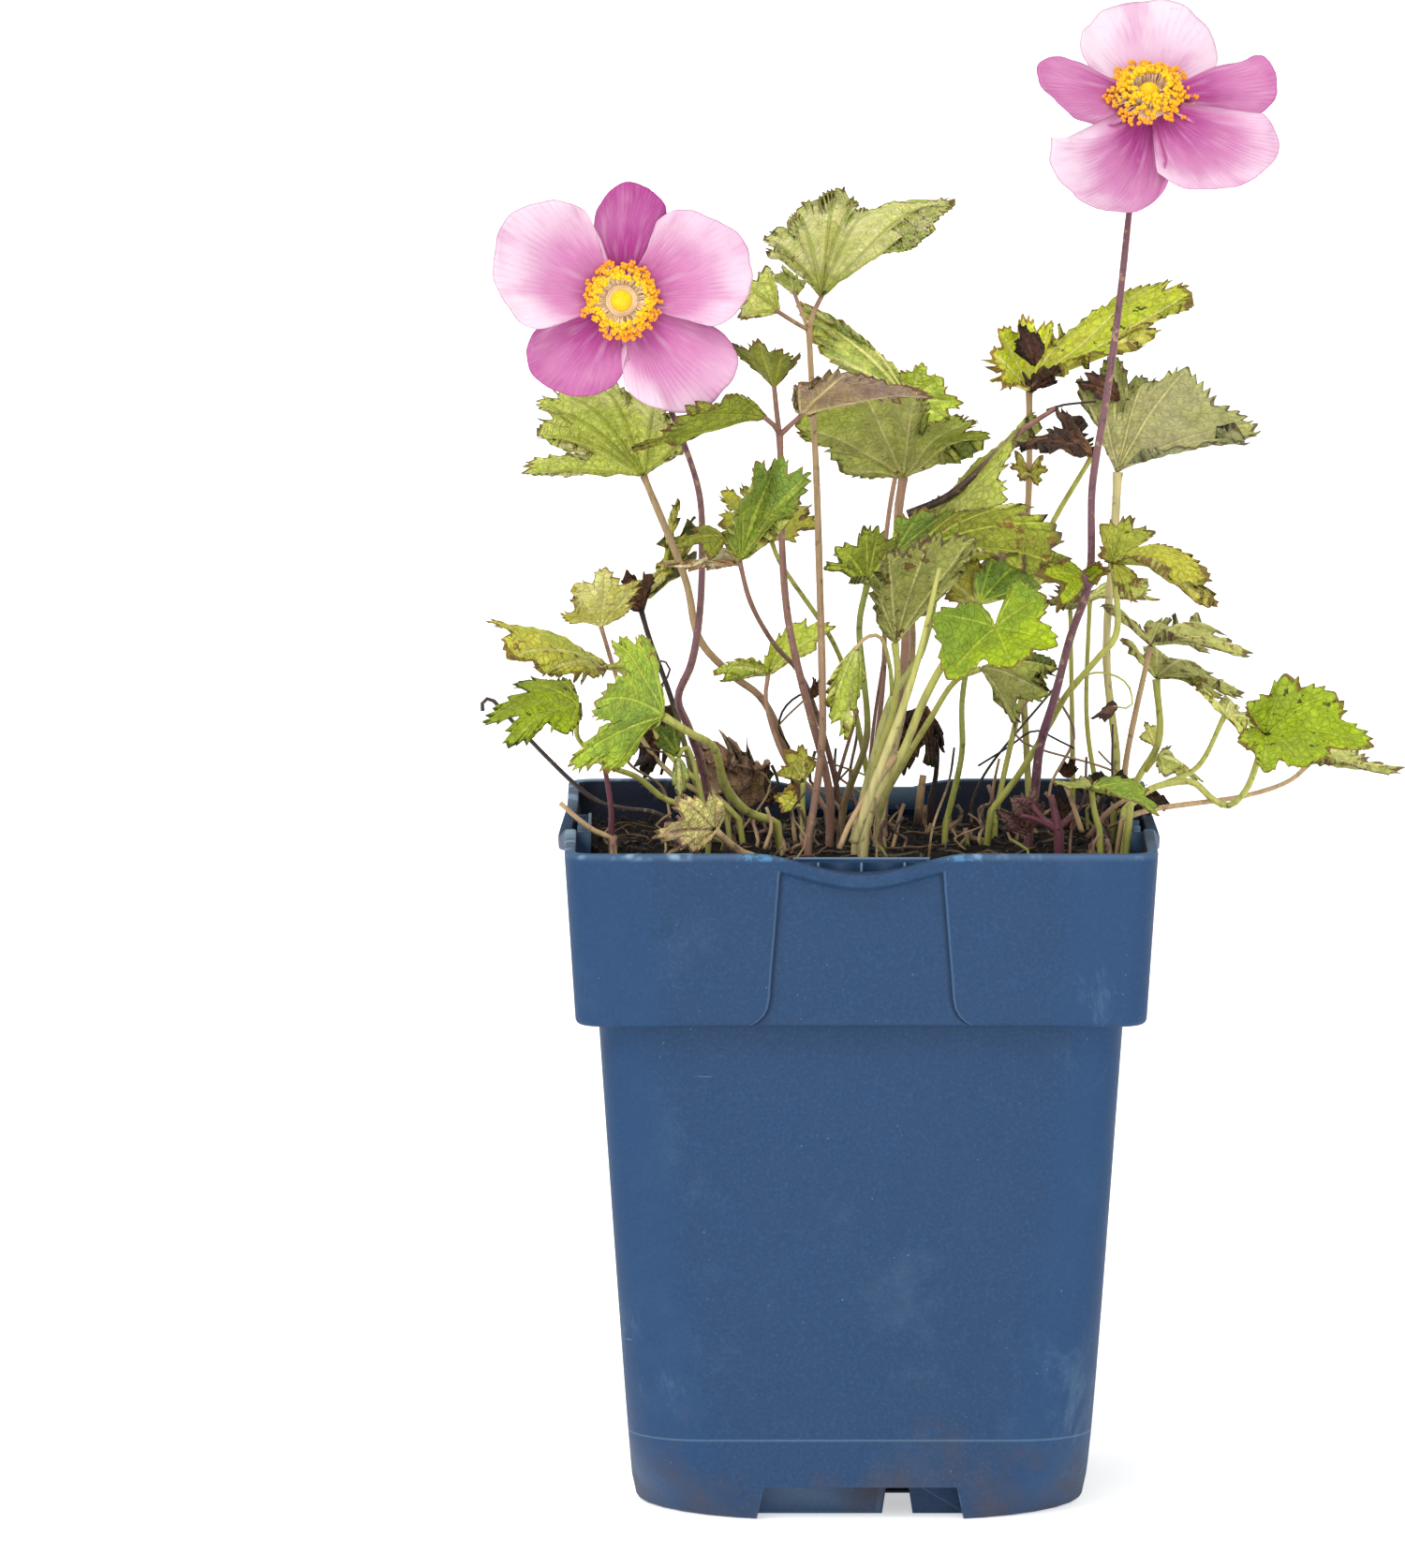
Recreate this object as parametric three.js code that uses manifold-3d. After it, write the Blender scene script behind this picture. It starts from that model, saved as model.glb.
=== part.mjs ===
// A potted Japanese anemone: a square blue nursery pot of peat, a clump of toothed leaves on
// slender stalks, some of them dried, and two pink blooms. Millimetres, +Z up, the pot's
// foot stands on z = 0 and the front is towards -Y.
import * as THREE from 'three';
import { mergeVertices } from 'three/addons/utils/BufferGeometryUtils.js';
import Module from 'manifold-3d';

const wasm = await Module();
wasm.setup();

// Driving dimensions of the pot
const potHeight = 127;
const rimHalf = 55;
const collarHeight = 32.6;
const collarBottomHalf = 52.9;
const bodyTopHalf = 48.7;
const footHalf = 42.3;
const bodyWall = 1.1;
const collarWall = 1.2;
const floorThickness = 7.5;
const panelProud = 0.6;
const lipHalfWidth = 20.5;
const lipDrop = 3.6;
const lipFlare = 2.2;
const notchHeight = 6.3;
const notchHalfTop = 18;
const notchHalfFoot = 19.5;
const footInset = 34.2;
const drainHalfTop = 1.9;
const drainHalfFoot = 3;
const drainCentre = 7;
const pocketHalfWidth = 12.8;
const pocketDepth = 2.6;

// Driving dimensions of what grows in it
const soilLevel = 119.6;
const crownRise = 1.4;
const seatGap = 0.3;
const holeGap = 0.4;
const rootDepth = 9;
const bladeThickness = 0.7;
const sepalThickness = 0.7;
const stalkSides = 4;
const stalkStep = 16;
const stalkOverlap = 0.9;
const ballRadius = 2.2;
const stamenCount = 18;
const antherRadius = 0.75;
const stamenReach = 6.6;

const looks = {
  pot: { color: 0x3a527c, roughness: 0.5 },
  soil: { color: 0x2c211b, roughness: 1 },
  lime: { color: 0x8fc02a, roughness: 0.6 },
  lightGreen: { color: 0x9aba52, roughness: 0.6 },
  yellowGreen: { color: 0xa3b340, roughness: 0.65 },
  midGreen: { color: 0x75a63c, roughness: 0.6 },
  darkGreen: { color: 0x4b7d35, roughness: 0.6 },
  olive: { color: 0x8e9c50, roughness: 0.65 },
  pale: { color: 0x93a069, roughness: 0.7 },
  dried: { color: 0x3b2d26, roughness: 0.9 },
  darkStem: { color: 0x43302a, roughness: 0.6 },
  redStem: { color: 0x7d3346, roughness: 0.5 },
  flowerStalk: { color: 0x6b4048, roughness: 0.5 },
  sepal: { color: 0xdf9ccb, roughness: 0.55 },
  stamen: { color: 0xf3a51d, roughness: 0.6 },
  carpel: { color: 0xf5c713, roughness: 0.6 },
};

// Every leafy stem, with its stalks from the leaf down to the soil, the first one rooted,
// and its blades, each with the tips of its lobes in order round the blade.
const leafyStems = [
  {
    name: 'leaf_top_trio',
    look: 'olive',
    stalks: [
      { width: [1.3, 1.7], path: [
        [-9.5, 2, 219], [-9, 2, 207], [-8, 1, 189.5], [-7.5, -1, 173.5], [-7, -6, 155],
        [-7, -8, 142.5], [-8.5, -9, 130.5], [-9.5, -10, 124.5],
      ] },
      { width: [1.2, 1], path: [[-9.5, 2, 218.5], [-8.5, 2, 221.5], [-7, 2, 225]] },
      { width: [1.1, 0.9], path: [[-9.5, 2, 218.5], [-12, 1, 220.5], [-15, 0, 222]] },
      { width: [1, 0.8], path: [[-9.5, 2, 218.5], [-11, 5, 221.5], [-12, 7, 224.5]] },
    ],
    blades: [
      { base: [-7, 2, 225], tips: [
        [-17.5, -7, 235.5], [-12.5, -18, 242.5], [-5.5, -20, 245.5], [16.5, -20, 244], [12, -4.5, 237],
      ], notch: 0.93, steps: 2, arch: 0.06 },
      { base: [-15, 0, 222], tips: [
        [-23, 2, 221], [-22.5, 6.5, 227], [-17.5, 9, 230],
      ], notch: 0.95, steps: 2, arch: 0.05 },
      { base: [-12, 7, 224.5], tips: [
        [-17.5, 20, 227.5], [-14, 20, 228.5], [-10.5, 11.5, 227.5],
      ], notch: 0.9, steps: 2, arch: 0.05 },
    ],
  },
  {
    name: 'leaf_middle_trio',
    look: 'olive',
    stalks: [
      { width: [1.4, 1.8], path: [
        [-15, -10, 200.5], [-14.5, -9.5, 194.5], [-14.5, -9.5, 182], [-13.5, -8, 166.5],
        [-11.5, -6, 156], [-7.5, -2.5, 139], [-5.5, -0.5, 131], [-5.5, 1, 123],
      ] },
      { width: [1.2, 1], path: [[-15, -10, 200], [-16, -12, 202], [-17.5, -14, 203.5]] },
      { width: [1.2, 1], path: [[-15, -10, 200], [-15.5, -11, 204.5], [-16, -12, 209]] },
      { width: [1.2, 1], path: [[-15, -10, 200], [-13, -11, 202], [-11, -12, 204]] },
    ],
    blades: [
      { base: [-17.5, -14, 203.5], tips: [
        [-31.5, -16, 201], [-42.5, -21.5, 198.5], [-34.5, -23.5, 205.5], [-25, -21.5, 209],
      ], notch: 0.96, steps: 2, arch: 0.05 },
      { base: [-16, -12, 209], tips: [
        [-24, -12, 217.5], [-19.5, -21.5, 219], [-14.5, -21.5, 217.5], [-11, -10, 215.5],
      ], notch: 0.93, steps: 2, arch: 0.05 },
      { base: [-11, -12, 204], tips: [
        [-11.5, -19.5, 211], [-2, -27, 214], [13.5, -25.5, 210], [2.5, -12, 206.5],
      ], notch: 0.97, steps: 2, arch: 0.05 },
    ],
  },
  {
    name: 'leaf_pale_palmate',
    look: 'olive',
    stalks: [
      { width: [1.5, 1.8], path: [
        [-40.5, 12, 190], [-38.5, 12, 183.5], [-35.5, 12, 177], [-32.5, 11, 169.5], [-30, 12, 159],
        [-24, 14, 152], [-18, 15, 147], [-15, 16, 140.5], [-11.5, 18, 130.5], [-10.5, 20, 124.5],
      ] },
    ],
    blades: [
      { base: [-40.5, 12, 190], tips: [
        [-63.5, 4, 192], [-61, -10, 203.5], [-51.5, -14, 213], [-38, -8, 207.5], [-31.5, 4, 198.5],
      ], notch: 0.78, steps: 2, arch: 0.05 },
    ],
  },
  {
    name: 'leaf_two_lobed',
    look: 'midGreen',
    stalks: [
      { width: [0.9, 1.2], path: [
        [-17, 10, 152.5], [-17.5, 10, 148], [-15.5, 11, 140.5], [-12.5, 12, 134.5], [-8.5, 13, 130],
        [-6, 14, 126],
      ] },
    ],
    blades: [
      { base: [-17, 10, 152.5], tips: [
        [-26, 3, 152], [-27, -1, 155], [-12.5, 15.5, 161.5], [-4, 12, 161], [-8, 6.5, 157.5],
      ], notch: [0.95, 0.42, 0.9, 0.9], steps: 2, arch: 0.06 },
    ],
  },
  {
    name: 'leaf_dark_trio',
    look: 'darkGreen',
    stalks: [
      { width: [1, 1.3], path: [
        [-22.5, -16, 177], [-20.5, -12, 169], [-16, -4, 160], [-11.5, 4, 154], [-8, 14, 145],
        [-5, 22, 133.5], [-3, 26, 124.5],
      ] },
      { width: [0.9, 0.8], path: [[-22.5, -16, 176.5], [-24, -16, 179], [-25, -16, 181.5]] },
    ],
    blades: [
      { base: [-22.5, -16, 177], tips: [
        [-25.5, -24, 182.5], [-23, -30.5, 190], [-19.5, -27, 197], [-14.5, -24, 198], [-9, -27, 195],
        [-12.5, -19, 186],
      ], notch: 0.95, steps: 2, arch: 0.06 },
      { base: [-25, -16, 181.5], tips: [
        [-28, -22.5, 178], [-34, -21, 180.5], [-31, -14.5, 183],
      ], notch: 0.85, steps: 1, arch: 0.08 },
      { base: [-22.5, -16, 176.5], tips: [
        [-29, -12.5, 175], [-37.5, -9.5, 176], [-27, -6.5, 179],
      ], notch: 0.95, steps: 2, arch: 0.04 },
    ],
  },
  {
    name: 'leaf_brown_edged',
    look: 'yellowGreen',
    stalks: [
      { width: [1, 1.3], path: [
        [-16.5, 10, 178], [-15, 11, 173.5], [-10, 15, 166.5], [-5, 19, 158.5], [-2, 23, 149.5],
        [1, 26, 136.5], [2.5, 28, 127],
      ] },
    ],
    blades: [
      { base: [-16.5, 10, 178], tips: [
        [-21.5, 1, 176.5], [-26.5, 10, 181], [-26, 21, 186], [-21, 26, 186.5], [-9.5, 24.5, 183],
        [-7.5, 13.5, 181.5], [-12, 3, 179],
      ], notch: 0.8, steps: 2, arch: 0.05 },
    ],
  },
  {
    name: 'leaf_blackened_left',
    look: 'dried',
    stalks: [
      { width: [1.1, 1.4], path: [
        [-41, 24, 163], [-39.5, 22.5, 158], [-37.5, 22.5, 153], [-35.5, 22, 147], [-33, 22.5, 138],
        [-30, 23.5, 128.5], [-28.5, 23, 124],
      ] },
      { width: [1.2, 0.9], path: [[-41, 24, 162.5], [-40.5, 24, 164], [-40, 25, 165.5]] },
    ],
    blades: [
      { base: [-41, 24, 163], tips: [
        [-46, 16.5, 166], [-44, 18, 171], [-39, 22.5, 170.5],
      ], notch: 0.85, steps: 2, arch: 0.05, crumple: 1.0 },
      { base: [-40, 25, 165.5], tips: [
        [-36, 35.5, 172], [-34, 40, 181.5], [-30, 35.5, 178], [-30.5, 31, 172.5],
      ], notch: 0.8, steps: 2, arch: 0.03, crumple: 0.8 },
    ],
  },
  {
    name: 'leaf_yellow_fan',
    look: 'yellowGreen',
    stalks: [
      { width: [0.9, 1.3], path: [
        [-48.5, 10, 161.5], [-47, 13, 156], [-44.5, 16, 147.5], [-40, 17, 137.5], [-34.5, 17, 132],
        [-28, 17, 128.5], [-25, 16, 125.5],
      ] },
    ],
    blades: [
      { base: [-48.5, 10, 161.5], tips: [
        [-56, 6, 165.5], [-53.5, -3.5, 171.5], [-47.5, -7, 175], [-41, 0.5, 171.5], [-42.5, 10, 165],
      ], notch: 0.88, steps: 2, arch: 0.05 },
    ],
  },
  {
    name: 'leaf_green_left',
    look: 'midGreen',
    stalks: [
      { width: [1.6, 2], path: [
        [-36.5, -30, 149.5], [-31.5, -27, 146.5], [-27.5, -22, 143], [-25.5, -17, 138.5],
        [-25, -12, 134], [-21.5, -7, 129], [-15.5, -2, 126],
      ] },
    ],
    blades: [
      { base: [-36.5, -30, 149.5], tips: [
        [-47, -31, 140.5], [-54, -43, 141.5], [-50, -47, 154.5], [-47, -40.5, 165], [-41, -30, 165],
      ], notch: [0.95, 0.72, 0.8, 0.92], steps: 2, arch: 0.09, tooth: 0.16 },
    ],
  },
  {
    name: 'leaf_spotted_left',
    look: 'yellowGreen',
    stalks: [
      { width: [1, 1.3], path: [
        [-48, 18, 153], [-44.5, 17.5, 151.5], [-40, 17.5, 146], [-37, 17, 137.5], [-32, 15.5, 132],
        [-26, 14.5, 127.5], [-22.5, 14, 124.5],
      ] },
    ],
    blades: [
      { base: [-48, 18, 153], tips: [
        [-50, 8.5, 151.5], [-59.5, 0.5, 153.5], [-66, 0.5, 157], [-70.5, 10, 162], [-63, 19.5, 159.5],
        [-56, 24.5, 155.5],
      ], notch: 0.97, steps: 2, arch: 0.07 },
    ],
  },
  {
    name: 'leaf_lobed_left',
    look: 'yellowGreen',
    stalks: [
      { width: [1, 1.4], path: [
        [-52.5, -10, 149], [-53, -8, 144.5], [-52.5, -5.5, 141.5], [-48, -1.5, 137], [-41.5, 1.5, 134],
        [-37, 3.5, 129.5], [-32.5, 4, 127.5], [-29.5, 5, 125.5],
      ] },
    ],
    blades: [
      { base: [-52.5, -10, 149], tips: [
        [-57, 0.5, 153], [-64, -5, 152.5], [-70.5, -16.5, 147], [-65.5, -24.5, 143],
        [-54.5, -21.5, 144.5],
      ], notch: [0.9, 0.6, 0.68, 0.72], steps: 2, arch: 0.1, tooth: 0.14 },
    ],
  },
  {
    name: 'stem_dark_arching',
    look: 'darkStem',
    stalks: [
      { width: [0.8, 1.2], path: [
        [-72, 24, 144], [-72, 23, 145.5], [-70.5, 22, 146.5], [-68, 21.5, 145], [-63, 20.5, 140.5],
        [-55, 18.5, 132.5], [-50, 16.5, 128], [-44.5, 14, 126.5], [-39, 9, 126.5], [-35.5, 6, 125.5],
      ] },
    ],
    blades: [],
  },
  {
    name: 'stem_red_shoot',
    look: 'redStem',
    stalks: [
      { width: [0.9, 1.3], path: [
        [-48.5, -12, 142], [-47.5, -12, 134.5], [-46.5, -13, 129.5], [-46.5, -13, 125],
      ] },
    ],
    blades: [],
  },
  {
    name: 'leaf_hanging_left',
    look: 'darkGreen',
    stalks: [
      { width: [1, 1.2], path: [
        [-34, -14, 140], [-32.5, -13.5, 141.5], [-31, -13, 139], [-29.5, -12.5, 132.5],
        [-28.5, -12, 126],
      ] },
    ],
    blades: [
      { base: [-34, -14, 140], tips: [
        [-38.5, -18.5, 143], [-38.5, -21.5, 147], [-35.5, -20, 148], [-34, -15.5, 145.5],
      ], notch: 0.9, steps: 2, arch: 0.05 },
      { base: [-34, -14, 140], tips: [
        [-35, -20, 135.5], [-33.5, -24.5, 132], [-32, -18.5, 136],
      ], notch: 1.0, steps: 1, arch: 0.03 },
    ],
  },
  {
    name: 'dried_leaf_left',
    look: 'dried',
    stalks: [
      { width: [1, 1.2], path: [[-34.5, 26, 144], [-33.5, 27, 138], [-31.5, 28, 131], [-31, 29, 125]] },
    ],
    blades: [
      { base: [-34.5, 26, 144], tips: [
        [-41.5, 20, 141.5], [-43.5, 17.5, 137.5], [-41, 16.5, 132.5], [-37, 20, 132.5],
        [-35.5, 21, 138],
      ], notch: 0.8, steps: 2, arch: 0.1, crumple: 1.4 },
    ],
  },
  {
    name: 'dried_leaf_curled',
    look: 'dried',
    stalks: [
      { width: [1.2, 1.6], path: [[-20.5, 36, 124], [-19.5, 35.5, 122], [-18.5, 35, 122.5]] },
    ],
    blades: [
      { base: [-20.5, 36, 124], tips: [
        [-29.5, 21.5, 129], [-30.5, 19, 136.5], [-24, 25, 138], [-16.5, 30, 132], [-15, 34.5, 126.5],
      ], notch: 0.9, steps: 2, arch: 0.12, crumple: 2.0 },
    ],
  },
  {
    name: 'leaf_front_rim',
    look: 'pale',
    stalks: [
      { width: [1.5, 1.8], path: [
        [-27, -33, 128.5], [-24.5, -32, 126.5], [-22, -30, 124], [-19.5, -28, 123],
      ] },
    ],
    blades: [
      { base: [-27, -33, 128.5], tips: [
        [-31.5, -38.5, 125], [-38.5, -43, 128.5], [-34.5, -37.5, 135.5], [-27.5, -29.5, 135],
        [-25, -26.5, 131.5],
      ], notch: [0.92, 0.8, 0.78, 0.95], steps: 2, arch: 0.05 },
    ],
  },
  {
    name: 'leaf_small_speckled',
    look: 'yellowGreen',
    stalks: [
      { width: [0.9, 1.2], path: [[-10.5, 6, 132.5], [-10.5, 7, 128.5], [-10.5, 7, 125.5]] },
      { width: [0.8, 0.7], path: [[-10.5, 7, 128], [-11.5, 7, 128]] },
    ],
    blades: [
      { base: [-10.5, 6, 132.5], tips: [
        [-15.5, 4.5, 134.5], [-14, 7.5, 138.5], [-10.5, 8.5, 139.5], [-8, 10, 136],
      ], notch: 0.85, steps: 1, arch: 0.06 },
      { base: [-11.5, 7, 128], tips: [
        [-14.5, 4.5, 127], [-16, 4.5, 130], [-13, 5.5, 132.5],
      ], notch: 0.95, steps: 1, arch: 0.04 },
    ],
  },
  {
    name: 'leaf_spotted_centre',
    look: 'pale',
    stalks: [
      { width: [1.4, 1.7], path: [
        [6.5, -19, 162], [7, -18.5, 155.5], [6, -16, 148], [3.5, -14, 139.5], [1.5, -13.5, 130.5],
        [0.5, -14, 125.5],
      ] },
      { width: [1, 0.8], path: [
        [6, -16.5, 152], [5.5, -21, 158], [3.5, -25, 163.5], [1, -27, 164], [-0.5, -28, 162.5],
      ] },
    ],
    blades: [
      { base: [6.5, -19, 162], tips: [
        [3, -24, 166.5], [2, -28, 174], [5, -29.5, 180.5], [12, -25.5, 183], [18.5, -19, 179.5],
        [13, -14, 168],
      ], notch: 0.95, steps: 2, arch: 0.06 },
      { base: [-0.5, -28, 162.5], tips: [
        [-6, -26.5, 155], [-6.5, -28, 149.5], [-3, -32, 145.5], [0.5, -26.5, 153],
      ], notch: 0.97, steps: 2, arch: 0.04 },
    ],
  },
  {
    name: 'leaf_dark_lobed',
    look: 'darkGreen',
    stalks: [
      { width: [1.3, 1.6], path: [
        [1.5, -8, 172], [0, -6, 164.5], [0, -4, 159], [1, -2, 150.5], [1.5, 1, 142.5], [-1.5, 7, 132],
        [-3, 10, 127],
      ] },
      { width: [1, 0.9], path: [[1, -8, 171], [3.5, -6, 174.5], [6.5, -4, 177]] },
    ],
    blades: [
      { base: [1.5, -8, 172], tips: [
        [-6.5, -19, 176], [-5, -17.5, 180], [1, -11, 183.5], [5.5, -6.5, 179.5],
      ], notch: [0.7, 0.75, 0.9], steps: 2, arch: 0.07, tooth: 0.18 },
      { base: [6.5, -4, 177], tips: [
        [7, -5.5, 183], [11.5, -4, 185.5], [17, 2.5, 184.5], [16.5, 5.5, 179.5],
      ], notch: 0.95, steps: 2, arch: 0.05 },
    ],
  },
  {
    name: 'leaf_large_palmate',
    look: 'olive',
    stalks: [
      { width: [2, 1.8], path: [
        [8.5, 22, 188.5], [7.5, 22.5, 179.5], [8.5, 24.5, 168.5], [9, 26, 156], [8, 26.5, 142.5],
        [6, 26.5, 131], [5, 26, 125.5],
      ] },
    ],
    blades: [
      { base: [8.5, 22, 188.5], tips: [
        [-3.5, 20, 190], [-12, 9.5, 200.5], [-2, -3, 209], [10.5, -1.5, 207], [21.5, 7.5, 201.5],
        [25, 18.5, 196], [16.5, 22, 191.5],
      ], notch: [0.93, 0.88, 0.9, 0.62, 0.85, 0.9], steps: 2, arch: 0.07, tooth: 0.1 },
    ],
  },
  {
    name: 'leaf_long_upper',
    look: 'lightGreen',
    stalks: [
      { width: [1, 1.2], path: [
        [10, 38, 201], [8, 38, 193.5], [7, 37.5, 184.5], [5.5, 37.5, 176], [5, 37.5, 163.5],
        [5, 37.5, 149], [3.5, 37, 135], [2.5, 36, 127],
      ] },
    ],
    blades: [
      { base: [10, 38, 201], tips: [
        [1, 31, 204.5], [-7, 25.5, 211.5], [-11.5, 21, 222], [-0.5, 29.5, 215.5], [6.5, 35, 209],
      ], notch: 0.97, steps: 2, arch: 0.04 },
      { base: [10, 38, 201], tips: [
        [8, 35, 207.5], [13, 32.5, 209.5], [20.5, 32.5, 204.5], [18, 36.5, 200.5],
      ], notch: 0.86, steps: 2, arch: 0.05 },
    ],
  },
  {
    name: 'leaf_long_folded',
    look: 'lightGreen',
    stalks: [
      { width: [1.4, 1.9], path: [
        [13, 8, 178], [14.5, 6, 172.5], [13, 3, 167], [11.5, -2, 158.5], [6, -7, 149.5],
        [2.5, -8, 137.5], [-0.5, -8, 126.5],
      ] },
    ],
    blades: [
      { base: [13, 8, 178], tips: [
        [17.5, 21.5, 186], [34.5, 21.5, 199.5], [29.5, 8, 196], [28, 1, 186.5],
      ], notch: [1.0, 0.97, 0.97], steps: 2, arch: 0.05 },
    ],
  },
  {
    name: 'leaf_arched_olive',
    look: 'olive',
    stalks: [
      { width: [1.3, 1.6], path: [
        [10.5, -8, 178], [10, -0.5, 168.5], [10, 7, 156.5], [8.5, 9, 146], [6, 8.5, 135],
        [4.5, 8, 126.5],
      ] },
    ],
    blades: [
      { base: [10.5, -8, 178], tips: [
        [20, -1, 185], [31, 1, 186], [37, 0, 182], [40.5, -4, 173.5], [25, -11, 178],
      ], notch: 0.96, steps: 2, arch: 0.07 },
    ],
  },
  {
    name: 'leaf_lime_front',
    look: 'lime',
    stalks: [
      { width: [1.7, 1.9], path: [
        [25, -33, 166.5], [21.5, -28, 163.5], [16.5, -25, 159.5], [12, -23, 151.5], [8, -22, 141.5],
        [2.5, -22, 132], [1, -22, 127],
      ] },
    ],
    blades: [
      { base: [25, -33, 166.5], tips: [
        [19.5, -33, 171.5], [11.5, -40, 165.5], [16.5, -43.5, 158.5], [31, -43.5, 158], [37, -39, 165],
        [35.5, -33, 172.5], [29.5, -30.5, 176.5],
      ], notch: [0.8, 0.82, 0.6, 0.82, 0.72, 0.93], steps: 2, arch: 0.05, tooth: 0.12 },
    ],
  },
  {
    name: 'leaf_olive_drooping',
    look: 'olive',
    stalks: [
      { width: [1.2, 1.5], path: [
        [22.5, -14, 156.5], [18, -11.5, 153.5], [13, -9, 146.5], [8.5, -5, 138.5], [5, -1.5, 131],
        [3.5, 1, 126],
      ] },
    ],
    blades: [
      { base: [22.5, -14, 156.5], tips: [
        [26, -22, 152], [29, -28.5, 147.5], [35.5, -23, 152.5], [37, -16.5, 157.5],
      ], notch: 0.8, steps: 2, arch: 0.07 },
    ],
  },
  {
    name: 'leaf_blue_green',
    look: 'darkGreen',
    stalks: [
      { width: [1.1, 1.4], path: [
        [22.5, 4, 166.5], [21, 6, 158.5], [19.5, 8, 148.5], [19.5, 9, 138.5], [18, 11, 129.5],
        [16.5, 12, 124],
      ] },
    ],
    blades: [
      { base: [22.5, 4, 166.5], tips: [
        [21.5, 6, 172.5], [25.5, 12, 176], [32.5, 14, 174.5], [34.5, 8, 169],
      ], notch: 0.85, steps: 2, arch: 0.05 },
    ],
  },
  {
    name: 'leaf_tall_yellow_green',
    look: 'lime',
    stalks: [
      { width: [1.4, 1.5], path: [
        [32.5, 36, 203.5], [32.5, 35.5, 197.5], [32.5, 35.5, 186.5], [32, 34, 172.5], [31, 32, 159],
        [31.5, 28.5, 147], [32, 26.5, 136.5], [32.5, 25, 125.5],
      ] },
    ],
    blades: [
      { base: [32.5, 36, 203.5], tips: [
        [26.5, 27.5, 204], [23, 22.5, 211], [26, 26, 216.5], [30.5, 32.5, 213.5],
      ], notch: 0.85, steps: 2, arch: 0.06 },
      { base: [32.5, 36, 203.5], tips: [
        [29.5, 41, 213], [31, 44.5, 217], [38.5, 46, 215],
      ], notch: 0.85, steps: 2, arch: 0.03 },
      { base: [32.5, 36, 203.5], tips: [
        [40, 48, 215], [57.5, 51.5, 222], [64, 44.5, 220], [56, 39.5, 213.5], [43, 31, 209.5],
      ], notch: [0.95, 0.97, 0.8, 0.93], steps: 2, arch: 0.05 },
      { base: [32.5, 35.5, 187.5], tips: [
        [28.5, 25, 190], [32, 20, 187], [35.5, 27, 189],
      ], notch: 0.8, steps: 1, arch: 0.05 },
    ],
  },
  {
    name: 'leaf_arched_grey_green',
    look: 'pale',
    stalks: [
      { width: [1.9, 1.6], path: [
        [49, 22, 189.5], [48.5, 21.5, 179.5], [47.5, 22.5, 169], [47, 23, 154.5], [48, 22.5, 144],
        [49, 21.5, 134.5], [48.5, 21, 128],
      ] },
    ],
    blades: [
      { base: [49, 22, 189.5], tips: [
        [46, 33, 198.5], [54.5, 41.5, 204], [63, 41.5, 206.5], [75.5, 27.5, 198.5],
        [72.5, 16.5, 196.5], [60.5, 12, 195],
      ], notch: [0.9, 0.95, 0.97, 0.85, 0.93], steps: 2, arch: 0.07 },
      { base: [49, 22, 189.5], tips: [
        [46, 34.5, 195.5], [41.5, 39, 205], [48, 44.5, 208.5], [54.5, 46, 204],
      ], notch: [0.93, 0.8, 0.85], steps: 2, arch: 0.03 },
    ],
  },
  {
    name: 'leaf_blackened_right',
    look: 'olive',
    stalks: [
      { width: [1.1, 1.3], path: [
        [44, 14, 193.5], [40.5, 16.5, 187], [36.5, 18.5, 180.5], [33.5, 21, 172.5], [33, 21, 158.5],
        [30.5, 19.5, 144.5], [27.5, 18.5, 132], [26, 18, 124.5],
      ] },
    ],
    blades: [
      { base: [44, 14, 193.5], tips: [
        [35.5, 3.5, 195], [29, 2, 196.5], [34.5, 11, 200], [40, 17, 202], [45, 18.5, 198],
      ], notch: [0.9, 0.85, 0.8, 0.93], steps: 2, arch: 0.06 },
    ],
  },
  {
    name: 'leaf_brown_edged_right',
    look: 'midGreen',
    stalks: [
      { width: [1.4, 1.5], path: [
        [47.5, -10, 176], [48, -9, 167.5], [48, -7.5, 162], [45, -6.5, 157.5], [39, -0.5, 150.5],
        [36, 4.5, 143.5], [30.5, 9, 134], [25, 10, 126.5],
      ] },
      { width: [0.5, 0.4], path: [
        [39, -0.5, 150.5], [43, -1.5, 153.5], [47.5, -2.5, 154], [50.5, -3.5, 151.5],
        [51, -3.5, 147.5], [48.5, -3.5, 148],
      ] },
    ],
    blades: [
      { base: [47.5, -10, 176], tips: [
        [44.5, -14.5, 178], [45, -7, 183], [50.5, -1, 183.5], [55.5, -4, 181.5],
      ], notch: [0.8, 0.9, 0.85], steps: 2, arch: 0.04 },
      { base: [47.5, -10, 176], tips: [
        [58.5, -10, 179], [64.5, -17.5, 176.5], [66.5, -26.5, 170], [57.5, -25, 175.5],
      ], notch: 0.97, steps: 2, arch: 0.09 },
      { base: [47.5, -10, 176], tips: [
        [52, -17.5, 173.5], [50.5, -23.5, 170], [47.5, -19, 172.5],
      ], notch: 0.95, steps: 1, arch: 0.04 },
      { base: [48.5, -3.5, 148], tips: [
        [46.5, -2, 148.5], [43.5, -3.5, 145.5], [46, -6.5, 145.5],
      ], notch: 0.95, steps: 1, arch: 0.1, crumple: 0.4 },
    ],
  },
  {
    name: 'leaf_right_upper',
    look: 'pale',
    stalks: [
      { width: [1.2, 1.4], path: [
        [55, 13, 157.5], [54, 14, 151.5], [52, 15, 142.5], [50.5, 15, 135], [50, 15, 127.5],
      ] },
    ],
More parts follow.
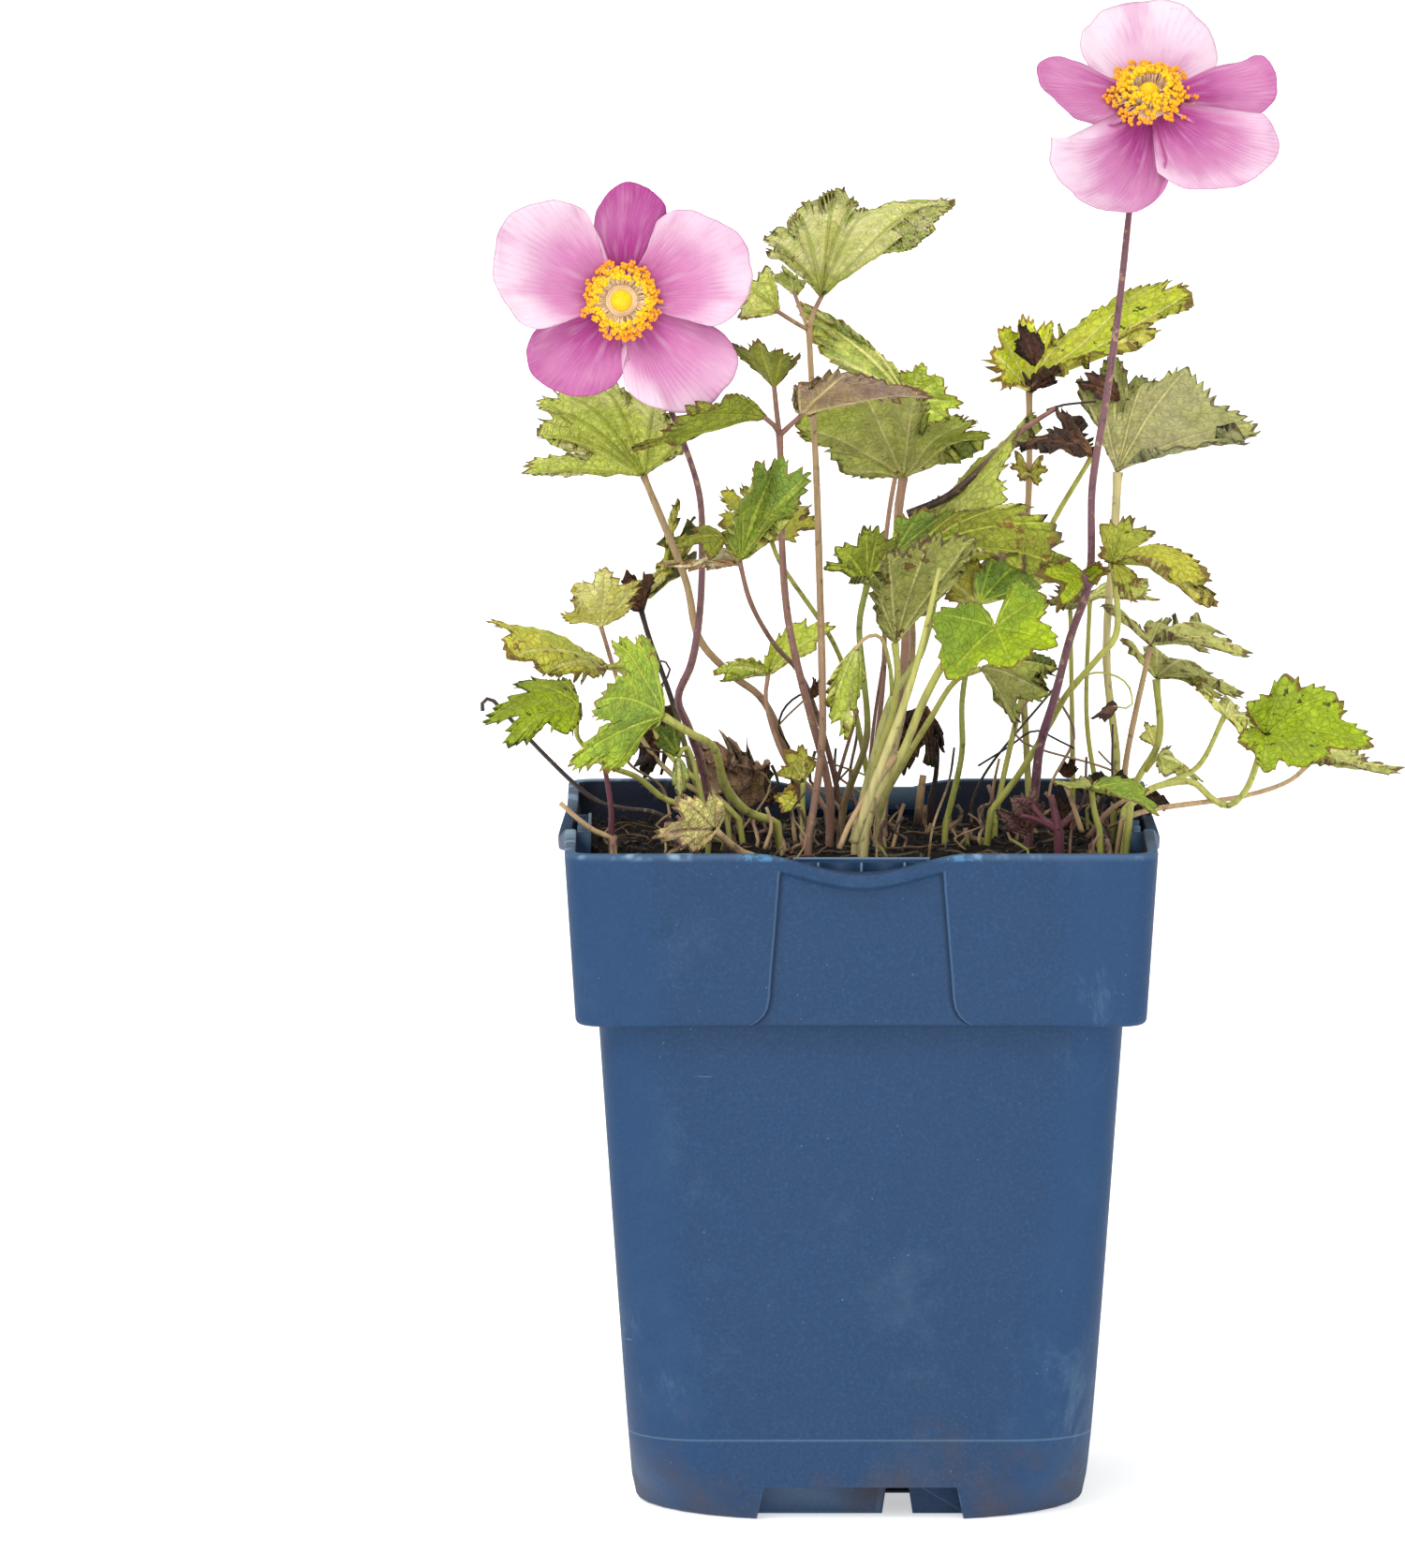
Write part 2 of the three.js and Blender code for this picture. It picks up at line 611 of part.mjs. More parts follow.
    blades: [
      { base: [55, 13, 157.5], tips: [
        [46, 9.5, 165.5], [58.5, 31.5, 162], [68.5, 29.5, 159.5], [74.5, 16.5, 155.5],
        [63, -1.5, 159.5],
      ], notch: [0.55, 0.8, 0.8, 0.8], steps: 2, arch: 0.08 },
    ],
  },
  {
    name: 'leaf_right_lower',
    look: 'pale',
    stalks: [
      { width: [1.5, 1.6], path: [
        [56.5, 27, 149.5], [57, 26.5, 143.5], [57, 25, 137.5], [53.5, 22.5, 131.5], [51, 20, 127.5],
      ] },
      { width: [0.9, 0.8], path: [[54.5, 22.5, 132.5], [55.5, 21.5, 134.5], [57, 20, 136]] },
    ],
    blades: [
      { base: [56.5, 27, 149.5], tips: [
        [49, 27, 156.5], [56, 43.5, 153.5], [65.5, 43.5, 150], [73.5, 32.5, 146.5], [69, 19.5, 147.5],
      ], notch: [0.55, 0.85, 0.85, 0.8], steps: 2, arch: 0.09 },
      { base: [57, 20, 136], tips: [
        [60.5, 29.5, 135], [66, 25.5, 130.5], [58, 22, 131.5],
      ], notch: 0.97, steps: 2, arch: 0.05 },
      { base: [56.5, 25, 137], tips: [
        [53.5, 29.5, 138], [54.5, 30.5, 141], [56.5, 28.5, 140.5],
      ], notch: 0.9, steps: 1, arch: 0.05 },
    ],
  },
  {
    name: 'leaf_far_right_small',
    look: 'pale',
    stalks: [
      { width: [1.1, 1.3], path: [
        [69, 14, 144], [66.5, 12.5, 138.5], [64, 10.5, 135], [59.5, 7, 133.5], [56, 3.5, 132.5],
        [52, 1.5, 130.5], [49.5, -8, 129],
      ] },
    ],
    blades: [
      { base: [69, 14, 144], tips: [
        [64, 11.5, 150], [70.5, 32, 144], [76.5, 24.5, 140.5], [73.5, 11.5, 141],
      ], notch: 0.6, steps: 2, arch: 0.05 },
    ],
  },
  {
    name: 'leaf_spotted_right',
    look: 'lime',
    stalks: [
      { width: [1.4, 1.5], path: [
        [75.5, -26, 145.5], [74, -22, 139], [72, -18, 133.5], [69, -16, 131], [66, -14, 132],
        [62.5, -13, 135], [59, -13, 135], [54, -16, 134], [50.5, -20, 131.5],
      ] },
    ],
    blades: [
      { base: [75.5, -26, 145.5], tips: [
        [71.5, -27, 152], [79, -24.5, 157], [88.5, -24.5, 153.5], [95.5, -32, 144.5], [83, -40, 141],
        [75, -40, 141], [70, -35, 145.5],
      ], notch: [0.84, 0.84, 0.8, 0.82, 0.8, 0.9], steps: 2, arch: 0.07, tooth: 0.12 },
    ],
  },
  {
    name: 'leaf_far_right_tip',
    look: 'pale',
    stalks: [
      { width: [1, 1.2], path: [
        [84.5, 2, 136.5], [81.5, 0, 134], [72.5, -9, 132], [65.5, -12, 131], [58.5, -14, 130.5],
        [53.5, -16, 130.5], [49, -18, 128.5],
      ] },
    ],
    blades: [
      { base: [84.5, 2, 136.5], tips: [
        [86, 17, 138], [93, 12.5, 138.5], [102.5, -1, 135.5], [93, -8.5, 137.5],
      ], notch: [0.95, 0.9, 0.9], steps: 2, arch: 0.05 },
    ],
  },
  {
    name: 'leaf_rim_right',
    look: 'midGreen',
    stalks: [
      { width: [1.1, 1.4], path: [[43, -32, 136], [43.5, -31, 132], [44.5, -30, 128.5]] },
    ],
    blades: [
      { base: [43, -32, 136], tips: [
        [40.5, -39, 137], [35, -39, 137.5], [41, -26.5, 138],
      ], notch: 0.95, steps: 2, arch: 0.05 },
      { base: [43, -32, 136], tips: [
        [47, -26.5, 137.5], [52.5, -30.5, 136.5], [55.5, -39, 132.5], [48, -42, 135.5],
      ], notch: 0.97, steps: 2, arch: 0.07 },
    ],
  },
  {
    name: 'dried_leaf_right',
    look: 'dried',
    stalks: [
      { width: [1.2, 1.5], path: [[46.5, 7, 130.5], [45.5, 7.5, 128.5], [45, 8, 126.5]] },
    ],
    blades: [
      { base: [46.5, 7, 130.5], tips: [
        [41, 8, 130.5], [43.5, 11, 133.5], [52.5, 10.5, 133], [59.5, 8, 128], [55.5, 4.5, 127.5],
        [50, 4, 128],
      ], notch: 0.85, steps: 2, arch: 0.05, crumple: 1.4 },
    ],
  },
  {
    name: 'dried_leaf_centre',
    look: 'dried',
    stalks: [
      { width: [1, 1.2], path: [[13, 36, 143], [15, 37, 137], [15, 38, 129.5], [14, 38, 125]] },
    ],
    blades: [
      { base: [13, 36, 143], tips: [
        [16.5, 31.5, 135.5], [14.5, 30.5, 131.5], [9.5, 29.5, 132], [6.5, 29.5, 136], [10, 30.5, 141],
      ], notch: [0.75, 0.7, 0.75, 0.85], steps: 2, arch: 0.08, crumple: 1.2 },
    ],
  },
  {
    name: 'leaf_back_small',
    look: 'midGreen',
    stalks: [
      { width: [0.9, 1.2], path: [
        [40.5, 40, 161], [40, 39.5, 152.5], [40.5, 40, 140], [41, 39.5, 133], [41, 38, 127],
      ] },
    ],
    blades: [
      { base: [40.5, 40, 161], tips: [
        [35.5, 37.5, 163.5], [38.5, 47.5, 166], [43.5, 53, 166], [46.5, 47.5, 163.5],
      ], notch: 0.85, steps: 2, arch: 0.06 },
    ],
  },
  {
    name: 'leaf_back_right',
    look: 'pale',
    stalks: [
      { width: [0.9, 1.2], path: [
        [44, 32, 164], [43.5, 33, 155], [43.5, 34, 142.5], [44.5, 33, 133], [46, 32, 126.5],
      ] },
    ],
    blades: [
      { base: [44, 32, 164], tips: [
        [49, 39, 167], [55.5, 41.5, 166.5], [57.5, 34.5, 164.5], [52, 27, 164.5],
      ], notch: 0.8, steps: 2, arch: 0.07 },
    ],
  },
  {
    name: 'twig_left_rim',
    look: 'darkStem',
    stalks: [
      { width: [0.9, 1.4], path: [
        [-56, -20, 132], [-53.5, -20, 130], [-50, -20, 127], [-46.5, -20, 125.5],
      ] },
    ],
    blades: [],
  },
  {
    name: 'young_shoots',
    look: 'redStem',
    stalks: [
      { width: [1.2, 2.2], path: [
        [35.5, -28, 134.5], [36, -28, 132], [36.5, -28, 129.5], [37, -28, 127],
      ] },
      { width: [1.1, 1.7], path: [[32, -26, 132.5], [34, -27, 130.5], [36.5, -28, 128.5]] },
      { width: [1, 1.7], path: [[40.5, -24, 132], [39, -26, 130.5], [37, -28, 128.5]] },
      { width: [0.9, 1.5], path: [[30, -30, 131], [33, -29, 129.5], [36.5, -28, 128]] },
    ],
    blades: [],
  },
];

const flowers = [
  {
    name: 'left',
    centre: [-44.5, -12.5, 225.5],
    axis: [0, -1, 0.12],
    sepals: [
      [
        [-37.5, -15, 230.5], [-34.5, -17, 239.5], [-27.5, -18.5, 242.5], [-20, -20, 234],
        [-24.5, -19, 221], [-34, -16, 224],
      ],
      [
        [-51, -16, 221.5], [-60, -19, 221], [-68.5, -20, 233], [-64, -19.5, 243.5], [-53.5, -18, 244],
        [-48.5, -16.5, 237.5],
      ],
      [[-49, -14, 233], [-49.5, -14, 241], [-44, -14.5, 249], [-36, -14, 240.5], [-37.5, -14, 233]],
      [[-54, -14, 221.5], [-62, -15, 218], [-62, -16, 213.5], [-51.5, -16, 208.5], [-44.5, -15, 213]],
      [[-45, -15.5, 213], [-38, -18, 207], [-29.5, -18.5, 207], [-23, -18.5, 213], [-26, -17, 222]],
    ],
    stalk: { width: [1.7, 2.1], path: [
      [-44.5, -10, 224.5], [-41, -3, 216], [-37, 0, 207.5], [-33.5, 0, 199], [-30, -2, 188],
      [-29.5, -3, 176.5], [-30, -3, 165], [-31.5, -2, 156], [-34, -1, 149.5], [-32, 2, 143.5],
      [-29.5, 8, 135.5], [-28, 13, 127],
    ] },
    leaflets: [],
  },
  {
    name: 'right',
    centre: [54, 0, 262.5],
    axis: [0.05, -0.64, 0.77],
    sepals: [
      [[47, 4, 267], [41, 9, 272.5], [47, 13, 279.5], [56.5, 14, 279.5], [66.5, 11, 275], [66, 5, 266]],
      [[48.5, -7, 257.5], [37.5, -5, 261], [32.5, -4, 268.5], [38.5, -2, 270.5], [47.5, 2, 265.5]],
      [[62, 2, 265], [73.5, -2, 271], [78.5, -5, 265.5], [72.5, -6, 260], [62, -5, 258]],
      [
        [48, -10, 256.5], [36.5, -14, 256.5], [38, -15, 249], [47, -14, 243.5], [55, -12, 245.5],
        [55.5, -9, 253.5],
      ],
      [
        [57, -11, 251], [60.5, -14, 247.5], [72.5, -16, 249], [78, -15, 253.5], [73.5, -12, 260.5],
        [60.5, -8, 257.5],
      ],
    ],
    stalk: { width: [1.6, 2.2], path: [
      [53.5, 2, 260.5], [52, 3, 253], [50.5, 0, 241.5], [48.5, -5, 224], [46, -9, 206.5],
      [43.5, -9, 190.5], [43, -7, 172.5], [39.5, -4, 161], [36.5, -2, 149], [34, 0, 140],
      [33, 2, 130.5], [32, 3, 124.5],
    ] },
    leaflets: [
      { base: [42.5, -7, 172.5], tips: [
        [40, -13, 169], [37, -16, 167.5], [33.5, -15, 174.5], [38, -11, 176.5],
      ], notch: [0.7, 0.75, 0.85], steps: 2, arch: 0.05 },
      { base: [42.5, -7, 172.5], tips: [
        [42.5, -11, 175.5], [46, -14, 175], [44, -14, 172.5],
      ], notch: 0.9, steps: 1, arch: 0.05 },
    ],
  },
];

const worldUp = new THREE.Vector3(0, 0, 1);

function vector([x, y, z]) {
  return new THREE.Vector3(x, y, z);
}

function makeRandom(seed) {
  let state = seed;
  return () => {
    state = (state * 1664525 + 1013904223) % 4294967296;
    return state / 4294967296;
  };
}

// Solids and meshes

function solidOf(points, triangles) {
  let volume = 0;
  for (const [a, b, c] of triangles) {
    volume += points[a].dot(points[b].clone().cross(points[c]));
  }
  const outward = volume > 0 ? triangles : triangles.map(([a, b, c]) => [a, c, b]);
  const vertProperties = new Float32Array(points.flatMap((p) => [p.x, p.y, p.z]));
  const triVerts = new Uint32Array(outward.flat());
  return new wasm.Manifold(new wasm.Mesh({ numProp: 3, vertProperties, triVerts }));
}

function solidFromGeometry(geometry) {
  geometry.deleteAttribute('normal');
  geometry.deleteAttribute('uv');
  const merged = mergeVertices(geometry, 1e-4);
  const vertProperties = new Float32Array(merged.attributes.position.array);
  const triVerts = new Uint32Array(merged.index.array);
  return new wasm.Manifold(new wasm.Mesh({ numProp: 3, vertProperties, triVerts }));
}

function join(solids) {
  return solids.reduce((whole, solid) => whole.add(solid));
}

function meshOf(name, solid, look) {
  const { vertProperties, triVerts } = solid.getMesh();
  const geometry = new THREE.BufferGeometry();
  geometry.setAttribute('position', new THREE.BufferAttribute(new Float32Array(vertProperties), 3));
  geometry.setIndex(new THREE.BufferAttribute(new Uint32Array(triVerts), 1));
  geometry.computeVertexNormals();
  const mesh = new THREE.Mesh(geometry, new THREE.MeshStandardMaterial({ metalness: 0, ...look }));
  mesh.name = name;
  return mesh;
}

// Rings of equal length, one above the other, closed by a fan at each end
function loft(rings) {
  const count = rings[0].length;
  const points = rings.flat();
  const triangles = [];
  for (let level = 0; level < rings.length - 1; level += 1) {
    for (let i = 0; i < count; i += 1) {
      const a = level * count + i;
      const b = level * count + ((i + 1) % count);
      triangles.push([a, b, b + count], [a, b + count, a + count]);
    }
  }
  const closeEnd = (ring, first, flip) => {
    const centre = ring.reduce((sum, p) => sum.add(p), new THREE.Vector3()).divideScalar(count);
    const hub = points.push(centre) - 1;
    for (let i = 0; i < count; i += 1) {
      const next = (i + 1) % count;
      triangles.push(flip ? [hub, first + next, first + i] : [hub, first + i, first + next]);
    }
  };
  closeEnd(rings[0], 0, true);
  closeEnd(rings.at(-1), (rings.length - 1) * count, false);
  return solidOf(points, triangles);
}

// The pot

function roundedSquare(half, radius, z) {
  const arcSteps = 3;
  const ring = [];
  for (let corner = 0; corner < 4; corner += 1) {
    for (let step = 0; step <= arcSteps; step += 1) {
      const angle = (corner + step / arcSteps) * Math.PI / 2;
      const middle = (corner + 0.5) * Math.PI / 2;
      const reach = (half - radius) * Math.SQRT2;
      ring.push(new THREE.Vector3(
        reach * Math.cos(middle) + radius * Math.cos(angle),
        reach * Math.sin(middle) + radius * Math.sin(angle),
        z,
      ));
    }
  }
  return ring;
}

// Corner radius of the body, which turns almost round at the foot
const cornerRadii = [[0, 31], [2.5, 27.5], [8, 20], [15, 14], [25, 10], [40, 7], [60, 5.5]];

function bodyHalfAt(z) {
  return footHalf + (bodyTopHalf - footHalf) * z / (potHeight - collarHeight);
}

function bodyRings(inset, bottom, top) {
  const levels = cornerRadii.filter(([z]) => z > bottom + 1).map(([z]) => z);
  return [bottom, ...levels, top].map((z) => {
    const next = cornerRadii.findIndex(([level]) => level > z);
    const after = next < 0 ? cornerRadii.at(-1) : cornerRadii[next];
    const before = next < 0 ? after : cornerRadii[Math.max(next - 1, 0)];
    const share = after[0] > before[0] ? (z - before[0]) / (after[0] - before[0]) : 0;
    const radius = THREE.MathUtils.lerp(before[1], after[1], share);
    return roundedSquare(bodyHalfAt(z) - inset, Math.max(radius - inset, 1), z);
  });
}

// Half the collar's ring on one side, as distances from the side's middle
const collarArcSteps = 3;
const collarStations = [0, 11, lipHalfWidth];

function lipShare(across) {
  const near = Math.min(Math.abs(across) / lipHalfWidth, 1);
  return Math.cos(near * Math.PI / 2) ** 2;
}

function collarRing(half, radius, z, { drop = 0, flare = 0, panelEdge = 0 } = {}) {
  const ring = [];
  const across = [...collarStations.slice(1).reverse().map((s) => -s), ...collarStations];
  for (let side = 0; side < 4; side += 1) {
    const place = (x, out, height) => {
      const point = new THREE.Vector3(out, x, height);
      ring.push(point.applyAxisAngle(worldUp, side * Math.PI / 2));
    };
    const edge = [panelEdge - 0.4, panelEdge + 0.4, lipHalfWidth];
    const stations = panelEdge > 0 ? [...edge.map((s) => -s).reverse(), -8, 0, 8, ...edge] : across;
    for (const x of stations) {
      const proud = panelEdge > 0 && Math.abs(x) < panelEdge ? -panelProud : 0;
      place(x, half + proud + flare * lipShare(x), z - drop * lipShare(x));
    }
    for (let step = 0; step <= collarArcSteps; step += 1) {
      const angle = step / collarArcSteps * Math.PI / 2;
      place(half - radius + radius * Math.sin(angle), half - radius + radius * Math.cos(angle), z);
    }
  }
  return ring;
}

function collarHalfAt(z) {
  const bottom = potHeight - collarHeight;
  return collarBottomHalf + (rimHalf - collarBottomHalf) * (z - bottom) / collarHeight;
}

function collar() {
  const bottom = potHeight - collarHeight;
  const outside = [
    collarRing(collarHalfAt(bottom) - 0.5, 4, bottom, { panelEdge: 19.6 }),
    collarRing(collarHalfAt(bottom + 1), 4.2, bottom + 1, { panelEdge: 18.6 }),
    collarRing(collarHalfAt(bottom + 5), 4.4, bottom + 5, { panelEdge: 17.2 }),
    collarRing(collarHalfAt(118), 4.8, 118, { panelEdge: 15.4 }),
    collarRing(rimHalf - 0.1, 5, 124.6, { panelEdge: 15, drop: lipDrop, flare: lipFlare }),
    collarRing(rimHalf, 5, potHeight, { panelEdge: 15, drop: lipDrop, flare: lipFlare }),
  ];
  const mouth = [
    collarRing(bodyTopHalf - 1, 4, bottom - 1),
    collarRing(bodyTopHalf - 1, 4, bottom + 1.4),
    collarRing(collarHalfAt(bottom + 1.5) - collarWall - panelProud, 4, bottom + 1.5),
    collarRing(collarHalfAt(118) - collarWall - panelProud, 4, 118),
    collarRing(rimHalf - collarWall - panelProud, 4, potHeight - 2, { drop: 1, flare: lipFlare * 0.7 }),
    collarRing(rimHalf - collarWall - panelProud, 4, potHeight + 1, { drop: 1, flare: lipFlare }),
  ];
  return loft(outside).subtract(loft(mouth));
}

// A prism whose outline lies in the XZ plane and which runs from near to far along Y
function prismAlongY(outline, near, far) {
  const shape = new THREE.Shape(outline.map(([x, z]) => new THREE.Vector2(x, z)));
  const geometry = new THREE.ExtrudeGeometry(shape, { depth: far - near, bevelEnabled: false });
  geometry.rotateX(Math.PI / 2);
  geometry.translate(0, far, 0);
  return solidFromGeometry(geometry);
}

function footCuts() {
  const notch = prismAlongY([
    [-notchHalfFoot, -1], [notchHalfFoot, -1], [notchHalfTop, notchHeight], [-notchHalfTop, notchHeight],
  ], -rimHalf, -footInset);
  const drain = prismAlongY([
    [drainCentre - drainHalfFoot, -1], [drainCentre + drainHalfFoot, -1],
    [drainCentre + drainHalfTop, notchHeight], [drainCentre - drainHalfTop, notchHeight],
  ], -footInset - 1, -20);
  const hole = prismAlongY([
    [drainCentre - 3, 2], [drainCentre + 3, 2], [drainCentre + 3, 12], [drainCentre - 3, 12],
  ], -26, -19);
  return join([notch, drain, hole]);
}

// Label pocket behind the lip: a low wall that two returns tie to the collar
function pocket() {
  const back = -(rimHalf - collarWall - panelProud) + pocketDepth;
  const front = back - pocketDepth - 0.5;
  const wall = 1;
  const plan = new THREE.Shape([
    [-pocketHalfWidth, front], [-pocketHalfWidth + wall, front], [-pocketHalfWidth + wall, back - wall],
    [pocketHalfWidth - wall, back - wall], [pocketHalfWidth - wall, front], [pocketHalfWidth, front],
    [pocketHalfWidth, back - 0.8], [pocketHalfWidth - 0.8, back],
    [-pocketHalfWidth + 0.8, back], [-pocketHalfWidth, back - 0.8],
  ].map(([x, y]) => new THREE.Vector2(x, y)));
  const geometry = new THREE.ExtrudeGeometry(plan, { depth: 4.6, bevelEnabled: false });
  geometry.translate(0, 0, 121.4);
  return solidFromGeometry(geometry);
}

function potSolid() {
  const body = loft(bodyRings(0, 0, potHeight - collarHeight + 1));
  const cavity = loft(bodyRings(bodyWall, floorThickness, potHeight - collarHeight + 3));
  let pot = body.add(collar()).subtract(cavity);
  for (let side = 0; side < 4; side += 1) {
    pot = pot.subtract(footCuts().rotate([0, 0, side * 90]));
    pot = pot.add(pocket().rotate([0, 0, side * 90]));
  }
  return pot;
}

// The soil fills the pot, with a step on the ledge under the collar and a lumpy top

function soilSolid() {
  const random = makeRandom(7);
  const ledge = potHeight - collarHeight + 1.5;
  const inset = bodyWall + seatGap;
  const below = bodyRings(inset, floorThickness + seatGap, ledge + seatGap);
  const collarInset = collarWall + panelProud + seatGap;
  const above = [
    roundedSquare(collarHalfAt(ledge) - collarInset, 4, ledge + seatGap),
    roundedSquare(collarHalfAt(soilLevel) - collarInset, 4, soilLevel - 1),
  ];
  const top = [0.8, 0.55, 0.3].map((share) => {
    const rise = crownRise * (1 - share);
    return above[1].map((p) => new THREE.Vector3(
      p.x * share,
      p.y * share,
      soilLevel + rise - 0.5 + random() * 1.1,
    ));
  });
  return loft([...below, ...above, ...top]);
}

// A square shaft round the straight end of a stalk
function rootHole(entry, root, width) {
  const along = root.clone().sub(entry).normalize();
  const half = width / 2 + holeGap;
  const level = (centre) => [[1, 1], [-1, 1], [-1, -1], [1, -1]].map(([x, y]) => (
    new THREE.Vector3(centre.x + x * half, centre.y + y * half, centre.z)
  ));
  return loft([level(root.clone().addScaledVector(along, holeGap)), level(entry)]);
}

// Stalks

function rootOf(path) {
  const entry = vector(path.at(-1));
  const lean = entry.clone().sub(vector(path.at(-2))).normalize();
  const depth = soilLevel - rootDepth;
  return new THREE.Vector3(entry.x + lean.x * 3, entry.y + lean.y * 3, depth);
}

function stalk({ width, path }, root) {
  const curve = new THREE.CatmullRomCurve3(path.map(vector), false, 'centripetal');
  const steps = Math.max(2, Math.round(curve.getLength() / stalkStep));
  const centres = curve.getSpacedPoints(steps);
  centres[0].addScaledVector(curve.getTangent(0), -stalkOverlap);
  if (root) centres.push(root);
  else centres.at(-1).addScaledVector(curve.getTangent(1), stalkOverlap);
  return tube(centres, width);
}

// A closed tube through the given points, its width changing evenly from end to end
function tube(centres, width) {
  const last = centres.length - 1;
  let side = new THREE.Vector3(1, 0.2, 0);
  const rings = centres.map((centre, i) => {
    const ahead = centres[Math.min(i + 1, last)].clone().sub(centres[Math.max(i - 1, 0)]).normalize();
    side = side.clone().addScaledVector(ahead, -side.dot(ahead)).normalize();
    const other = ahead.clone().cross(side);
    const radius = THREE.MathUtils.lerp(width[0], width[1], i / last) / 2;
    return Array.from({ length: stalkSides }, (_, k) => {
      const angle = k / stalkSides * Math.PI * 2;
      return centre.clone()
        .addScaledVector(side, radius * Math.cos(angle))
        .addScaledVector(other, radius * Math.sin(angle));
    });
  });
  return loft(rings);
}

// Blades

function ribBetween(ribs, s) {
  const last = ribs.length - 1;
  if (s < 0) return ribs[0].clone().addScaledVector(ribs[1].clone().sub(ribs[0]), s);
  if (s > last) return ribs[last].clone().addScaledVector(ribs[last].clone().sub(ribs[last - 1]), s - last);
  return new THREE.CatmullRomCurve3(ribs, false, 'catmullrom', 0.5).getPoint(s / last);
}

// A blade is a fan of ribs from its base to the tips of its lobes. Between two ribs the edge
// draws in to the notch, it is cut into teeth, and it narrows again past the outer ribs.
function blade(shape, thickness) {
  const { base, tips, notch = 0.85, steps = 2, tooth = 0.11, arch = 0.05, crumple = 0 } = shape;
  const origin = vector(base);
  const ribs = tips.map((tip) => vector(tip).sub(origin));
  const last = ribs.length - 1;
  const stride = 0.5 / steps;
  const extra = steps - 1;
  const edgeCount = 2 * steps * last + 2 * extra + 1;
  const notches = Array.isArray(notch) ? notch : Array(last).fill(notch);
  const notchAt = (s) => notches[Math.min(Math.max(Math.floor(s), 0), last - 1)];
  const sheet = (s, reach, radial) => {
    const rib = ribBetween(ribs, s);
    const t = reach * radial;
    const lift = rib.length() * (arch * 4 * t * (1 - t) + crumple * 0.05 * Math.sin(s * 9 + t * 5));
    return origin.clone().addScaledVector(rib, t).addScaledVector(worldUp, lift);
  };
  const edge = Array.from({ length: edgeCount }, (_, j) => {
    const s = (j - extra) * stride;
    const beyond = Math.max(-s, s - last, 0);
    const between = Math.sin((s - Math.floor(s)) * Math.PI) ** 4;
    const smooth = beyond > 0 ? 1 - beyond * 1.1 : 1 - (1 - notchAt(s)) * between;
    const cut = (j - extra) % 2 !== 0 ? 1 - tooth : 1;
    return { s, smooth, reach: smooth * cut };
  });
  const middle = [origin];
  const inner = edge.filter((_, j) => j % 2 === 0);
  for (const { s, smooth } of inner) middle.push(sheet(s, smooth, 0.55));
  for (const { s, reach } of edge) middle.push(sheet(s, reach, 1));
  const innerAt = (i) => 1 + i;
  const edgeAt = (j) => 1 + inner.length + j;
  const faces = [];
  for (let i = 0; i < inner.length - 1; i += 1) {
    faces.push([0, innerAt(i), innerAt(i + 1)]);
    faces.push([innerAt(i), edgeAt(2 * i), edgeAt(2 * i + 1)]);
    faces.push([innerAt(i), edgeAt(2 * i + 1), innerAt(i + 1)]);
    faces.push([innerAt(i + 1), edgeAt(2 * i + 1), edgeAt(2 * i + 2)]);
  }
  const rim = [0, innerAt(0), ...edge.map((_, j) => edgeAt(j)), innerAt(inner.length - 1)];
  return thicken(middle, faces, rim, thickness);
}

// Gives a sheet of faces an equal thickness on both sides, with a wall round its rim
function thicken(middle, faces, rim, thickness) {
  const normals = middle.map(() => new THREE.Vector3());
  for (const [a, b, c] of faces) {
    const normal = middle[b].clone().sub(middle[a]).cross(middle[c].clone().sub(middle[a])).normalize();
    for (const corner of [a, b, c]) normals[corner].add(normal);
  }
  const shift = (sign) => middle.map((p, i) => (
    p.clone().addScaledVector(normals[i].normalize(), sign * thickness / 2)
  ));
  const count = middle.length;
  const triangles = [];
  for (const [a, b, c] of faces) triangles.push([a, b, c], [count + a, count + c, count + b]);
  rim.forEach((a, i) => {
    const b = rim[(i + 1) % rim.length];
    triangles.push([a, count + a, b], [b, count + a, count + b]);
  });
  return solidOf([...shift(1), ...shift(-1)], triangles);
}

function leafyStem({ stalks, blades }) {
  const rooted = stalks[0];
  const parts = stalks.map((one, i) => stalk(one, i === 0 ? rootOf(rooted.path) : null));
  for (const one of blades) parts.push(blade(one, bladeThickness));
  return join(parts);
}

// Blooms

function sepalSolids(sepals, centre) {
  const smooth = { base: centre, notch: 1.02, steps: 1, tooth: 0, arch: 0 };
  return sepals.map((tips) => blade({ ...smooth, tips }, sepalThickness));
}

// A disc that faces along the axis, set off from the centre
function disc(centre, axis, radius, thickness, offset) {
  const geometry = new THREE.CylinderGeometry(radius, radius, thickness, 10);
  const turn = new THREE.Quaternion().setFromUnitVectors(new THREE.Vector3(0, 1, 0), axis);
  geometry.applyQuaternion(turn);
  geometry.translate(...centre.clone().addScaledVector(axis, offset).toArray());
  return solidFromGeometry(geometry);
}

